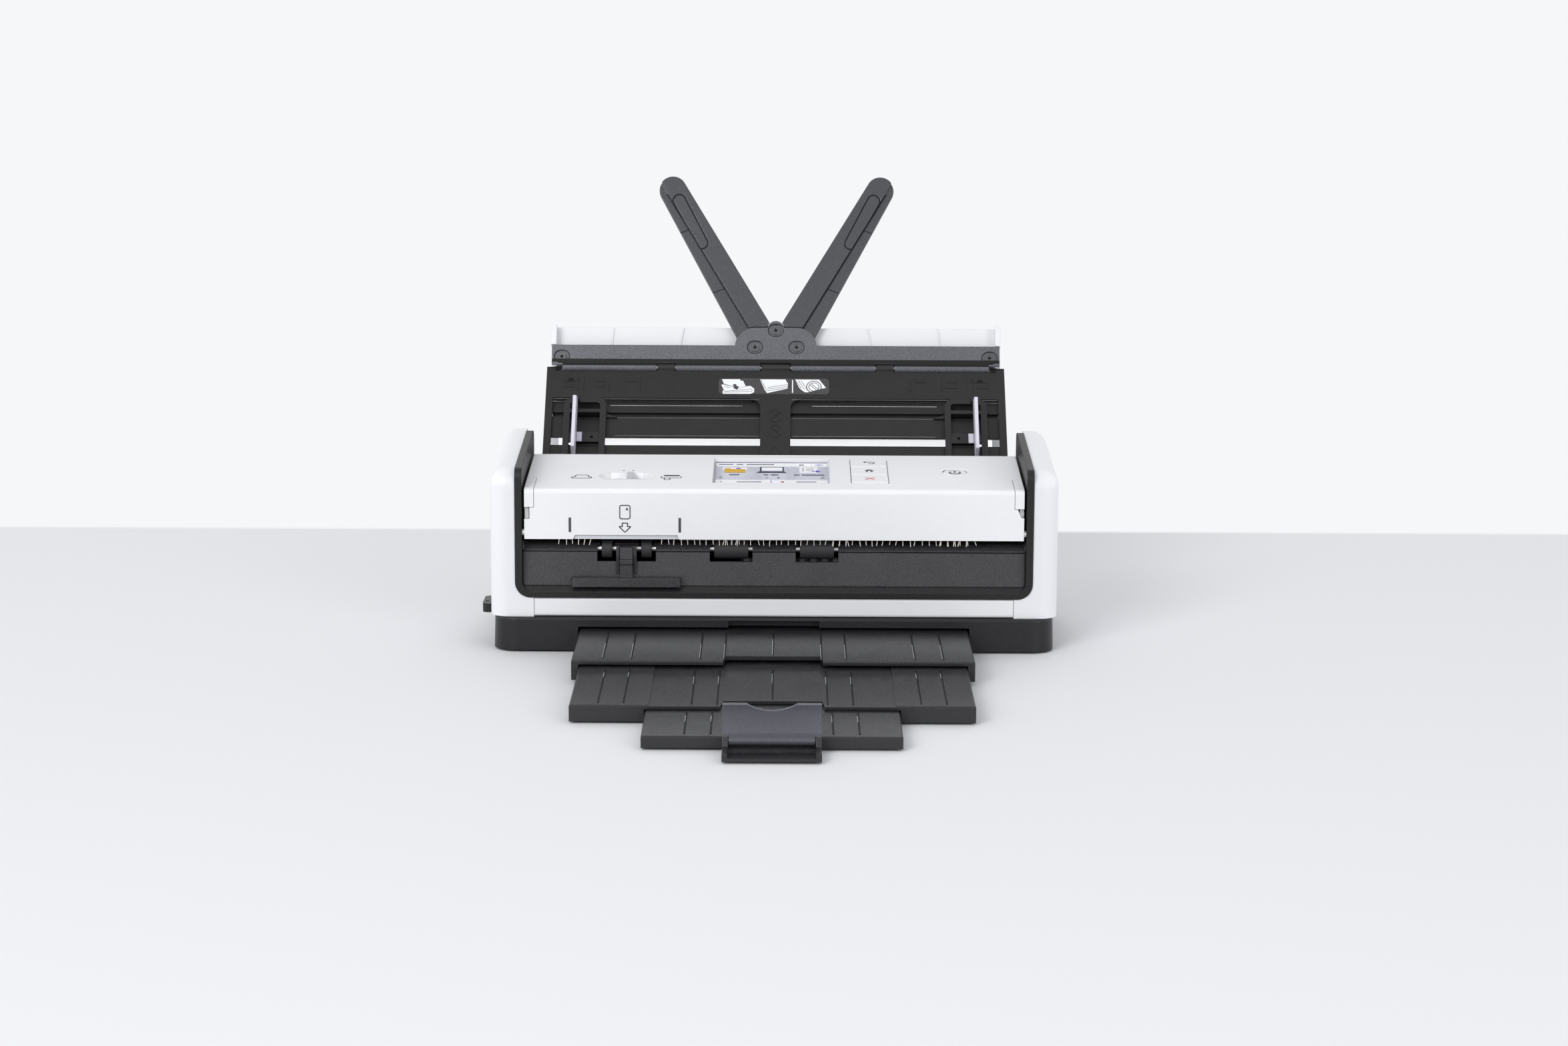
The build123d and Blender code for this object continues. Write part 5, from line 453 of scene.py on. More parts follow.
class Look(Enum):
    """Every finish on the scanner, painted highlights and painted shade included."""

    WHITE = Finish(
        "white_shell_plastic", srgb(216, 217, 220), roughness=0.46, spread=0.05, grain_mm=0.5,
        depth_mm=0.012, speckle=0.012, mottle=0.008, edge_mm=0.4,
    )
    PANEL = Finish(
        "panel_plastic", srgb(222, 223, 225), roughness=0.52, spread=0.05, grain_mm=0.45,
        depth_mm=0.02, speckle=0.022, mottle=0.01, edge_mm=0.5,
    )
    KEY = Finish(
        "key_plastic", srgb(226, 227, 229), roughness=0.42, spread=0.04, grain_mm=0.5,
        depth_mm=0.01, speckle=0.012, mottle=0.006, edge_mm=0.3,
    )
    CHASSIS = Finish(
        "chassis_plastic", srgb(26, 26, 27), roughness=0.44, spread=0.1, grain_mm=0.5,
        depth_mm=0.05, speckle=0.4, mottle=0.06, dust=0.02, edge_mm=0.6, specular=0.3,
    )
    BASE = Finish(
        "base_plastic", srgb(24, 24, 27), roughness=0.4, spread=0.08, grain_mm=0.6, depth_mm=0.04,
        speckle=0.24, mottle=0.05, dust=0.02, edge_mm=0.6, specular=0.35,
    )
    EXIT = Finish(
        "exit_chute_plastic", srgb(50, 49, 52), roughness=0.36, spread=0.12, grain_mm=0.45,
        depth_mm=0.07, speckle=0.5, mottle=0.12, dust=0.05, edge_mm=0.8,
    )
    CHUTE = Finish(
        "input_chute_plastic", srgb(20, 18, 18), roughness=0.5, spread=0.08, grain_mm=0.6,
        depth_mm=0.04, speckle=0.3, mottle=0.06, dust=0.02, edge_mm=0.4, specular=0.42,
    )
    GUIDE = Finish(
        "document_guide_plastic", srgb(20, 20, 22), roughness=0.4, spread=0.08, grain_mm=0.6,
        depth_mm=0.03, speckle=0.24, mottle=0.05, edge_mm=0.5, specular=0.45,
    )
    BAR = Finish(
        "support_bar_plastic", srgb(76, 78, 85), roughness=0.32, spread=0.08, grain_mm=0.45,
        depth_mm=0.05, speckle=0.34, mottle=0.06, dust=0.02, edge_mm=0.4, specular=0.75,
    )
    ARM = Finish(
        "support_arm_plastic", srgb(44, 46, 51), roughness=0.3, spread=0.06, grain_mm=0.5,
        depth_mm=0.04, speckle=0.22, mottle=0.06, dust=0.02, edge_mm=0.7, specular=0.75,
    )
    TRAY = Finish(
        "tray_plastic", srgb(32, 32, 35), roughness=0.32, spread=0.08, grain_mm=0.5, depth_mm=0.03,
        speckle=0.24, mottle=0.05, dust=0.03, edge_mm=0.45, specular=0.5,
    )
    STOPPER = Finish(
        "stopper_plastic", srgb(76, 77, 84), roughness=0.3, spread=0.06, grain_mm=0.8,
        depth_mm=0.01, speckle=0.04, mottle=0.08, edge_mm=0.4,
    )
    FLAP = Finish(
        "flap_plastic", srgb(204, 202, 214), roughness=0.4, spread=0.05, grain_mm=0.8,
        depth_mm=0.01, speckle=0.02, mottle=0.03, edge_mm=0.3,
    )
    RUBBER = Finish(
        "roller_rubber", srgb(40, 40, 42), roughness=0.7, spread=0.08, grain_mm=0.4, depth_mm=0.04,
        speckle=0.12, mottle=0.05, edge_mm=0.2,
    )
    FOOT = Finish(
        "foot_rubber", srgb(34, 34, 35), roughness=0.8, spread=0.08, grain_mm=0.5, depth_mm=0.04,
        speckle=0.1, mottle=0.05, edge_mm=0.2,
    )
    PAD = Finish(
        "separation_pad_rubber", srgb(92, 70, 52), roughness=0.75, spread=0.06, grain_mm=0.5,
        depth_mm=0.05, speckle=0.12, mottle=0.06, edge_mm=0.2,
    )
    STEEL = Finish(
        "ground_steel", (0.78, 0.77, 0.76), roughness=0.4, spread=0.06, grain_mm=0.9,
        depth_mm=0.006, speckle=0.04, mottle=0.03, metallic=1.0, edge_mm=0.1,
    )
    SCREW = Finish(
        "black_screw_steel", (0.1, 0.1, 0.105), roughness=0.36, spread=0.08, grain_mm=0.5,
        depth_mm=0.01, speckle=0.1, mottle=0.05, metallic=0.8, edge_mm=0.1,
    )
    MOTOR = Finish(
        "zinc_motor_case", (0.42, 0.42, 0.43), roughness=0.35, spread=0.1, grain_mm=3.0,
        depth_mm=0.01, speckle=0.12, mottle=0.12, metallic=1.0,
    )
    ACETAL = Finish(
        "acetal_plastic", srgb(222, 220, 208), roughness=0.36, spread=0.05, grain_mm=0.8,
        depth_mm=0.01, speckle=0.03, mottle=0.02,
    )
    BOARD = Finish(
        "board_varnish", srgb(22, 82, 48), roughness=0.4, spread=0.06, grain_mm=1.2, depth_mm=0.03,
        speckle=0.16, mottle=0.05, coat=0.4,
    )
    SENSOR = Finish(
        "sensor_plastic", srgb(28, 28, 30), roughness=0.4, spread=0.05, grain_mm=0.6,
        depth_mm=0.02, speckle=0.08, mottle=0.03,
    )
    GLASS = Finish(
        "sensor_glass", (0.8, 0.86, 0.85), roughness=0.05, spread=0.02, grain_mm=2.0, depth_mm=0.0,
        speckle=0.01, mottle=0.0, transmission=1.0, edge_mm=0.0,
    )
    SCREEN = Finish(
        "display_glass", srgb(208, 209, 222), roughness=0.2, spread=0.03, grain_mm=2.0,
        depth_mm=0.0, speckle=0.015, mottle=0.03, coat=0.3, edge_mm=0.1,
    )
    MODULE = Finish(
        "display_body", srgb(44, 44, 46), roughness=0.5, spread=0.05, grain_mm=0.6, depth_mm=0.02,
        speckle=0.08, mottle=0.03,
    )
    SOCKET = Finish(
        "socket_plastic", srgb(26, 26, 27), roughness=0.3, spread=0.05, grain_mm=0.6,
        depth_mm=0.01, speckle=0.06, mottle=0.02,
    )
    BRISTLE = Finish(
        "bristle_fibre", srgb(224, 220, 212), roughness=0.4, spread=0.08, grain_mm=0.3,
        depth_mm=0.01, speckle=0.16, mottle=0.1, edge_mm=0.0,
    )
    # Dark ink of the printed symbols, also used as painted shade on the power button's rim.
    INK = ink("dark_ink_and_painted_shade", srgb(60, 61, 66), roughness=0.5, spread=0.05, speckle=0.08, mottle=0.03)
    PALE_INK = ink("pale_ink", srgb(226, 228, 230))
    # Grey of the status lamp, also used as painted shade along the selector recess's front rim and
    # in the thumb recess.
    SHADE_INK = ink("grey_shade", srgb(196, 197, 203))
    RED_INK = ink("red_ink", srgb(188, 62, 66), roughness=0.5, speckle=0.04)
    YELLOW_INK = pixels("yellow_pixels", srgb(216, 170, 42))
    BLUE_INK = pixels("blue_pixels", srgb(82, 88, 196))
    NAVY_INK = pixels("navy_pixels", srgb(58, 62, 84))
    # White pixels of the display, also used as painted light on the selector recess's wall and
    # round the power button.
    WHITE_PIXELS_AND_LIGHT = pixels("white_pixels_and_painted_light", srgb(242, 242, 246), speckle=0.01, mottle=0.01)
    # Painted glints on the tray grooves' edges and on the chute's bars.
    GLINT = Finish(
        "painted_glint", srgb(172, 174, 178), roughness=0.3, spread=0.06, grain_mm=0.5, depth_mm=0.01,
        speckle=0.2, mottle=0.3, edge_mm=0.0,
    )
    CARD = Finish(
        "card_guide_plastic", srgb(44, 44, 47), roughness=0.32, spread=0.08, grain_mm=0.5,
        depth_mm=0.04, speckle=0.3, mottle=0.06, dust=0.03, edge_mm=0.7, specular=0.6,
    )
    # Painted highlights on the chute's window edge and bar ledges.
    EDGE = Finish(
        "lit_edge", srgb(104, 104, 108), roughness=0.35, spread=0.05, grain_mm=0.5, depth_mm=0.01,
        speckle=0.2, mottle=0.2, edge_mm=0.0,
    )
    # Painted shade on the display's left wall and on the power button's rim.
    RIM_SHADE = ink("recess_shade", srgb(168, 169, 174))
    KNOB = Finish(
        "selector_knob_plastic", srgb(184, 184, 189), roughness=0.42, spread=0.05, grain_mm=0.5,
        depth_mm=0.01, speckle=0.02, mottle=0.01, edge_mm=0.3,
    )
    # Painted shade: the bar's lower lip, the screws' recess edges, the arms' grip grooves and rail
    # gaps.
    LIP = Finish(
        "painted_dark_shade", srgb(14, 14, 16), roughness=0.5, spread=0.08, grain_mm=0.5,
        depth_mm=0.05, speckle=0.3, mottle=0.08, edge_mm=0.2, specular=0.25,
    )
    # Painted shade in the tray grooves, the screws' crosses and the chute's corner wells.
    GROOVE = Finish(
        "groove_shade", srgb(10, 10, 11), roughness=0.6, spread=0.05, grain_mm=0.5, depth_mm=0.01,
        speckle=0.1, mottle=0.05, edge_mm=0.0, specular=0.2,
    )
    LINER = Finish(
        "cover_liner_plastic", srgb(224, 225, 227), roughness=0.55, spread=0.05, grain_mm=0.5,
        depth_mm=0.012, speckle=0.012, mottle=0.01, edge_mm=0.0,
    )
    LABEL = Finish(
        "label_film", srgb(58, 56, 57), roughness=0.3, spread=0.04, grain_mm=0.6, depth_mm=0.004,
        speckle=0.05, mottle=0.02, edge_mm=0.0,
    )


NODE_LOOKS: dict[Look, tuple[str, ...]] = {
    Look.WHITE: ("left_side_shell", "right_side_shell", "lower_strips", "top_cover_shell"),
    Look.PANEL: ("front_cover_shell", "cover_release"),
    Look.KEY: ("key_cancel", "key_home", "key_back", "power_button"),
    Look.KNOB: ("path_lever",),
    Look.CHASSIS: ("side_frame",),
    Look.BASE: ("base_frame", "base_bottom_covers", "tether_lug", "rear_housing"),
    Look.EXIT: ("exit_chute", "lower_guide_plate", "upper_guide_plate"),
    Look.CARD: ("card_guide",),
    Look.CHUTE: ("input_chute",),
    Look.GUIDE: ("left_document_guide", "right_document_guide"),
    Look.BAR: ("support_bar",),
    Look.ARM: ("left_support_arm", "right_support_arm"),
    Look.TRAY: ("tray_stage_1", "tray_stage_2", "tray_stage_3"),
    Look.STOPPER: ("tray_stopper",),
    Look.FLAP: ("left_guide_flap", "right_guide_flap"),
    Look.RUBBER: ("exit_roller_tyres", "feed_roller_tyres", "pinch_rollers", "drive_belt"),
    Look.FOOT: ("rubber_feet",),
    Look.PAD: ("separation_pad",),
    Look.STEEL: ("exit_roller_shaft", "feed_roller_shaft", "hinge_pins", "chute_hinge_pin"),
    Look.SCREW: ("support_screws", "base_screws"),
    Look.MOTOR: ("drive_motor",),
    Look.ACETAL: ("exit_pulley", "feed_pulley", "motor_pulley", "shaft_bushes"),
    Look.BOARD: ("main_board", "control_board"),
    Look.SENSOR: ("lower_scan_sensor", "upper_scan_sensor"),
    Look.GLASS: ("lower_sensor_glass", "upper_sensor_glass"),
    Look.SCREEN: ("display_window",),
    Look.MODULE: ("display_module",),
    Look.SOCKET: ("rear_sockets", "brush_strip"),
}


class Wardrobe:
    """Builds each finish once and dresses pieces with it."""

    def __init__(self) -> None:
        """Builds the shared groups."""
        self.effects = Effects()
        self.built: dict[Look, bpy.types.Material] = {}

    def material(self, look: Look) -> bpy.types.Material:
        """Gives the material of a look, built when it is first asked for.

        Args:
            look: The finish.

        Returns:
            Its material.
        """
        if look not in self.built:
            self.built[look] = look.value.build(self.effects)
        return self.built[look]

    def dress(self, piece: bpy.types.Object, look: Look) -> None:
        """Gives a piece one finish all over.

        Args:
            piece: The piece.
            look: Its finish.
        """
        if not piece.material_slots:
            piece.data.materials.append(None)
        for slot in piece.material_slots:
            slot.material = self.material(look)


@dataclass(frozen=True)
class Face:
    """A flat place on the scanner: X across, along its slope, and out of its surface.

    Attributes:
        origin: A point on it, in millimetres.
        tilt: Angle in degrees that its outward normal leans from straight up towards the front.
    """

    origin: tuple[float, float, float]
    tilt: float

    def matrix(self, height: float = 0.0) -> Matrix:
        """Places a drawing made flat in millimetres on this face.

        Args:
            height: Distance above the face, in millimetres.

        Returns:
            The matrix from the drawing to the row frame, in metres.
        """
        turn = Matrix.Rotation(math.radians(self.tilt), 4, "X")
        place = Matrix.Translation(Vector(self.origin) * MM)
        return place @ turn @ Matrix.Translation((0, 0, height * MM)) @ Matrix.Scale(MM, 4)


# Flat places on the scanner, and the rear wall of the selector's recess.
PANEL = Face((0.0, -51.5, 84.4), 4.4)
COVER_FRONT = Face((0.0, -51.5, 0.0), 90.0)
CHUTE = Face((0.0, 98.5, 126.6), 44.0)
COVER = Face((0.0, 98.5, 126.6), 68.0)
RECESS_WALL = Face((0.0, -15.93, 87.14), 94.4)


# Roundness of drawn circles and arcs, and how close two corners are when they become one.
CIRCLE_SEGMENTS = 24
FULL_TURN = 360.0
ARC_STEP = 12.0
LEAST_ARC_STEPS = 4
WELD_MM = 1e-4


@dataclass
class Drawing:
    """Flat shapes drawn in millimetres on one face and raised by a film's thickness.

    Attributes:
        name: The piece's name.
        face: Where it lies.
        body: The moving body that it rides on.
        look: Its finish.
        height: Where the film starts above the face, in millimetres.
        thickness: The film's thickness, in millimetres.
        mesh: The shapes drawn so far.
    """

    name: str
    face: Face
    body: str
    look: Look
    height: float = 0.01
    thickness: float = 0.05
    mesh: bmesh.types.BMesh = field(default_factory=bmesh.new)

    def bar(
        self, x: float, t: float, width: float, length: float, turn: float = 0.0
    ) -> "Drawing":
        """Draws a filled bar.

        Args:
            x: Its middle across.
            t: Its middle along the slope.
            width: Its size across.
            length: Its size along.
            turn: Degrees that it is turned.

        Returns:
            The drawing itself.
        """
        place = Matrix.Translation((x, t, 0)) @ Matrix.Rotation(math.radians(turn), 4, "Z")
        size = Matrix.Diagonal((width, length, 1, 1))
        bmesh.ops.create_grid(
            self.mesh, x_segments=1, y_segments=1, size=0.5, matrix=place @ size
        )
        return self

    def pair(self, x: float, t: float, width: float, length: float) -> "Drawing":
        """Draws a bar on the left and its mirror image on the right.

        Args:
            x: Distance of each bar's middle from the scanner's middle.
            t: Their middle along the slope.
            width: Their size across.
            length: Their size along.

        Returns:
            The drawing itself.
        """
        for side in SIDES:
            self.bar(side * x, t, width, length)
        return self

    def dot(self, x: float, t: float, radius: float) -> "Drawing":
        """Draws a filled circle.

        Args:
            x: Its middle across.
            t: Its middle along the slope.
            radius: Its radius.

        Returns:
            The drawing itself.
        """
        place = Matrix.Translation((x, t, 0))
        bmesh.ops.create_circle(
            self.mesh, cap_ends=True, radius=radius, segments=CIRCLE_SEGMENTS, matrix=place
        )
        return self

    def polygon(self, points: Iterable[Point]) -> "Drawing":
        """Draws a filled outline.

        Args:
            points: Its corners, across and along the slope.

        Returns:
            The drawing itself.
        """
        self.mesh.faces.new([self.mesh.verts.new((x, t, 0)) for x, t in points])
        return self

    def arc(
        self,
        x: float,
        t: float,
        radius: float,
        line: float,
        start: float = 0.0,
        sweep: float = FULL_TURN,
    ) -> "Drawing":
        """Draws part of a ring by spinning its section.

        Args:
            x: Centre across.
            t: Centre along.
            radius: Middle of the line.
            line: Width of the line.
            start: Start angle in degrees from +X.
            sweep: Angle that it covers.

        Returns:
            The drawing itself.
        """
        angle = math.radians(start)
        ray = Vector((math.cos(angle), math.sin(angle), 0))
        centre = Vector((x, t, 0))
        inner = self.mesh.verts.new(centre + ray * (radius - line / 2))
        outer = self.mesh.verts.new(centre + ray * (radius + line / 2))
        edge = self.mesh.edges.new((inner, outer))
        bmesh.ops.spin(
            self.mesh,
            geom=[inner, outer, edge],
            cent=centre,
            axis=(0, 0, 1),
            angle=math.radians(sweep),
            steps=max(LEAST_ARC_STEPS, int(abs(sweep) / ARC_STEP)),
            use_merge=abs(sweep) >= FULL_TURN,
        )
        return self

    def obround(
        self, x: float, t: float, width: float, length: float, line: float, radius: float
    ) -> "Drawing":
        """Draws a rounded rectangle's outline with bars and quarter rings.

        Args:
            x: Its middle across.
            t: Its middle along the slope.
            width: Its size across.
            length: Its size along.
            line: Width of the line.
            radius: Outer radius of its corners.

        Returns:
            The drawing itself.
        """
        for side in SIDES:
            self.bar(x + side * (width - line) / 2, t, line, length - 2 * radius)
            self.bar(x, t + side * (length - line) / 2, width - 2 * radius, line)
        for across, along, start in ((1, 1, 0), (-1, 1, 90), (-1, -1, 180), (1, -1, 270)):
            centre_x = x + across * (width / 2 - radius)
            centre_t = t + along * (length / 2 - radius)
            self.arc(centre_x, centre_t, radius - line / 2, line, start, 90)
        return self

    def finish(self, wardrobe: Wardrobe) -> bpy.types.Object:
        """Raises the film, places it and rides it on its body.

        Args:
            wardrobe: Dresses it.

        Returns:
            The finished piece.
        """
        bmesh.ops.remove_doubles(self.mesh, verts=self.mesh.verts, dist=WELD_MM)
        bmesh.ops.recalc_face_normals(self.mesh, faces=self.mesh.faces)
        for face in self.mesh.faces:
            if face.normal.z < 0:
                face.normal_flip()
        raise_faces(self.mesh, list(self.mesh.faces), (0, 0, self.thickness))
        bmesh.ops.recalc_face_normals(self.mesh, faces=self.mesh.faces)
        self.mesh.transform(self.face.matrix(self.height))
        return settle(self.name, self.mesh, self.body, self.look, wardrobe)


def raise_faces(
    mesh: bmesh.types.BMesh,
    faces: list[bmesh.types.BMFace],
    way: tuple[float, float, float],
) -> None:
    """Pulls flat faces out into closed solids.

    Args:
        mesh: The mesh that holds them.
        faces: The faces.
        way: How far and which way the solids reach.
    """
    raised = bmesh.ops.extrude_face_region(mesh, geom=faces, use_keep_orig=True)
    lifted = [item for item in raised["geom"] if isinstance(item, bmesh.types.BMVert)]
    bmesh.ops.translate(mesh, verts=lifted, vec=way)


def prism(mesh: bmesh.types.BMesh, outline: Sequence[Point], spans: Iterable[Span]) -> None:
    """Adds a straight strip of one outline over each stretch across the scanner.

    Args:
        mesh: Where to add it.
        outline: The outline's corners, along the face and out of it.
        spans: Start and end of each stretch.
    """
    for low, high in spans:
        end = mesh.faces.new([mesh.verts.new((low, along, out)) for along, out in outline])
        raise_faces(mesh, [end], (high - low, 0, 0))
    bmesh.ops.recalc_face_normals(mesh, faces=mesh.faces)


def settle(
    name: str, mesh: bmesh.types.BMesh, body: str, look: Look, wardrobe: Wardrobe
) -> bpy.types.Object:
    """Turns a finished bmesh into a piece at the origin that rides on a body.

    Args:
        name: The piece's name.
        mesh: Its shape, in the row frame.
        body: The body that carries it.
        look: Its finish.
        wardrobe: Dresses it.

    Returns:
        The piece.
    """
    data = bpy.data.meshes.new(name)
    mesh.to_mesh(data)
    mesh.free()
    piece = bpy.data.objects.new(name, data)
    bpy.context.scene.collection.objects.link(piece)
    wardrobe.dress(piece, look)
    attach(piece, body)
    log.info("%s rides on %s", name, body)
    return piece


def strip(
    name: str,
    outline: Sequence[Point],
    spans: Iterable[Span],
    place: Matrix,
    body: str,
    look: Look,
    wardrobe: Wardrobe,
) -> None:
    """Makes a piece of straight strips that share an outline.

    Args:
        name: The piece's name.
        outline: The outline's corners, along the face and out of it, in millimetres.
        spans: Start and end of each strip across the scanner.
        place: From millimetres on the face to the row frame.
        body: The body that carries it.
        look: Its finish.
        wardrobe: Dresses it.
    """
    mesh = bmesh.new()
    prism(mesh, outline, spans)
    mesh.transform(place)
    settle(name, mesh, body, look, wardrobe)


def both_sides(inner: float, outer: float) -> tuple[Span, Span]:
    """Mirrored stretches across the scanner, the left one first.

    Args:
        inner: Their end nearer the middle.
        outer: Their end further out.

    Returns:
        The left and the right stretch, each from low to high.
    """
    return ((-outer, -inner), (inner, outer))


# The display's picture, from 0 to 1 across and down: boxes by their edges, shapes by their corners.
DISPLAY_PALE_AREAS: tuple[Box, ...] = (
    (0.0, 0.85, 0.489, 1.0), (0.504, 0.85, 1.0, 1.0), (0.726, 0.03, 0.851, 0.18),
    (0.868, 0.03, 0.993, 0.18), (0.409, 0.24, 0.596, 0.39), (0.749, 0.22, 0.915, 0.5),
    (0.057, 0.25, 0.277, 0.37),
)
DISPLAY_DARK_EDGES: tuple[Box, ...] = (
    (0.394, 0.215, 0.409, 0.42), (0.596, 0.215, 0.61, 0.42), (0.409, 0.215, 0.596, 0.24),
    (0.0, -0.006, 1.0, 0.022),
)
DISPLAY_KEYBOARD: tuple[Point, ...] = ((0.362, 0.51), (0.636, 0.51), (0.61, 0.43), (0.39, 0.43))
DISPLAY_PAGE_ROWS = (0.27, 0.33, 0.39)
DISPLAY_WORDS: tuple[Box, ...] = (
    (0.02, 0.08, 0.15, 0.12), (0.18, 0.08, 0.24, 0.12), (0.27, 0.08, 0.52, 0.12),
    (0.12, 0.585, 0.21, 0.625), (0.43, 0.585, 0.47, 0.625), (0.49, 0.585, 0.56, 0.625),
    (0.7, 0.585, 0.75, 0.625), (0.77, 0.585, 0.97, 0.625), (0.19, 0.93, 0.41, 0.96),
    (0.72, 0.93, 0.9, 0.96), (0.45, 0.72, 0.46, 0.76), (0.55, 0.72, 0.57, 0.76),
    (0.745, 0.09, 0.79, 0.14),
)
DISPLAY_FOLDER: tuple[Box, ...] = ((0.074, 0.33, 0.26, 0.5), (0.074, 0.29, 0.13, 0.34))
DISPLAY_ARROW: tuple[Point, ...] = ((0.9, 0.37), (0.9, 0.48), (0.94, 0.425))


@dataclass
class DisplayPicture:
    """The display's plain menu: a folder, a computer and a page, with bars for its words, and a
    painted shade on the display's left wall.

    Places in the picture go from 0 to 1, across from its left edge and down from its rear edge.

    Attributes:
        left: Left edge of the picture across the panel, in millimetres.
        right: Right edge.
        front: Front edge along the panel.
        rear: Rear edge.
        height: Height of the glass over the panel's plane.
        clearance: Gap between the glass and the first layer.
        layer_pitch: Height from layer to layer.
        film: Thickness of a layer.
    """

    left: float = -30.6
    right: float = 27.5
    front: float = 23.2
    rear: float = 67.6
    height: float = -2.2
    clearance: float = 0.04
    layer_pitch: float = 0.03
    film: float = 0.02

    def build(self, wardrobe: Wardrobe) -> None:
        """Draws every layer of the picture.

        Args:
            wardrobe: Dresses the layers.
        """
        self._filled("display_pale_areas", Look.WHITE_PIXELS_AND_LIGHT, 0, DISPLAY_PALE_AREAS, wardrobe)
        self._dark_lines(wardrobe)
        self._filled("display_folder", Look.YELLOW_INK, 2, DISPLAY_FOLDER, wardrobe)
        self._blue_marks(wardrobe)
        # Painted shade on the display's left wall, beside the picture.
        walls = self._layer("display_left_wall_shade", Look.RIM_SHADE, 0)
        walls.bar(self.left - 1.3, (self.front + self.rear) / 2, 2.2, self.rear - self.front)
        walls.finish(wardrobe)
        self._filled("display_header", Look.PALE_INK, -1, ((0.0, 0.02, 1.0, 0.19),), wardrobe)
        lock = ((0.585, 0.915, 0.61, 0.975),)
        self._filled("display_red_mark", Look.RED_INK, 2, lock, wardrobe)

    def _place(self, across: float, down: float) -> Point:
        """Panel position of a place in the picture."""
        x = self.left + across * (self.right - self.left)
        return (x, self.rear - down * (self.rear - self.front))

    def _layer(self, name: str, look: Look, level: int) -> Drawing:
        """Starts a layer of the picture.

        Args:
            name: The piece's name.
            look: Its finish.
            level: Its place in the stack, from -1 on the glass to 2 on top.

        Returns:
            The empty drawing.
        """
        height = self.height + self.clearance + level * self.layer_pitch
        return Drawing(name, PANEL, "front_cover", look, height, self.film)

    def _areas(self, layer: Drawing, boxes: Iterable[Box]) -> None:
        """Fills boxes, each given as its left, top, right and bottom edge.

        Args:
            layer: Where to draw them.
            boxes: The boxes.
        """
        for left, top, right, bottom in boxes:
            x_low, t_high = self._place(left, top)
            x_high, t_low = self._place(right, bottom)
            middle_x, middle_t = (x_low + x_high) / 2, (t_low + t_high) / 2
            layer.bar(middle_x, middle_t, x_high - x_low, t_high - t_low)

    def _filled(
        self, name: str, look: Look, level: int, boxes: Iterable[Box], wardrobe: Wardrobe
    ) -> None:
        """Makes a layer of boxes alone.

        Args:
            name: The piece's name.
            look: Its finish.
            level: Its place in the stack, from -1 on the glass to 2 on top.
            boxes: The boxes.
            wardrobe: Dresses it.
        """
        layer = self._layer(name, look, level)
        self._areas(layer, boxes)
        layer.finish(wardrobe)

    def _dark_lines(self, wardrobe: Wardrobe) -> None:
        """Draws the computer's outline, the page's rows, the words, two arrow heads and a plus.

        Args:
            wardrobe: Dresses what it makes.
        """
        dark = self._layer("display_dark_lines", Look.NAVY_INK, 1)
        self._areas(dark, DISPLAY_DARK_EDGES)
        dark.polygon([self._place(*corner) for corner in DISPLAY_KEYBOARD])
        for row in DISPLAY_PAGE_ROWS:
            self._areas(dark, ((0.775, row, 0.79, row + 0.025), (0.81, row, 0.88, row + 0.012)))
        self._areas(dark, DISPLAY_WORDS)
        for across, lean in ((0.045, 1), (0.955, -1)):
            x, t = self._place(across, 0.74)
            dark.bar(x, t + 0.9, 2.3, 0.35, lean * 50)
            dark.bar(x, t - 0.9, 2.3, 0.35, -lean * 50)
        x, t = self._place(0.05, 0.94)
        dark.bar(x, t, 1.6, 0.5).bar(x, t, 0.5, 1.6)
        dark.finish(wardrobe)

    def _blue_marks(self, wardrobe: Wardrobe) -> None:
        """Draws the page's arrow, three waves and a dot on the folder.

        Args:
            wardrobe: Dresses what it makes.
        """
        blue = self._layer("display_blue_marks", Look.BLUE_INK, 2)
        self._areas(blue, ((0.86, 0.415, 0.91, 0.44),))
        blue.polygon([self._place(*corner) for corner in DISPLAY_ARROW])
        wave_x, wave_t = self._place(0.928, 0.16)
        for radius in (1.0, 2.0, 3.0):
            blue.arc(wave_x, wave_t, radius, 0.45, 40, 100)
        blue.dot(*self._place(0.2, 0.3), 1.3)
        blue.finish(wardrobe)


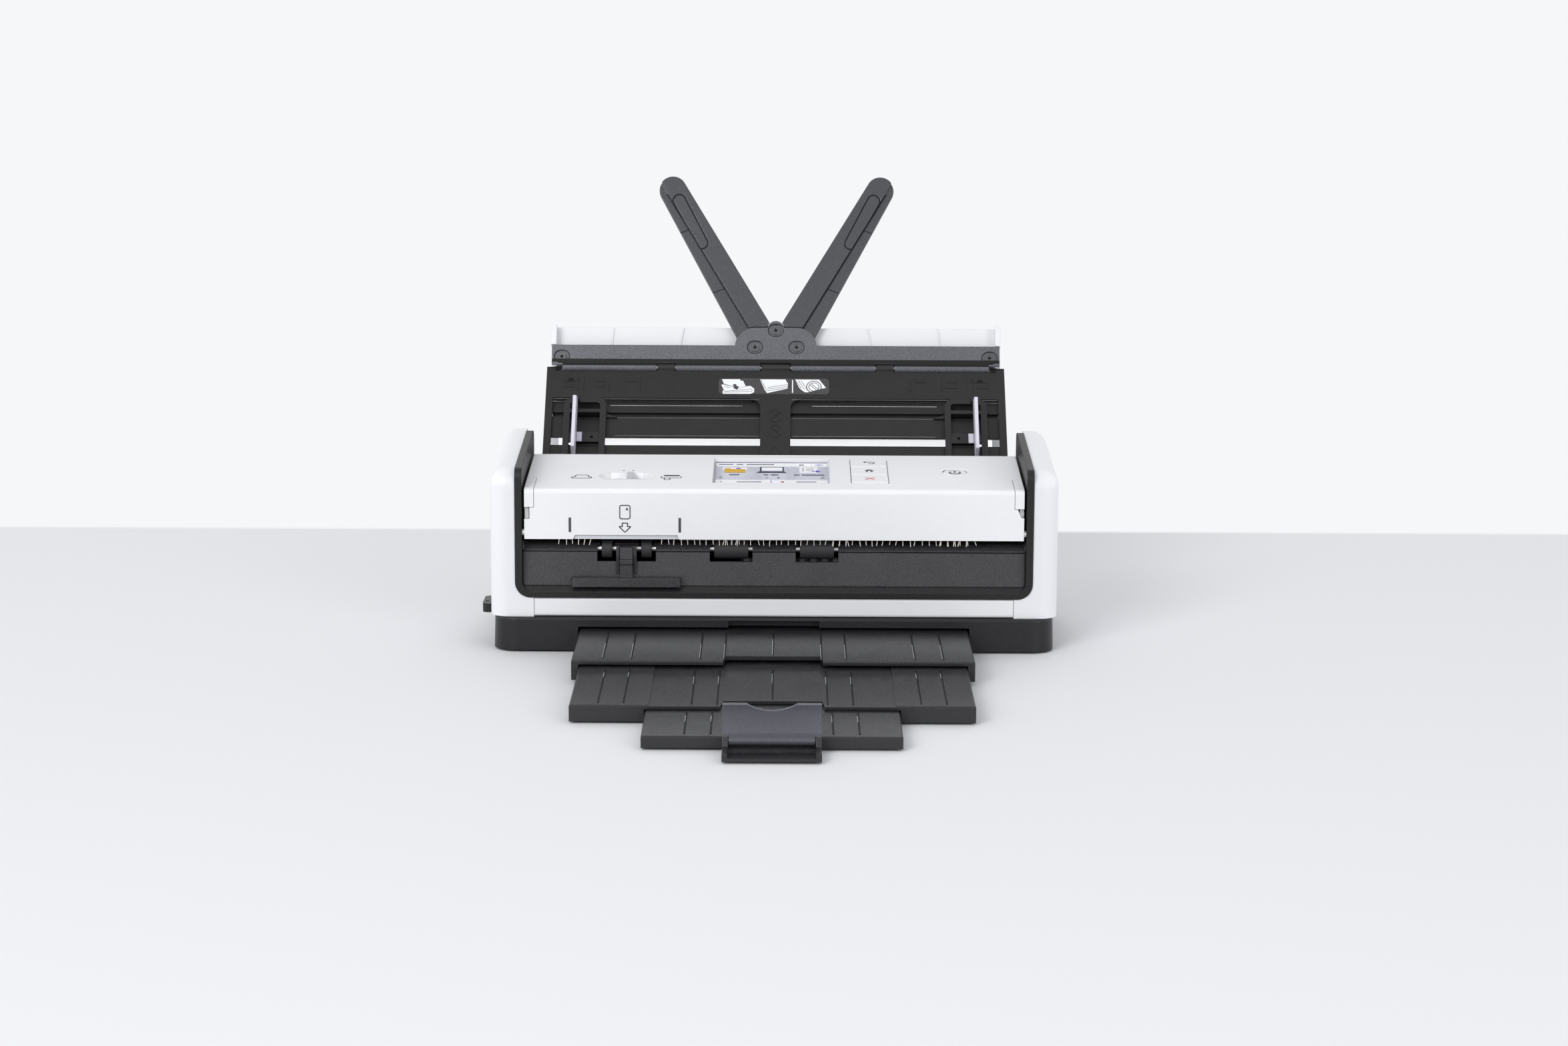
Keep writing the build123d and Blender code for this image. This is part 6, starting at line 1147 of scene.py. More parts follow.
@dataclass
class PanelMarks:
    """Symbols on the keys and the panel, and marks on the cover's front face, with painted light
    and painted shade at the selector's recess, the power button and the thumb recess.

    Attributes:
        key_x: Middle of the key column across the panel, in millimetres.
        key_t: Middle of the column along the panel.
        key_pitch: Distance from key to key.
        power_x: Middle of the power button across the panel.
        power_t: Its middle along the panel.
        key_height: Height of the symbols on the keys over the panel.
        power_height: Height of the lowest film on the power button.
        selector_x: Middle of the selector's recess across the panel.
        card_x: Middle of the card slot across the front face.
        card_line: Width of the lines in the card's and the arrow's outlines.
    """

    key_x: float = 49.2
    key_t: float = 40.4
    key_pitch: float = 17.0
    power_x: float = 93.7
    power_t: float = 39.8
    key_height: float = 0.4
    power_height: float = 0.21
    selector_x: float = -76.5
    card_x: float = -76.2
    card_line: float = 0.56

    def build(self, wardrobe: Wardrobe) -> None:
        """Draws the marks.

        Args:
            wardrobe: Dresses them.
        """
        self._keys(wardrobe)
        self._paper_paths(wardrobe)
        self._recess(wardrobe)
        self._power_rim(wardrobe)
        self._front(wardrobe)

    def _keys(self, wardrobe: Wardrobe) -> None:
        """Draws a back arrow, a house, a cross and the power symbol on their keys.

        Args:
            wardrobe: Dresses what it makes.
        """
        back = Drawing("key_back_symbol", PANEL, "back_key", Look.INK, self.key_height)
        x, t = self.key_x, self.key_t + self.key_pitch
        back.bar(x - 0.2, t + 1.6, 3.4, 1.0).arc(x + 1.5, t + 0.1, 1.5, 0.8, -90, 180)
        back.bar(x + 0.7, t - 1.4, 1.6, 0.9)
        back.polygon(((x - 3.1, t + 1.6), (x - 1.4, t), (x - 1.4, t + 3.2))).finish(wardrobe)
        home = Drawing("key_home_symbol", PANEL, "home_key", Look.INK, self.key_height)
        x, t = self.key_x, self.key_t
        home.polygon(((x - 2.6, t + 0.2), (x + 2.6, t + 0.2), (x, t + 2.9)))
        home.bar(x - 1.2, t - 1.2, 1.2, 2.6).bar(x + 1.2, t - 1.2, 1.2, 2.6).finish(wardrobe)
        cancel = Drawing("key_cancel_symbol", PANEL, "cancel_key", Look.RED_INK, self.key_height)
        x, t = self.key_x, self.key_t - self.key_pitch
        cancel.bar(x, t, 6.4, 0.75, 40).bar(x, t, 6.4, 0.75, -40).finish(wardrobe)
        top = self.power_height + 0.05
        power = Drawing("power_symbol", PANEL, "power_key", Look.INK, top)
        x, t = self.power_x, self.power_t - 2.2
        power.arc(x, t, 2.7, 0.9, 140, 260).bar(x, t + 2.2, 0.9, 2.4).finish(wardrobe)

    def _paper_paths(self, wardrobe: Wardrobe) -> None:
        """Draws the selector's dots and the symbols of its two paper paths.

        Args:
            wardrobe: Dresses what it makes.
        """
        marks = Drawing("selector_symbols", PANEL, "front_cover", Look.INK)
        for x in (-78.5, -73.5):
            marks.dot(x, 39.8, 0.55)
        x, t = -99.6, 26.4
        marks.bar(x, t - 3.4, 9.6, 0.9)
        marks.bar(x - 5.0, t - 1.8, 0.6, 3.0).bar(x + 5.0, t - 1.8, 0.6, 3.0)
        marks.bar(x - 4.2, t - 0.6, 1.4, 0.9).bar(x + 4.2, t - 0.6, 1.4, 0.9)
        marks.bar(x - 3.3, t + 1.6, 0.6, 3.6, -10).bar(x + 3.3, t + 1.6, 0.6, 3.6, 10)
        marks.bar(x, t + 3.4, 6.0, 0.9)
        x = -53.4
        marks.bar(x + 0.2, t + 3.0, 8.2, 2.6).bar(x - 0.4, t - 1.8, 9.6, 0.8)
        marks.bar(x + 5.0, t - 0.4, 0.6, 3.0).bar(x - 5.0, t - 0.4, 0.6, 3.0)
        marks.bar(x - 3.4, t - 3.8, 0.6, 3.6).bar(x - 0.6, t - 3.8, 0.6, 3.6)
        marks.bar(x - 2.0, t - 5.6, 3.0, 0.8)
        marks.finish(wardrobe)

    def _recess(self, wardrobe: Wardrobe) -> None:
        """Draws the status lamp, the painted light on the selector recess's wall and the painted
        shade along its front rim.

        Args:
            wardrobe: Dresses what it makes.
        """
        lamp = Drawing("status_lamp", PANEL, "front_cover", Look.SHADE_INK)
        lamp.dot(self.power_x, 28.2, 0.45).finish(wardrobe)
        # Painted light on the recess's rear wall.
        wall = Drawing(
            "selector_recess_wall_light", RECESS_WALL, "front_cover", Look.WHITE_PIXELS_AND_LIGHT, thickness=0.03
        )
        wall.bar(self.selector_x, -1.7, 20.0, 3.2).finish(wardrobe)
        # Painted shade along the recess's front rim.
        rim = Drawing("selector_recess_rim", PANEL, "front_cover", Look.SHADE_INK)
        rim.bar(self.selector_x, 21.2, 23.0, 0.8).finish(wardrobe)

    def _power_rim(self, wardrobe: Wardrobe) -> None:
        """Draws the light and the shade that the power button's sunk rim catches.

        Args:
            wardrobe: Dresses what it makes.
        """
        crescent = Drawing("power_rim_light", PANEL, "front_cover", Look.WHITE_PIXELS_AND_LIGHT)
        outer = [self._on_ring(8.6, 9.8, angle) for angle in range(24, 157, 12)]
        inner = [self._on_ring(6.75, 6.75, angle) for angle in range(156, 23, -12)]
        crescent.polygon(outer + inner).finish(wardrobe)
        low, film = self.power_height, 0.03
        face = Drawing("power_button_light", PANEL, "power_key", Look.WHITE_PIXELS_AND_LIGHT, low, film)
        upper = [self._on_ring(6.0, 6.0, angle) for angle in range(30, 151, 12)]
        lower = [self._on_ring(5.2, 2.9, angle) for angle in range(150, 29, -12)]
        face.polygon(upper + lower).finish(wardrobe)
        x, t, radius = self.power_x, self.power_t, 5.75
        high = self.power_height + 0.01
        shade = Drawing("power_rim_shade", PANEL, "power_key", Look.INK, high, film)
        shade.arc(x, t, radius, 0.6, 150, 36).finish(wardrobe)
        soft = Drawing("power_rim_soft_shade", PANEL, "power_key", Look.RIM_SHADE, high, film)
        soft.arc(x, t, radius, 0.7, -12, 40).arc(x, t, radius, 0.5, 128, 22).finish(wardrobe)

    def _on_ring(self, half_width: float, half_length: float, angle: float) -> Point:
        """Point of an oval round the power button.

        Args:
            half_width: The oval's reach across.
            half_length: Its reach along the panel.
            angle: Degrees from +X.

        Returns:
            The point on the panel.
        """
        turn = math.radians(angle)
        x = self.power_x + half_width * math.cos(turn)
        return (x, self.power_t + half_length * math.sin(turn))

    def _front(self, wardrobe: Wardrobe) -> None:
        """Draws the card slot's width bars, card and arrow on the front face, and painted shade in
        the thumb recess.

        Args:
            wardrobe: Dresses what it makes.
        """
        marks = Drawing("card_slot_marks", COVER_FRONT, "front_cover", Look.INK)
        for x in (-104.3, -48.2):
            marks.bar(x, 65.9, 1.3, 7.6)
        x, line = self.card_x, self.card_line
        marks.obround(x, 72.6, 5.8, 7.6, line, 1.3)
        marks.polygon(((x + 0.3, 73.6), (x + 1.9, 73.6), (x + 1.1, 75.2)))
        marks.bar(x - 1.35, 66.0, line, 1.8).bar(x + 1.35, 66.0, line, 1.8)
        marks.bar(x, 66.9, 3.1, line)
        marks.bar(x - 2.1, 65.1, 1.9, line).bar(x + 2.1, 65.1, 1.9, line)
        marks.bar(x - 1.5, 63.6, 4.1, line, -45).bar(x + 1.5, 63.6, 4.1, line, 45)
        marks.finish(wardrobe)
        shade = Drawing(
            "thumb_recess_shade", COVER_FRONT, "front_cover", Look.SHADE_INK, -0.99, 0.03
        )
        shade.polygon(((-103.0, 58.5), (-48.2, 58.5), (-49.6, 60.5), (-101.6, 60.5)))
        shade.finish(wardrobe)


# The loading label's pictures on the chute, in millimetres. A sheet edge is a bar's numbers.
LABEL_BOTTOM_SHEET: tuple[Point, ...] = (
    (-29.3, -8.9), (-19.5, -8.9), (-18.9, -10.0), (-17.9, -9.8), (-16.3, -13.6), (-20.0, -15.0),
    (-28.3, -12.0),
)
LABEL_TRAY: tuple[Point, ...] = (
    (-29.7, -12.6), (-28.2, -12.6), (-20.0, -15.2), (-16.2, -13.8), (-13.7, -13.4), (-11.6, -15.5),
    (-11.7, -17.8), (-13.7, -19.0), (-28.8, -19.0), (-28.9, -17.0), (-28.2, -16.6),
)
LABEL_STACK: tuple[Point, ...] = (
    (-8.5, -8.9), (5.5, -8.9), (6.8, -11.8), (6.6, -15.2), (-4.6, -18.4), (-5.9, -16.2),
)
LABEL_CROSSED_STACK: tuple[Point, ...] = (
    (10.7, -8.9), (23.9, -8.9), (27.6, -14.6), (25.3, -15.2), (17.4, -17.8), (15.9, -17.6),
    (14.0, -15.9), (12.9, -14.6),
)
LABEL_ARROW: tuple[Point, ...] = (
    (-23.5, -12.5), (-21.6, -12.2), (-21.1, -13.8), (-19.9, -13.8), (-20.9, -16.2), (-23.3, -14.9),
    (-22.6, -14.4),
)
LABEL_SHEET_EDGES: tuple[tuple[float, ...], ...] = (
    (-6.4, -13.0, 8.4, 0.25, -67), (12.6, -12.4, 6.4, 0.25, -62), (14.2, -12.8, 7.4, 0.25, -62),
    (15.9, -13.2, 8.0, 0.25, -62),
)
# Half width of each sheet size, and how many bars stand for its name.
SHEET_HALF_WIDTHS: tuple[tuple[float, int], ...] = ((108.0, 2), (105.0, 1), (91.0, 2), (74.0, 1))


@dataclass
class ChuteMarks:
    """The chute's loading label, its width scale and the raised symbols on its strut.

    Attributes:
        middle: Middle of the label across the chute, in millimetres.
        width: Width of the label.
        top: Its upper edge along the chute.
        bottom: Its lower edge.
        cut: Size of its cut corners.
        front: Height of the chute's front face over its plane.
    """

    middle: float = -0.9
    width: float = 60.4
    top: float = -8.2
    bottom: float = -19.1
    cut: float = 1.4
    front: float = 1.2

    def build(self, wardrobe: Wardrobe) -> None:
        """Draws the label, the scale and the strut's symbols.

        Args:
            wardrobe: Dresses them.
        """
        self._label(wardrobe)
        self._pictures(wardrobe)
        self._scale(wardrobe)
        self._strut(wardrobe)

    def _label(self, wardrobe: Wardrobe) -> None:
        """Draws the label's film with its cut corners.

        Args:
            wardrobe: Dresses what it makes.
        """
        left, right = self.middle - self.width / 2, self.middle + self.width / 2
        top, bottom, cut = self.top, self.bottom, self.cut
        upper = ((right, top - cut), (right - cut, top), (left + cut, top), (left, top - cut))
        lower = (
            (left, bottom + cut),
            (left + cut, bottom),
            (right - cut, bottom),
            (right, bottom + cut),
        )
        film = Drawing("loading_label", CHUTE, "chute", Look.LABEL, self.front, 0.1)
        film.polygon(upper + lower).finish(wardrobe)

    def _pictures(self, wardrobe: Wardrobe) -> None:
        """Draws the label's plain loading pictures: a tray, a stack and a crossed-out stack.

        Args:
            wardrobe: Dresses what it makes.
        """
        pale = Drawing(
            "loading_label_pictures", CHUTE, "chute", Look.PALE_INK, self.front + 0.1, 0.03
        )
        pale.polygon(LABEL_BOTTOM_SHEET).polygon(LABEL_TRAY).polygon(LABEL_STACK)
        pale.bar(9.3, (self.top + self.bottom) / 2, 0.6, 8.8)
        pale.polygon(LABEL_CROSSED_STACK).finish(wardrobe)
        lines = Drawing(
            "loading_label_lines", CHUTE, "chute", Look.LABEL, self.front + 0.13, 0.03
        )
        lines.polygon(LABEL_ARROW)
        lines.bar(-21.4, -16.6, 13.6, 0.25, 6).bar(-20.4, -17.6, 15.0, 0.25, 3)
        lines.bar(-26.6, -14.3, 3.4, 0.25, -14).bar(-13.2, -16.0, 2.6, 0.25, -40)
        for row in (0.0, -1.2, -2.4):
            lines.bar(1.1, -13.4 + row, 11.2, 0.25, 11)
        for edge in LABEL_SHEET_EDGES:
            lines.bar(*edge)
        lines.arc(21.0, -14.0, 4.0, 0.45).arc(21.0, -14.0, 2.8, 0.35)
        lines.bar(20.6, -14.4, 5.4, 0.35, -45).bar(21.4, -13.6, 5.4, 0.35, -45)
        lines.finish(wardrobe)

    def _scale(self, wardrobe: Wardrobe) -> None:
        """Draws the raised width ticks, with short bars in place of their sizes.

        Args:
            wardrobe: Dresses what it makes.
        """
        ticks = Drawing("width_scale", CHUTE, "chute", Look.CHUTE, self.front, 0.2)
        for side in SIDES:
            for half, rows in SHEET_HALF_WIDTHS:
                ticks.bar(side * half, -12.4, 0.7, 8.8)
                for row in range(rows):
                    ticks.bar(side * (half + 5.4), -9.6 - row * 4.0, 6.0, 2.0)
        ticks.finish(wardrobe)

    def _strut(self, wardrobe: Wardrobe) -> None:
        """Draws two raised round symbols and a triangle on the middle strut.

        Args:
            wardrobe: Dresses what it makes.
        """
        marks = Drawing("strut_symbols", CHUTE, "chute", Look.GUIDE, self.front, 0.15)
        for t, turn in ((-34.0, 45), (-44.4, -45)):
            marks.arc(0, t, 4.0, 0.5).bar(0, t, 7.4, 0.5, turn).bar(1.2, t + 1.0, 2.4, 1.6, turn)
        for turn, x, t in ((60, -2.3, -58.0), (-60, 2.3, -58.0), (0, 0, -61.8)):
            marks.bar(x, t, 8.6, 0.6, turn)
        marks.finish(wardrobe)


@dataclass
class BristleRow:
    """Antistatic bristles that hang behind the front cover's lower edge.

    Attributes:
        first: Left end of the row, in millimetres.
        last: Right end.
        gap: Stretch over the card guide that has none.
        crowds: Middle and half width of the stretches where they stand closer.
        crowd: How many stand there in place of one.
        pitch: Distance from tuft to tuft.
        root: Height of the roots.
        tip: Height of the tips.
        middle: Where the row stands along the scanner.
        root_radius: Radius at the root.
        tip_radius: Radius at the tip.
        seed: Starts the random draws.
    """

    first: float = -109.5
    last: float = 105.0
    gap: Span = (-91.0, -58.5)
    crowds: tuple[Span, ...] = ((92, 8), (-22, 6), (32, 5))
    crowd: int = 3
    pitch: float = 3.25
    root: float = 59.4
    tip: float = 54.9
    middle: float = -48.7
    root_radius: float = 0.3
    tip_radius: float = 0.2
    seed: int = 7

    def build(self, wardrobe: Wardrobe) -> None:
        """Makes one thin, leaning cone for each bristle.

        Args:
            wardrobe: Dresses them.
        """
        chance = random.Random(self.seed)
        mesh = bmesh.new()
        x = self.first
        while x < self.last:
            if not self.gap[0] < x < self.gap[1]:
                crowded = any(abs(x - middle) < half for middle, half in self.crowds)
                for _ in range(self.crowd if crowded else 1):
                    self._bristle(mesh, chance, x)
            x += self.pitch
        mesh.transform(Matrix.Scale(MM, 4))
        settle("bristles", mesh, "front_cover", Look.BRISTLE, wardrobe)

    def _bristle(self, mesh: bmesh.types.BMesh, chance: random.Random, x: float) -> None:
        """Adds one bristle.

        Args:
            mesh: Where to add it.
            chance: Gives its length and lean.
            x: Its place along the row.
        """
        length = (self.root - self.tip) * chance.uniform(0.86, 1.05)
        aside = Matrix.Rotation(chance.gauss(0.02, 0.13), 4, "Y")
        lean = aside @ Matrix.Rotation(chance.gauss(0, 0.08), 4, "X")
        place = Matrix.Translation((x + chance.uniform(-0.3, 0.3), self.middle, self.root))
        hang = Matrix.Translation((0, 0, -length / 2))
        bmesh.ops.create_cone(
            mesh,
            cap_ends=True,
            segments=5,
            radius1=self.tip_radius,
            radius2=self.root_radius,
            depth=length,
            matrix=place @ lean @ hang,
        )


@dataclass(frozen=True)
class GrooveRow:
    """Grooves of one depth along a tray stage.

    Attributes:
        body: The stage's body.
        top: Height of its face, in millimetres.
        run: Start and end of the grooves along the scanner.
        places: Their distances from the middle; each but 0 stands for two grooves.
        bright: Stretch that gets a painted glint along the groove's edge.
    """

    body: str
    top: float
    run: Span
    places: tuple[float, ...]
    bright: Span


@dataclass
class TrayGrooves:
    """Painted shade in the grooves along the tray, with a painted glint along part of each groove's
    edge.

    Attributes:
        rows: The grooves.
        width: Width of a groove, in millimetres.
        depth: How far its painted shade reaches into the stage.
        film: How far the painted shade stands out of the stage, and the painted glint out of the
            shade.
        glint_offset: Distance of the painted glint from the groove's middle.
        glint_width: Width of the painted glint.
    """

    rows: tuple[GrooveRow, ...] = (
        GrooveRow("tray_1", 12.0, (-123.0, -60.0), (84, 70, 36, 24), (-121.0, -88.0)),
        GrooveRow("tray_1", 12.0, (-114.0, -60.0), (0,), (-112.0, -76.0)),
        GrooveRow("tray_2", 9.0, (-204.0, -132.0), (82, 70), (-150.0, -140.0)),
        GrooveRow("tray_2", 8.5, (-204.0, -132.0), (38, 26), (-162.0, -146.0)),
        GrooveRow("tray_2", 8.5, (-195.0, -132.0), (0,), (-160.0, -140.0)),
        GrooveRow("tray_3", 6.7, (-255.0, -214.0), (40, 28), (-232.0, -220.0)),
    )
    width: float = 0.6
    depth: float = 0.3
    film: float = 0.01
    glint_offset: float = 0.42
    glint_width: float = 0.24

    def build(self, wardrobe: Wardrobe) -> None:
        """Lays a painted shade line in each groove of each stage, and a painted glint along part of
        it.

        Args:
            wardrobe: Dresses them.
        """
        for number, row in enumerate(self.rows):
            flat = Face((0.0, 0.0, row.top), 0.0)
            dark, pale = f"{row.body}_groove_shade_{number}", f"{row.body}_groove_glint_{number}"
            start, deep = -self.depth, self.depth + self.film
            shade = Drawing(dark, flat, row.body, Look.GROOVE, start, deep)
            start, deep = start + self.film, deep + self.film
            # Painted glint along the groove's edge.
            glint_line = Drawing(pale, flat, row.body, Look.GLINT, start, deep)
            for place in row.places:
                for middle in (-place, place) if place else (0,):
                    self._line(shade, middle, self.width, row.run)
                    self._line(glint_line, middle - self.glint_offset, self.glint_width, row.bright)
            shade.finish(wardrobe)
            glint_line.finish(wardrobe)

    @staticmethod
    def _line(drawing: Drawing, x: float, width: float, run: Span) -> None:
        """Draws a line along the scanner.

        Args:
            drawing: Where to draw it.
            x: Its middle across.
            width: Its width.
            run: Its start and end.
        """
        drawing.bar(x, (run[0] + run[1]) / 2, width, run[1] - run[0])


# The bar's lip, laid in painted shade: outlines along the cover and out of it, and where it curls
# between the barrels.
BAR_LIP_FRONT: tuple[Point, ...] = ((2.5, 2.41), (4.3, 2.41), (4.3, 2.46), (2.5, 2.5))
BAR_LIP_CURL: tuple[Point, ...] = (
    (2.5, 2.41), (2.5, 2.5), (1.8, 2.52), (1.2, 2.76), (0.6, 2.92), (0.6, 2.85), (1.2, 2.66),
    (1.7, 2.41),
)
BAR_LIP_SPANS: tuple[Span, ...] = ((-117.0, -65.3), (-54.7, -8.5), (8.5, 54.7), (65.3, 117.0))


@dataclass
class SupportMarks:
    """Painted shade on the support bar's lower lip, in its screws' recess edges and crosses, and in
    the arms' grip grooves, rail gaps and notches; and a ring on each screw head.

    Attributes:
        bar_half: Half the bar's length, in millimetres.
        bar_front: Height of the bar's face over the cover's plane.
        pivot_x: Distance of the arms' pivots from the middle.
        pivot_u: Their place along the cover.
        turn: Degrees that an arm leans from the cover's middle line.
        sunk: Depth of the screws' heads under the bar's face.
        arm_drop: Depth of the arms' faces under the bar's.
        end_screw: Place of the bar's right end screw on the cover.
        top_screw: Place of the hub's upper screw.
    """

    bar_half: float = 123.0
    bar_front: float = 2.4
    pivot_x: float = 11.4
    pivot_u: float = 11.3
    turn: float = 27.1
    sunk: float = 0.09
    arm_drop: float = 0.58
    end_screw: Point = (117.5, 5.6)
    top_screw: Point = (0.0, 20.9)

    def build(self, wardrobe: Wardrobe) -> None:
        """Makes the lip's painted shade, the screw marks and the arms' painted shade.

        Args:
            wardrobe: Dresses them.
        """
        self._lip(wardrobe)
        self._screws(wardrobe)
        for side, body in ((LEFT, "left_arm"), (RIGHT, "right_arm")):
            self._arm(side, body, wardrobe)

    def _lip(self, wardrobe: Wardrobe) -> None:
        """Lays painted shade on the bar's lower lip, which turns in over the hinge barrels.

        Args:
            wardrobe: Dresses what it makes.
        """
        mesh = bmesh.new()
        prism(mesh, BAR_LIP_FRONT, ((-self.bar_half, self.bar_half),))
        prism(mesh, BAR_LIP_CURL, BAR_LIP_SPANS)
        mesh.transform(COVER.matrix())
        # Painted shade along the bar's lower lip.
        settle("bar_lower_lip_shade", mesh, "top_cover", Look.LIP, wardrobe)

    def _screws(self, wardrobe: Wardrobe) -> None:
        """Draws painted shade along each screw's recess edge and in its cross, and the rim of each
        screw.

        Args:
            wardrobe: Dresses what it makes.
        """
        face, sunk = self.bar_front + 0.01, self.bar_front - self.sunk
        # Painted shade along the recess edges and in the crosses.
        edges = Drawing("screw_recess_edges", COVER, "top_cover", Look.LIP, face, 0.03)
        crosses = Drawing("screw_crosses", COVER, "top_cover", Look.GROOVE, sunk, 0.03)
        rims = Drawing("screw_rims", COVER, "top_cover", Look.BAR, sunk, 0.05)
        mirrored = (self.end_screw, (self.pivot_x, self.pivot_u))
        places = [(side * x, t) for x, t in mirrored for side in SIDES]
        for x, t in (*places, self.top_screw):
            edges.obround(x, t, 8.9, 7.4, 0.35, 3.69)
            crosses.bar(x, t, 2.3, 0.5, 8).bar(x, t, 0.5, 2.3, 8)
            rims.arc(x, t, 2.25, 0.4)
        for drawing in (edges, crosses, rims):
            drawing.finish(wardrobe)

    def _arm(self, side: int, body: str, wardrobe: Wardrobe) -> None:
        """Draws an arm's painted shade in its grip groove, its rail's gap and its notches, along it
        from its pivot, with its inner edge upwards.

        Args:
            side: -1 for the left arm, 1 for the right one.
            body: The arm's body.
            wardrobe: Dresses them.
        """
        face = self.bar_front - self.arm_drop
        # Painted shade in the grip groove, and in the rail's gap and notches.
        grip = Drawing(body + "_grip_groove", COVER, body, Look.LIP, face, 0.06)
        grip.obround(80.2, 0.4, 34.8, 7.4, 0.6, 3.69)
        self._keep_outer_edge(grip.mesh)
        rail = Drawing(body + "_rail_gap_shade", COVER, body, Look.LIP, 0.31, 0.05)
        rail.bar(56.0, -1.05, 90.0, 0.5, -3.67)
        rail.bar(77.2, -4.6, 0.5, 5.0, 6).bar(38.2, -3.2, 0.5, 6.6, 6)
        for drawing in (grip, rail):
            drawing.mesh.transform(self._along_arm(side))
            drawing.finish(wardrobe)

    @staticmethod
    def _keep_outer_edge(mesh: bmesh.types.BMesh) -> None:
        """Cuts off the part of the grip groove that would lie on the bar when the arm folds.

        Args:
            mesh: The groove's outline, along the arm.
        """
        bmesh.ops.bisect_plane(
            mesh,
            geom=[*mesh.verts, *mesh.edges, *mesh.faces],
            plane_co=(0, 2.7, 0),
            plane_no=(0.064, 1, 0),
            clear_inner=True,
        )

    def _along_arm(self, side: int) -> Matrix:
        """Turns places along an arm into places on the cover.

        Args:
            side: -1 for the left arm, 1 for the right one.

        Returns:
            The matrix, in millimetres.
        """
        sine, cosine = math.sin(math.radians(self.turn)), math.cos(math.radians(self.turn))
        return Matrix(
            (
                (side * sine, -side * cosine, 0, side * self.pivot_x),
                (cosine, sine, 0, self.pivot_u),
                (0, 0, 1, 0),
                (0, 0, 0, 1),
            )
        )


# The brow's outline along the scanner and up, from its foot over the top and back underneath.
BROW_FRONT: tuple[Point, ...] = (
    (-46.8, 51.5), (-46.5, 52.0), (-45.9, 52.8), (-45.0, 53.7), (-43.8, 54.5), (-42.4, 55.1),
    (-40.5, 55.4), (-38.5, 55.4),
)
BROW_BACK: tuple[Point, ...] = (
    (-38.5, 54.7), (-41.8, 54.5), (-43.4, 53.6), (-44.6, 52.4), (-45.2, 51.5),
)


@dataclass
class ExitBrow:
    """The exit chute's rounded brow, which covers the roller's shaft between the windows.

    Attributes:
        half_width: Half the brow's width, in millimetres.
        windows: The tyres' windows, which it leaves open.
        shortest: A stretch between windows that is no longer than this has no brow.
    """

    half_width: float = 128.4
    windows: tuple[Span, ...] = ((-90.6, -80.8), (-70.4, -60.6), (-32.9, -11.1), (11.1, 32.9))
    shortest: float = 12.0

    def build(self, wardrobe: Wardrobe) -> None:
        """Makes the brow between the windows.

        Args:
            wardrobe: Dresses it.
        """
        window_edges = [edge for window in self.windows for edge in window]
        edges = [-self.half_width, *window_edges, self.half_width]
        spans = [
            (low, high)
            for low, high in zip(edges[::2], edges[1::2])
            if high - low > self.shortest
        ]
        outline = BROW_FRONT + BROW_BACK
        scale = Matrix.Scale(MM, 4)
        strip("exit_chute_brow", outline, spans, scale, "base", Look.EXIT, wardrobe)


# Outlines along the chute and out of it.
GAP_STRIP: tuple[Point, ...] = ((-35.0, -2.8), (-29.6, -2.8), (-29.6, -2.5), (-35.0, -2.5))
CORNER_POST: tuple[Point, ...] = ((-4.4, -0.7), (-0.2, -0.7), (-0.2, 1.1), (-4.4, 1.1))


@dataclass
class ChuteDetails:
    """Strips that close the chute's upper gaps from behind, the posts at its upper corners, and
    painted highlights, glints and shade on its edges, bars and corner wells.

    Attributes:
        inner: Strips' inner end across the chute, in millimetres.
        post: Posts' inner end.
        outer: Outer end of both.
    """

    inner: float = 8.3
    post: float = 117.4
    outer: float = 121.4

    def build(self, wardrobe: Wardrobe) -> None:
        """Makes the strips and the posts, and draws painted highlights on the edges, a painted
        glint on the bars and painted shade in the corner wells.

        Args:
            wardrobe: Dresses them.
        """
        place = CHUTE.matrix()
        gaps = both_sides(self.inner, self.outer)
        strip("chute_gap_strips", GAP_STRIP, gaps, place, "chute", Look.CHUTE, wardrobe)
        ends = both_sides(self.post, self.outer)
        strip("chute_corner_posts", CORNER_POST, ends, place, "chute", Look.CHUTE, wardrobe)
        # Painted highlights on the window edge and the bar ledges, a painted glint on the bars,
        # painted shade in the corner wells.
        edges = Drawing("chute_window_edges", CHUTE, "chute", Look.EDGE, 1.2, 0.03)
        edges.pair(65.0, -22.8, 112.0, 0.3).finish(wardrobe)
        glints = Drawing("chute_bar_glints", CHUTE, "chute", Look.GLINT, -0.99, 0.03)
        glints.bar(-54.0, -25.6, 72.0, 0.3).bar(54.0, -25.6, 68.0, 0.3).finish(wardrobe)
        ledges = Drawing("chute_bar_ledges", CHUTE, "chute", Look.EDGE, -0.79, 0.03)
        ledges.pair(48.0, -46.4, 78.0, 0.3).pair(48.0, -34.2, 78.0, 0.25).finish(wardrobe)
        wells = Drawing("chute_corner_wells", CHUTE, "chute", Look.GROOVE, 1.1, 0.04)
        wells.pair(119.4, -2.3, 2.8, 2.8).finish(wardrobe)


# Outlines along the chute and out of it, and the right hook's corners on the chute.
CARRIAGE: tuple[Point, ...] = (
    (-53.5, -0.7), (-46.4, -0.7), (-46.4, 0.0), (-46.6, 0.15), (-53.2, 0.15), (-53.5, 0.0),
)
RACK_HOOK: tuple[Point, ...] = ((92.2, -31.8), (92.2, -34.6), (86.0, -34.6))
FLAP_SEAT: tuple[Point, ...] = (
    (-53.0, 2.46), (-46.5, 2.46), (-46.7, 2.9), (-47.2, 3.04), (-52.3, 3.04), (-52.8, 2.9),
)


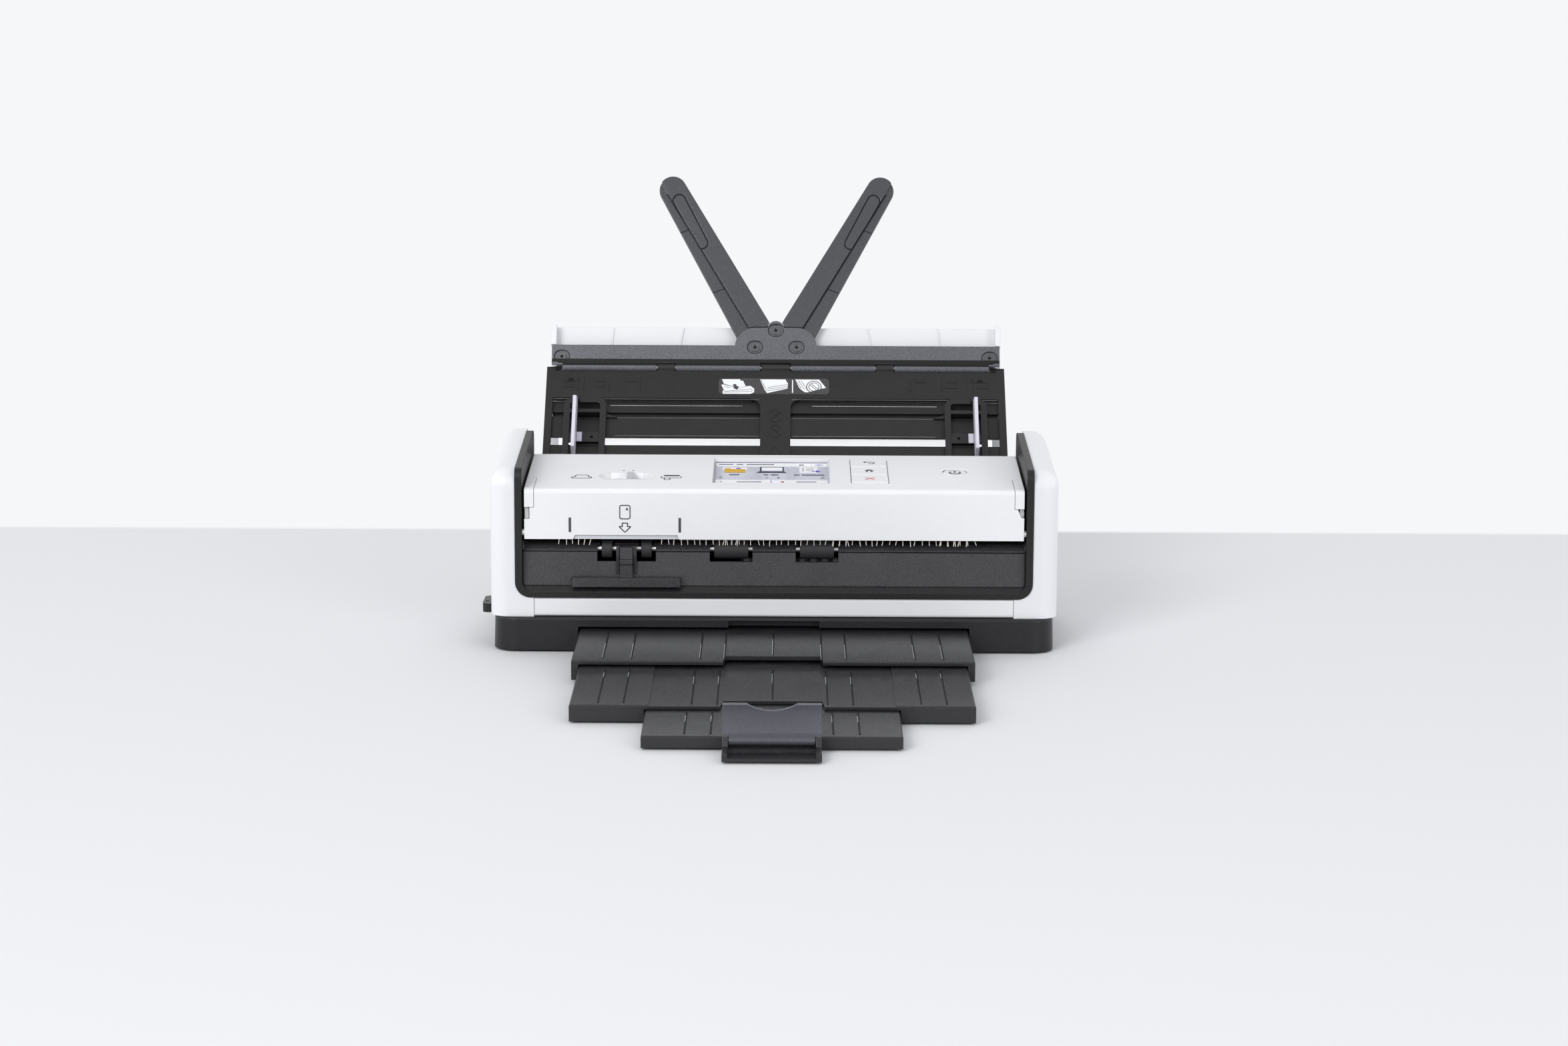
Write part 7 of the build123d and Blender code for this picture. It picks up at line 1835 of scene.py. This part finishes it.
@dataclass
class GuideDetails:
    """Each document guide's rack carriage, with its hook and the seat of its folding flap.

    Attributes:
        carriage: Inner and outer end of the carriage across the chute, in millimetres.
        seats: Inner and outer end of each part of the seat.
    """

    carriage: Span = (94.4, 110.2)
    seats: tuple[Span, ...] = ((104.6, 107.4), (109.6, 110.3))

    def build(self, wardrobe: Wardrobe) -> None:
        """Makes the details of both guides.

        Args:
            wardrobe: Dresses them.
        """
        for side, body in ((LEFT, "left_guide"), (RIGHT, "right_guide")):
            self._carriage(side, body, wardrobe)
            self._seat(side, body, wardrobe)

    @staticmethod
    def _on_side(side: int, span: Span) -> Span:
        """Puts a stretch on one side of the chute.

        Args:
            side: -1 for the left, 1 for the right.
            span: Inner and outer end on the right side.

        Returns:
            The stretch, from low to high.
        """
        low, high = sorted(side * end for end in span)
        return (low, high)

    def _carriage(self, side: int, body: str, wardrobe: Wardrobe) -> None:
        """Makes the flat carriage between the chute's bars, and the hook of its rack.

        Args:
            side: -1 for the left guide, 1 for the right one.
            body: The guide's body.
            wardrobe: Dresses it.
        """
        spans = (self._on_side(side, self.carriage),)
        place = CHUTE.matrix()
        strip(body + "_carriage", CARRIAGE, spans, place, body, Look.GUIDE, wardrobe)
        hook = Drawing(body + "_rack_hook", CHUTE, body, Look.GUIDE, -0.6, 0.7)
        hook.polygon([(side * x, t) for x, t in RACK_HOOK]).finish(wardrobe)

    def _seat(self, side: int, body: str, wardrobe: Wardrobe) -> None:
        """Makes the pale seat on the catch plate, which the folding flap stops against.

        Args:
            side: -1 for the left guide, 1 for the right one.
            body: The guide's body.
            wardrobe: Dresses it.
        """
        spans = [self._on_side(side, seat) for seat in self.seats]
        place = CHUTE.matrix()
        strip(body + "_flap_seat", FLAP_SEAT, spans, place, body, Look.FLAP, wardrobe)


@dataclass(frozen=True)
class Lamp:
    """A soft square studio light, aimed at the scanner.

    Attributes:
        name: Its name.
        place: Where it stands, in metres.
        size: Its side, in metres.
        power: Its power in watts.
        target: Where it aims, in metres.
    """

    name: str
    place: tuple[float, float, float]
    size: float
    power: float
    target: tuple[float, float, float] = (0.0, -0.05, 0.06)

    def build(self) -> bpy.types.Object:
        """Hangs the light.

        Returns:
            The light.
        """
        data = bpy.data.lights.new(self.name, "AREA")
        data.size = self.size
        data.energy = self.power
        lamp = bpy.data.objects.new(self.name, data)
        lamp.location = self.place
        aim = Vector(self.target) - Vector(self.place)
        lamp.rotation_mode = "QUATERNION"
        lamp.rotation_quaternion = aim.to_track_quat("-Z", "Y")
        bpy.context.scene.collection.objects.link(lamp)
        return lamp


@dataclass
class CoverLiner:
    """The smooth white inner face of the top cover that shows through the chute's windows.

    Attributes:
        half_width: Half its width, in millimetres.
        low: Its lower edge along the cover.
        high: Its upper edge.
        inner_face: Height of the cover's inner face over its plane.
        gap: How far the liner stands off that face.
        lamp: The light that the studio's white walls send into the gap behind the chute.
    """

    half_width: float = 119.0
    low: float = -75.4
    high: float = -34.5
    inner_face: float = -4.95
    gap: float = 0.005
    lamp: Lamp = Lamp("window_light", (-0.25, -1.8, 0.9), size=1.2, power=60.0)

    def build(self, wardrobe: Wardrobe) -> None:
        """Lays the liner on the cover, and lights it alone.

        Args:
            wardrobe: Dresses it.
        """
        height = self.inner_face + self.gap
        sheet = Drawing("cover_liner", COVER, "top_cover", Look.LINER, height, 0.02)
        sheet.bar(0.0, (self.low + self.high) / 2, 2 * self.half_width, self.high - self.low)
        liner = sheet.finish(wardrobe)
        lit = bpy.data.collections.new("window_lit")
        lit.objects.link(liner)
        lamp = self.lamp.build()
        lamp.light_linking.receiver_collection = lit
        lamp.light_linking.blocker_collection = lit


def background_rays(tree: bpy.types.NodeTree) -> bpy.types.NodeSocket:
    """Tells the rays that show the background: the camera's, and those in metal and glass.

    Args:
        tree: The node tree of the floor's material or of the world.

    Returns:
        A socket that is 1 for such a ray and 0 for the light that falls on the object.
    """
    rays = tree.nodes.new("ShaderNodeLightPath")
    shown = rays.outputs["Is Camera Ray"]
    for kind in ("Is Glossy Ray", "Is Transmission Ray"):
        shown = math_node(tree, "MAXIMUM", shown, rays.outputs[kind])
    return shown


@dataclass
class Stage:
    """Pale floor that turns into a white background behind the scanner.

    Attributes:
        edge: Where the floor ends and the white begins, in metres behind the origin.
        blur: Half the width of the change from floor to white.
        half_size: Half the floor's side, in metres.
        floor_colour: The floor's paint.
        floor_roughness: Its roughness.
        white: Colour of the background.
        fill_colour: Colour of the light from all round.
        fill_depth: How far forwards and back in the sky the light changes.
        fill_strength: Its strength in front of the scanner and behind it.
    """

    edge: float = 0.293
    blur: float = 0.004
    half_size: float = 6.0
    floor_colour: Colour = srgb(225, 225, 228)
    floor_roughness: float = 0.75
    white: Colour = (0.925, 0.93, 0.945)
    fill_colour: Colour = (0.97, 0.98, 1.0)
    fill_depth: Span = (-0.6, 0.6)
    fill_strength: Span = (0.62, 0.98)

    def build(self) -> bpy.types.Object:
        """Makes the floor and its material, and the white world.

        Returns:
            The floor.
        """
        mesh = bmesh.new()
        bmesh.ops.create_grid(mesh, x_segments=1, y_segments=1, size=self.half_size)
        data = bpy.data.meshes.new("floor")
        mesh.to_mesh(data)
        mesh.free()
        floor = bpy.data.objects.new("floor", data)
        bpy.context.scene.collection.objects.link(floor)
        data.materials.append(self._floor_material())
        self._world()
        return floor

    def _floor_material(self) -> bpy.types.Material:
        """Pale floor paint, white to the background's rays beyond the edge.

        Returns:
            The material.
        """
        material = bpy.data.materials.new("floor_paint")
        material.use_nodes = True
        tree = material.node_tree
        shader = find_node(tree, "BSDF_PRINCIPLED")
        shader.inputs["Base Color"].default_value = (*self.floor_colour, 1.0)
        shader.inputs["Roughness"].default_value = self.floor_roughness
        place = tree.nodes.new("ShaderNodeTexCoord")
        depth = axis_of(tree, place.outputs["Object"], "Y")
        beyond = map_range(tree, depth, (self.edge - self.blur, self.edge + self.blur), (0.0, 1.0))
        seen = math_node(tree, "MULTIPLY", beyond, background_rays(tree))
        white = tree.nodes.new("ShaderNodeEmission")
        white.inputs["Color"].default_value = (*self.white, 1.0)
        surface = self._mixed(tree, seen, shader.outputs["BSDF"], white.outputs["Emission"])
        tree.links.new(surface, find_node(tree, "OUTPUT_MATERIAL").inputs["Surface"])
        return material

    def _world(self) -> None:
        """White in the background, and a soft fill elsewhere, brighter behind the scanner."""
        world = bpy.data.worlds.new("studio")
        bpy.context.scene.world = world
        world.use_nodes = True
        tree = world.node_tree
        fill = find_node(tree, "BACKGROUND")
        fill.inputs["Color"].default_value = (*self.fill_colour, 1.0)
        place = tree.nodes.new("ShaderNodeTexCoord")
        depth = axis_of(tree, place.outputs["Generated"], "Y")
        strength = map_range(tree, depth, self.fill_depth, self.fill_strength)
        tree.links.new(strength, fill.inputs["Strength"])
        white = tree.nodes.new("ShaderNodeBackground")
        white.inputs["Color"].default_value = (*self.white, 1.0)
        sky = self._mixed(
            tree, background_rays(tree), fill.outputs["Background"], white.outputs["Background"]
        )
        tree.links.new(sky, find_node(tree, "OUTPUT_WORLD").inputs["Surface"])

    @staticmethod
    def _mixed(
        tree: bpy.types.NodeTree,
        factor: bpy.types.NodeSocket,
        first: bpy.types.NodeSocket,
        second: bpy.types.NodeSocket,
    ) -> bpy.types.NodeSocket:
        """Mixes two shaders.

        Args:
            tree: Where to add the node.
            factor: 0 for the first shader, 1 for the second.
            first: The first shader.
            second: The second shader.

        Returns:
            The mix.
        """
        mix = tree.nodes.new("ShaderNodeMixShader")
        for slot, socket in enumerate((factor, first, second)):
            tree.links.new(socket, mix.inputs[slot])
        return mix.outputs["Shader"]


@dataclass
class Lighting:
    """The studio's lights.

    Attributes:
        front: Two large lights in front of the scanner, which light everything.
        sides: Two small ones beside it, which leave out the floor.
    """

    front: tuple[Lamp, ...] = (
        Lamp("key_light", (-1.7, -3.0, 1.8), size=1.6, power=74.0),
        Lamp("fill_light", (2.2, -3.2, 1.0), size=1.6, power=32.0),
    )
    sides: tuple[Lamp, ...] = (
        Lamp("left_light", (-1.0, 0.1, 0.35), size=0.6, power=2.2),
        Lamp("right_light", (1.0, 0.1, 0.35), size=0.6, power=2.2),
    )

    def build(self, floor: bpy.types.Object) -> None:
        """Hangs the lights.

        Args:
            floor: The floor, on which the side lights would leave a sharp band.
        """
        for lamp in self.front:
            lamp.build()
        unlit = bpy.data.collections.new("side_lights_skip_floor")
        unlit.objects.link(floor)
        unlit.collection_objects[0].light_linking.link_state = "EXCLUDE"
        for lamp in self.sides:
            lamp.build().light_linking.receiver_collection = unlit


@dataclass(frozen=True)
class Viewpoint:
    """The photograph's camera.

    Attributes:
        place: Where it stands, in metres.
        pitch: Degrees that it looks down.
        roll: Degrees that it leans anticlockwise, seen from behind it.
        lens: Focal length for a 36 mm wide picture.
        clip: Nearest and farthest distance that it sees, in metres.
    """

    place: tuple[float, float, float] = (0.005, -1.7901, 0.3833)
    pitch: float = 10.3
    roll: float = 0.27
    lens: float = 79.5
    clip: Span = (0.05, 50.0)

    def build(self) -> None:
        """Makes the camera and puts it in the scene."""
        data = bpy.data.cameras.new("camera")
        data.lens = self.lens
        data.sensor_width = 36.0
        data.clip_start, data.clip_end = self.clip
        camera = bpy.data.objects.new("camera", data)
        down = Matrix.Rotation(math.radians(90.0 - self.pitch), 4, "X")
        lean = Matrix.Rotation(math.radians(self.roll), 4, "Z")
        camera.matrix_world = Matrix.Translation(self.place) @ down @ lean
        bpy.context.scene.collection.objects.link(camera)
        bpy.context.scene.camera = camera


def dress_nodes(nodes: dict[str, bpy.types.Object], wardrobe: Wardrobe) -> None:
    """Gives every node of the CAD model its finish.

    Args:
        nodes: The nodes by name.
        wardrobe: Dresses them.
    """
    undressed = set(nodes)
    for look, names in NODE_LOOKS.items():
        for name in names:
            wardrobe.dress(nodes[name], look)
            undressed.discard(name)
    log.info("nodes without a finish: %s", sorted(undressed))


def main() -> None:
    """Loads the frame, dresses every node, adds the scene's own pieces and lights it all."""
    logging.basicConfig(level=logging.INFO, format="%(message)s")
    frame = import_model()
    wardrobe = Wardrobe()
    dress_nodes(frame["nodes"], wardrobe)
    assemblies = (
        DisplayPicture(),
        PanelMarks(),
        ChuteMarks(),
        BristleRow(),
        TrayGrooves(),
        SupportMarks(),
        ExitBrow(),
        ChuteDetails(),
        GuideDetails(),
        CoverLiner(),
    )
    for assembly in assemblies:
        assembly.build(wardrobe)
    floor = Stage().build()
    Lighting().build(floor)
    Viewpoint().build()
    bpy.context.scene.view_settings.view_transform = "Standard"


if __name__ == "__main__":
    main()
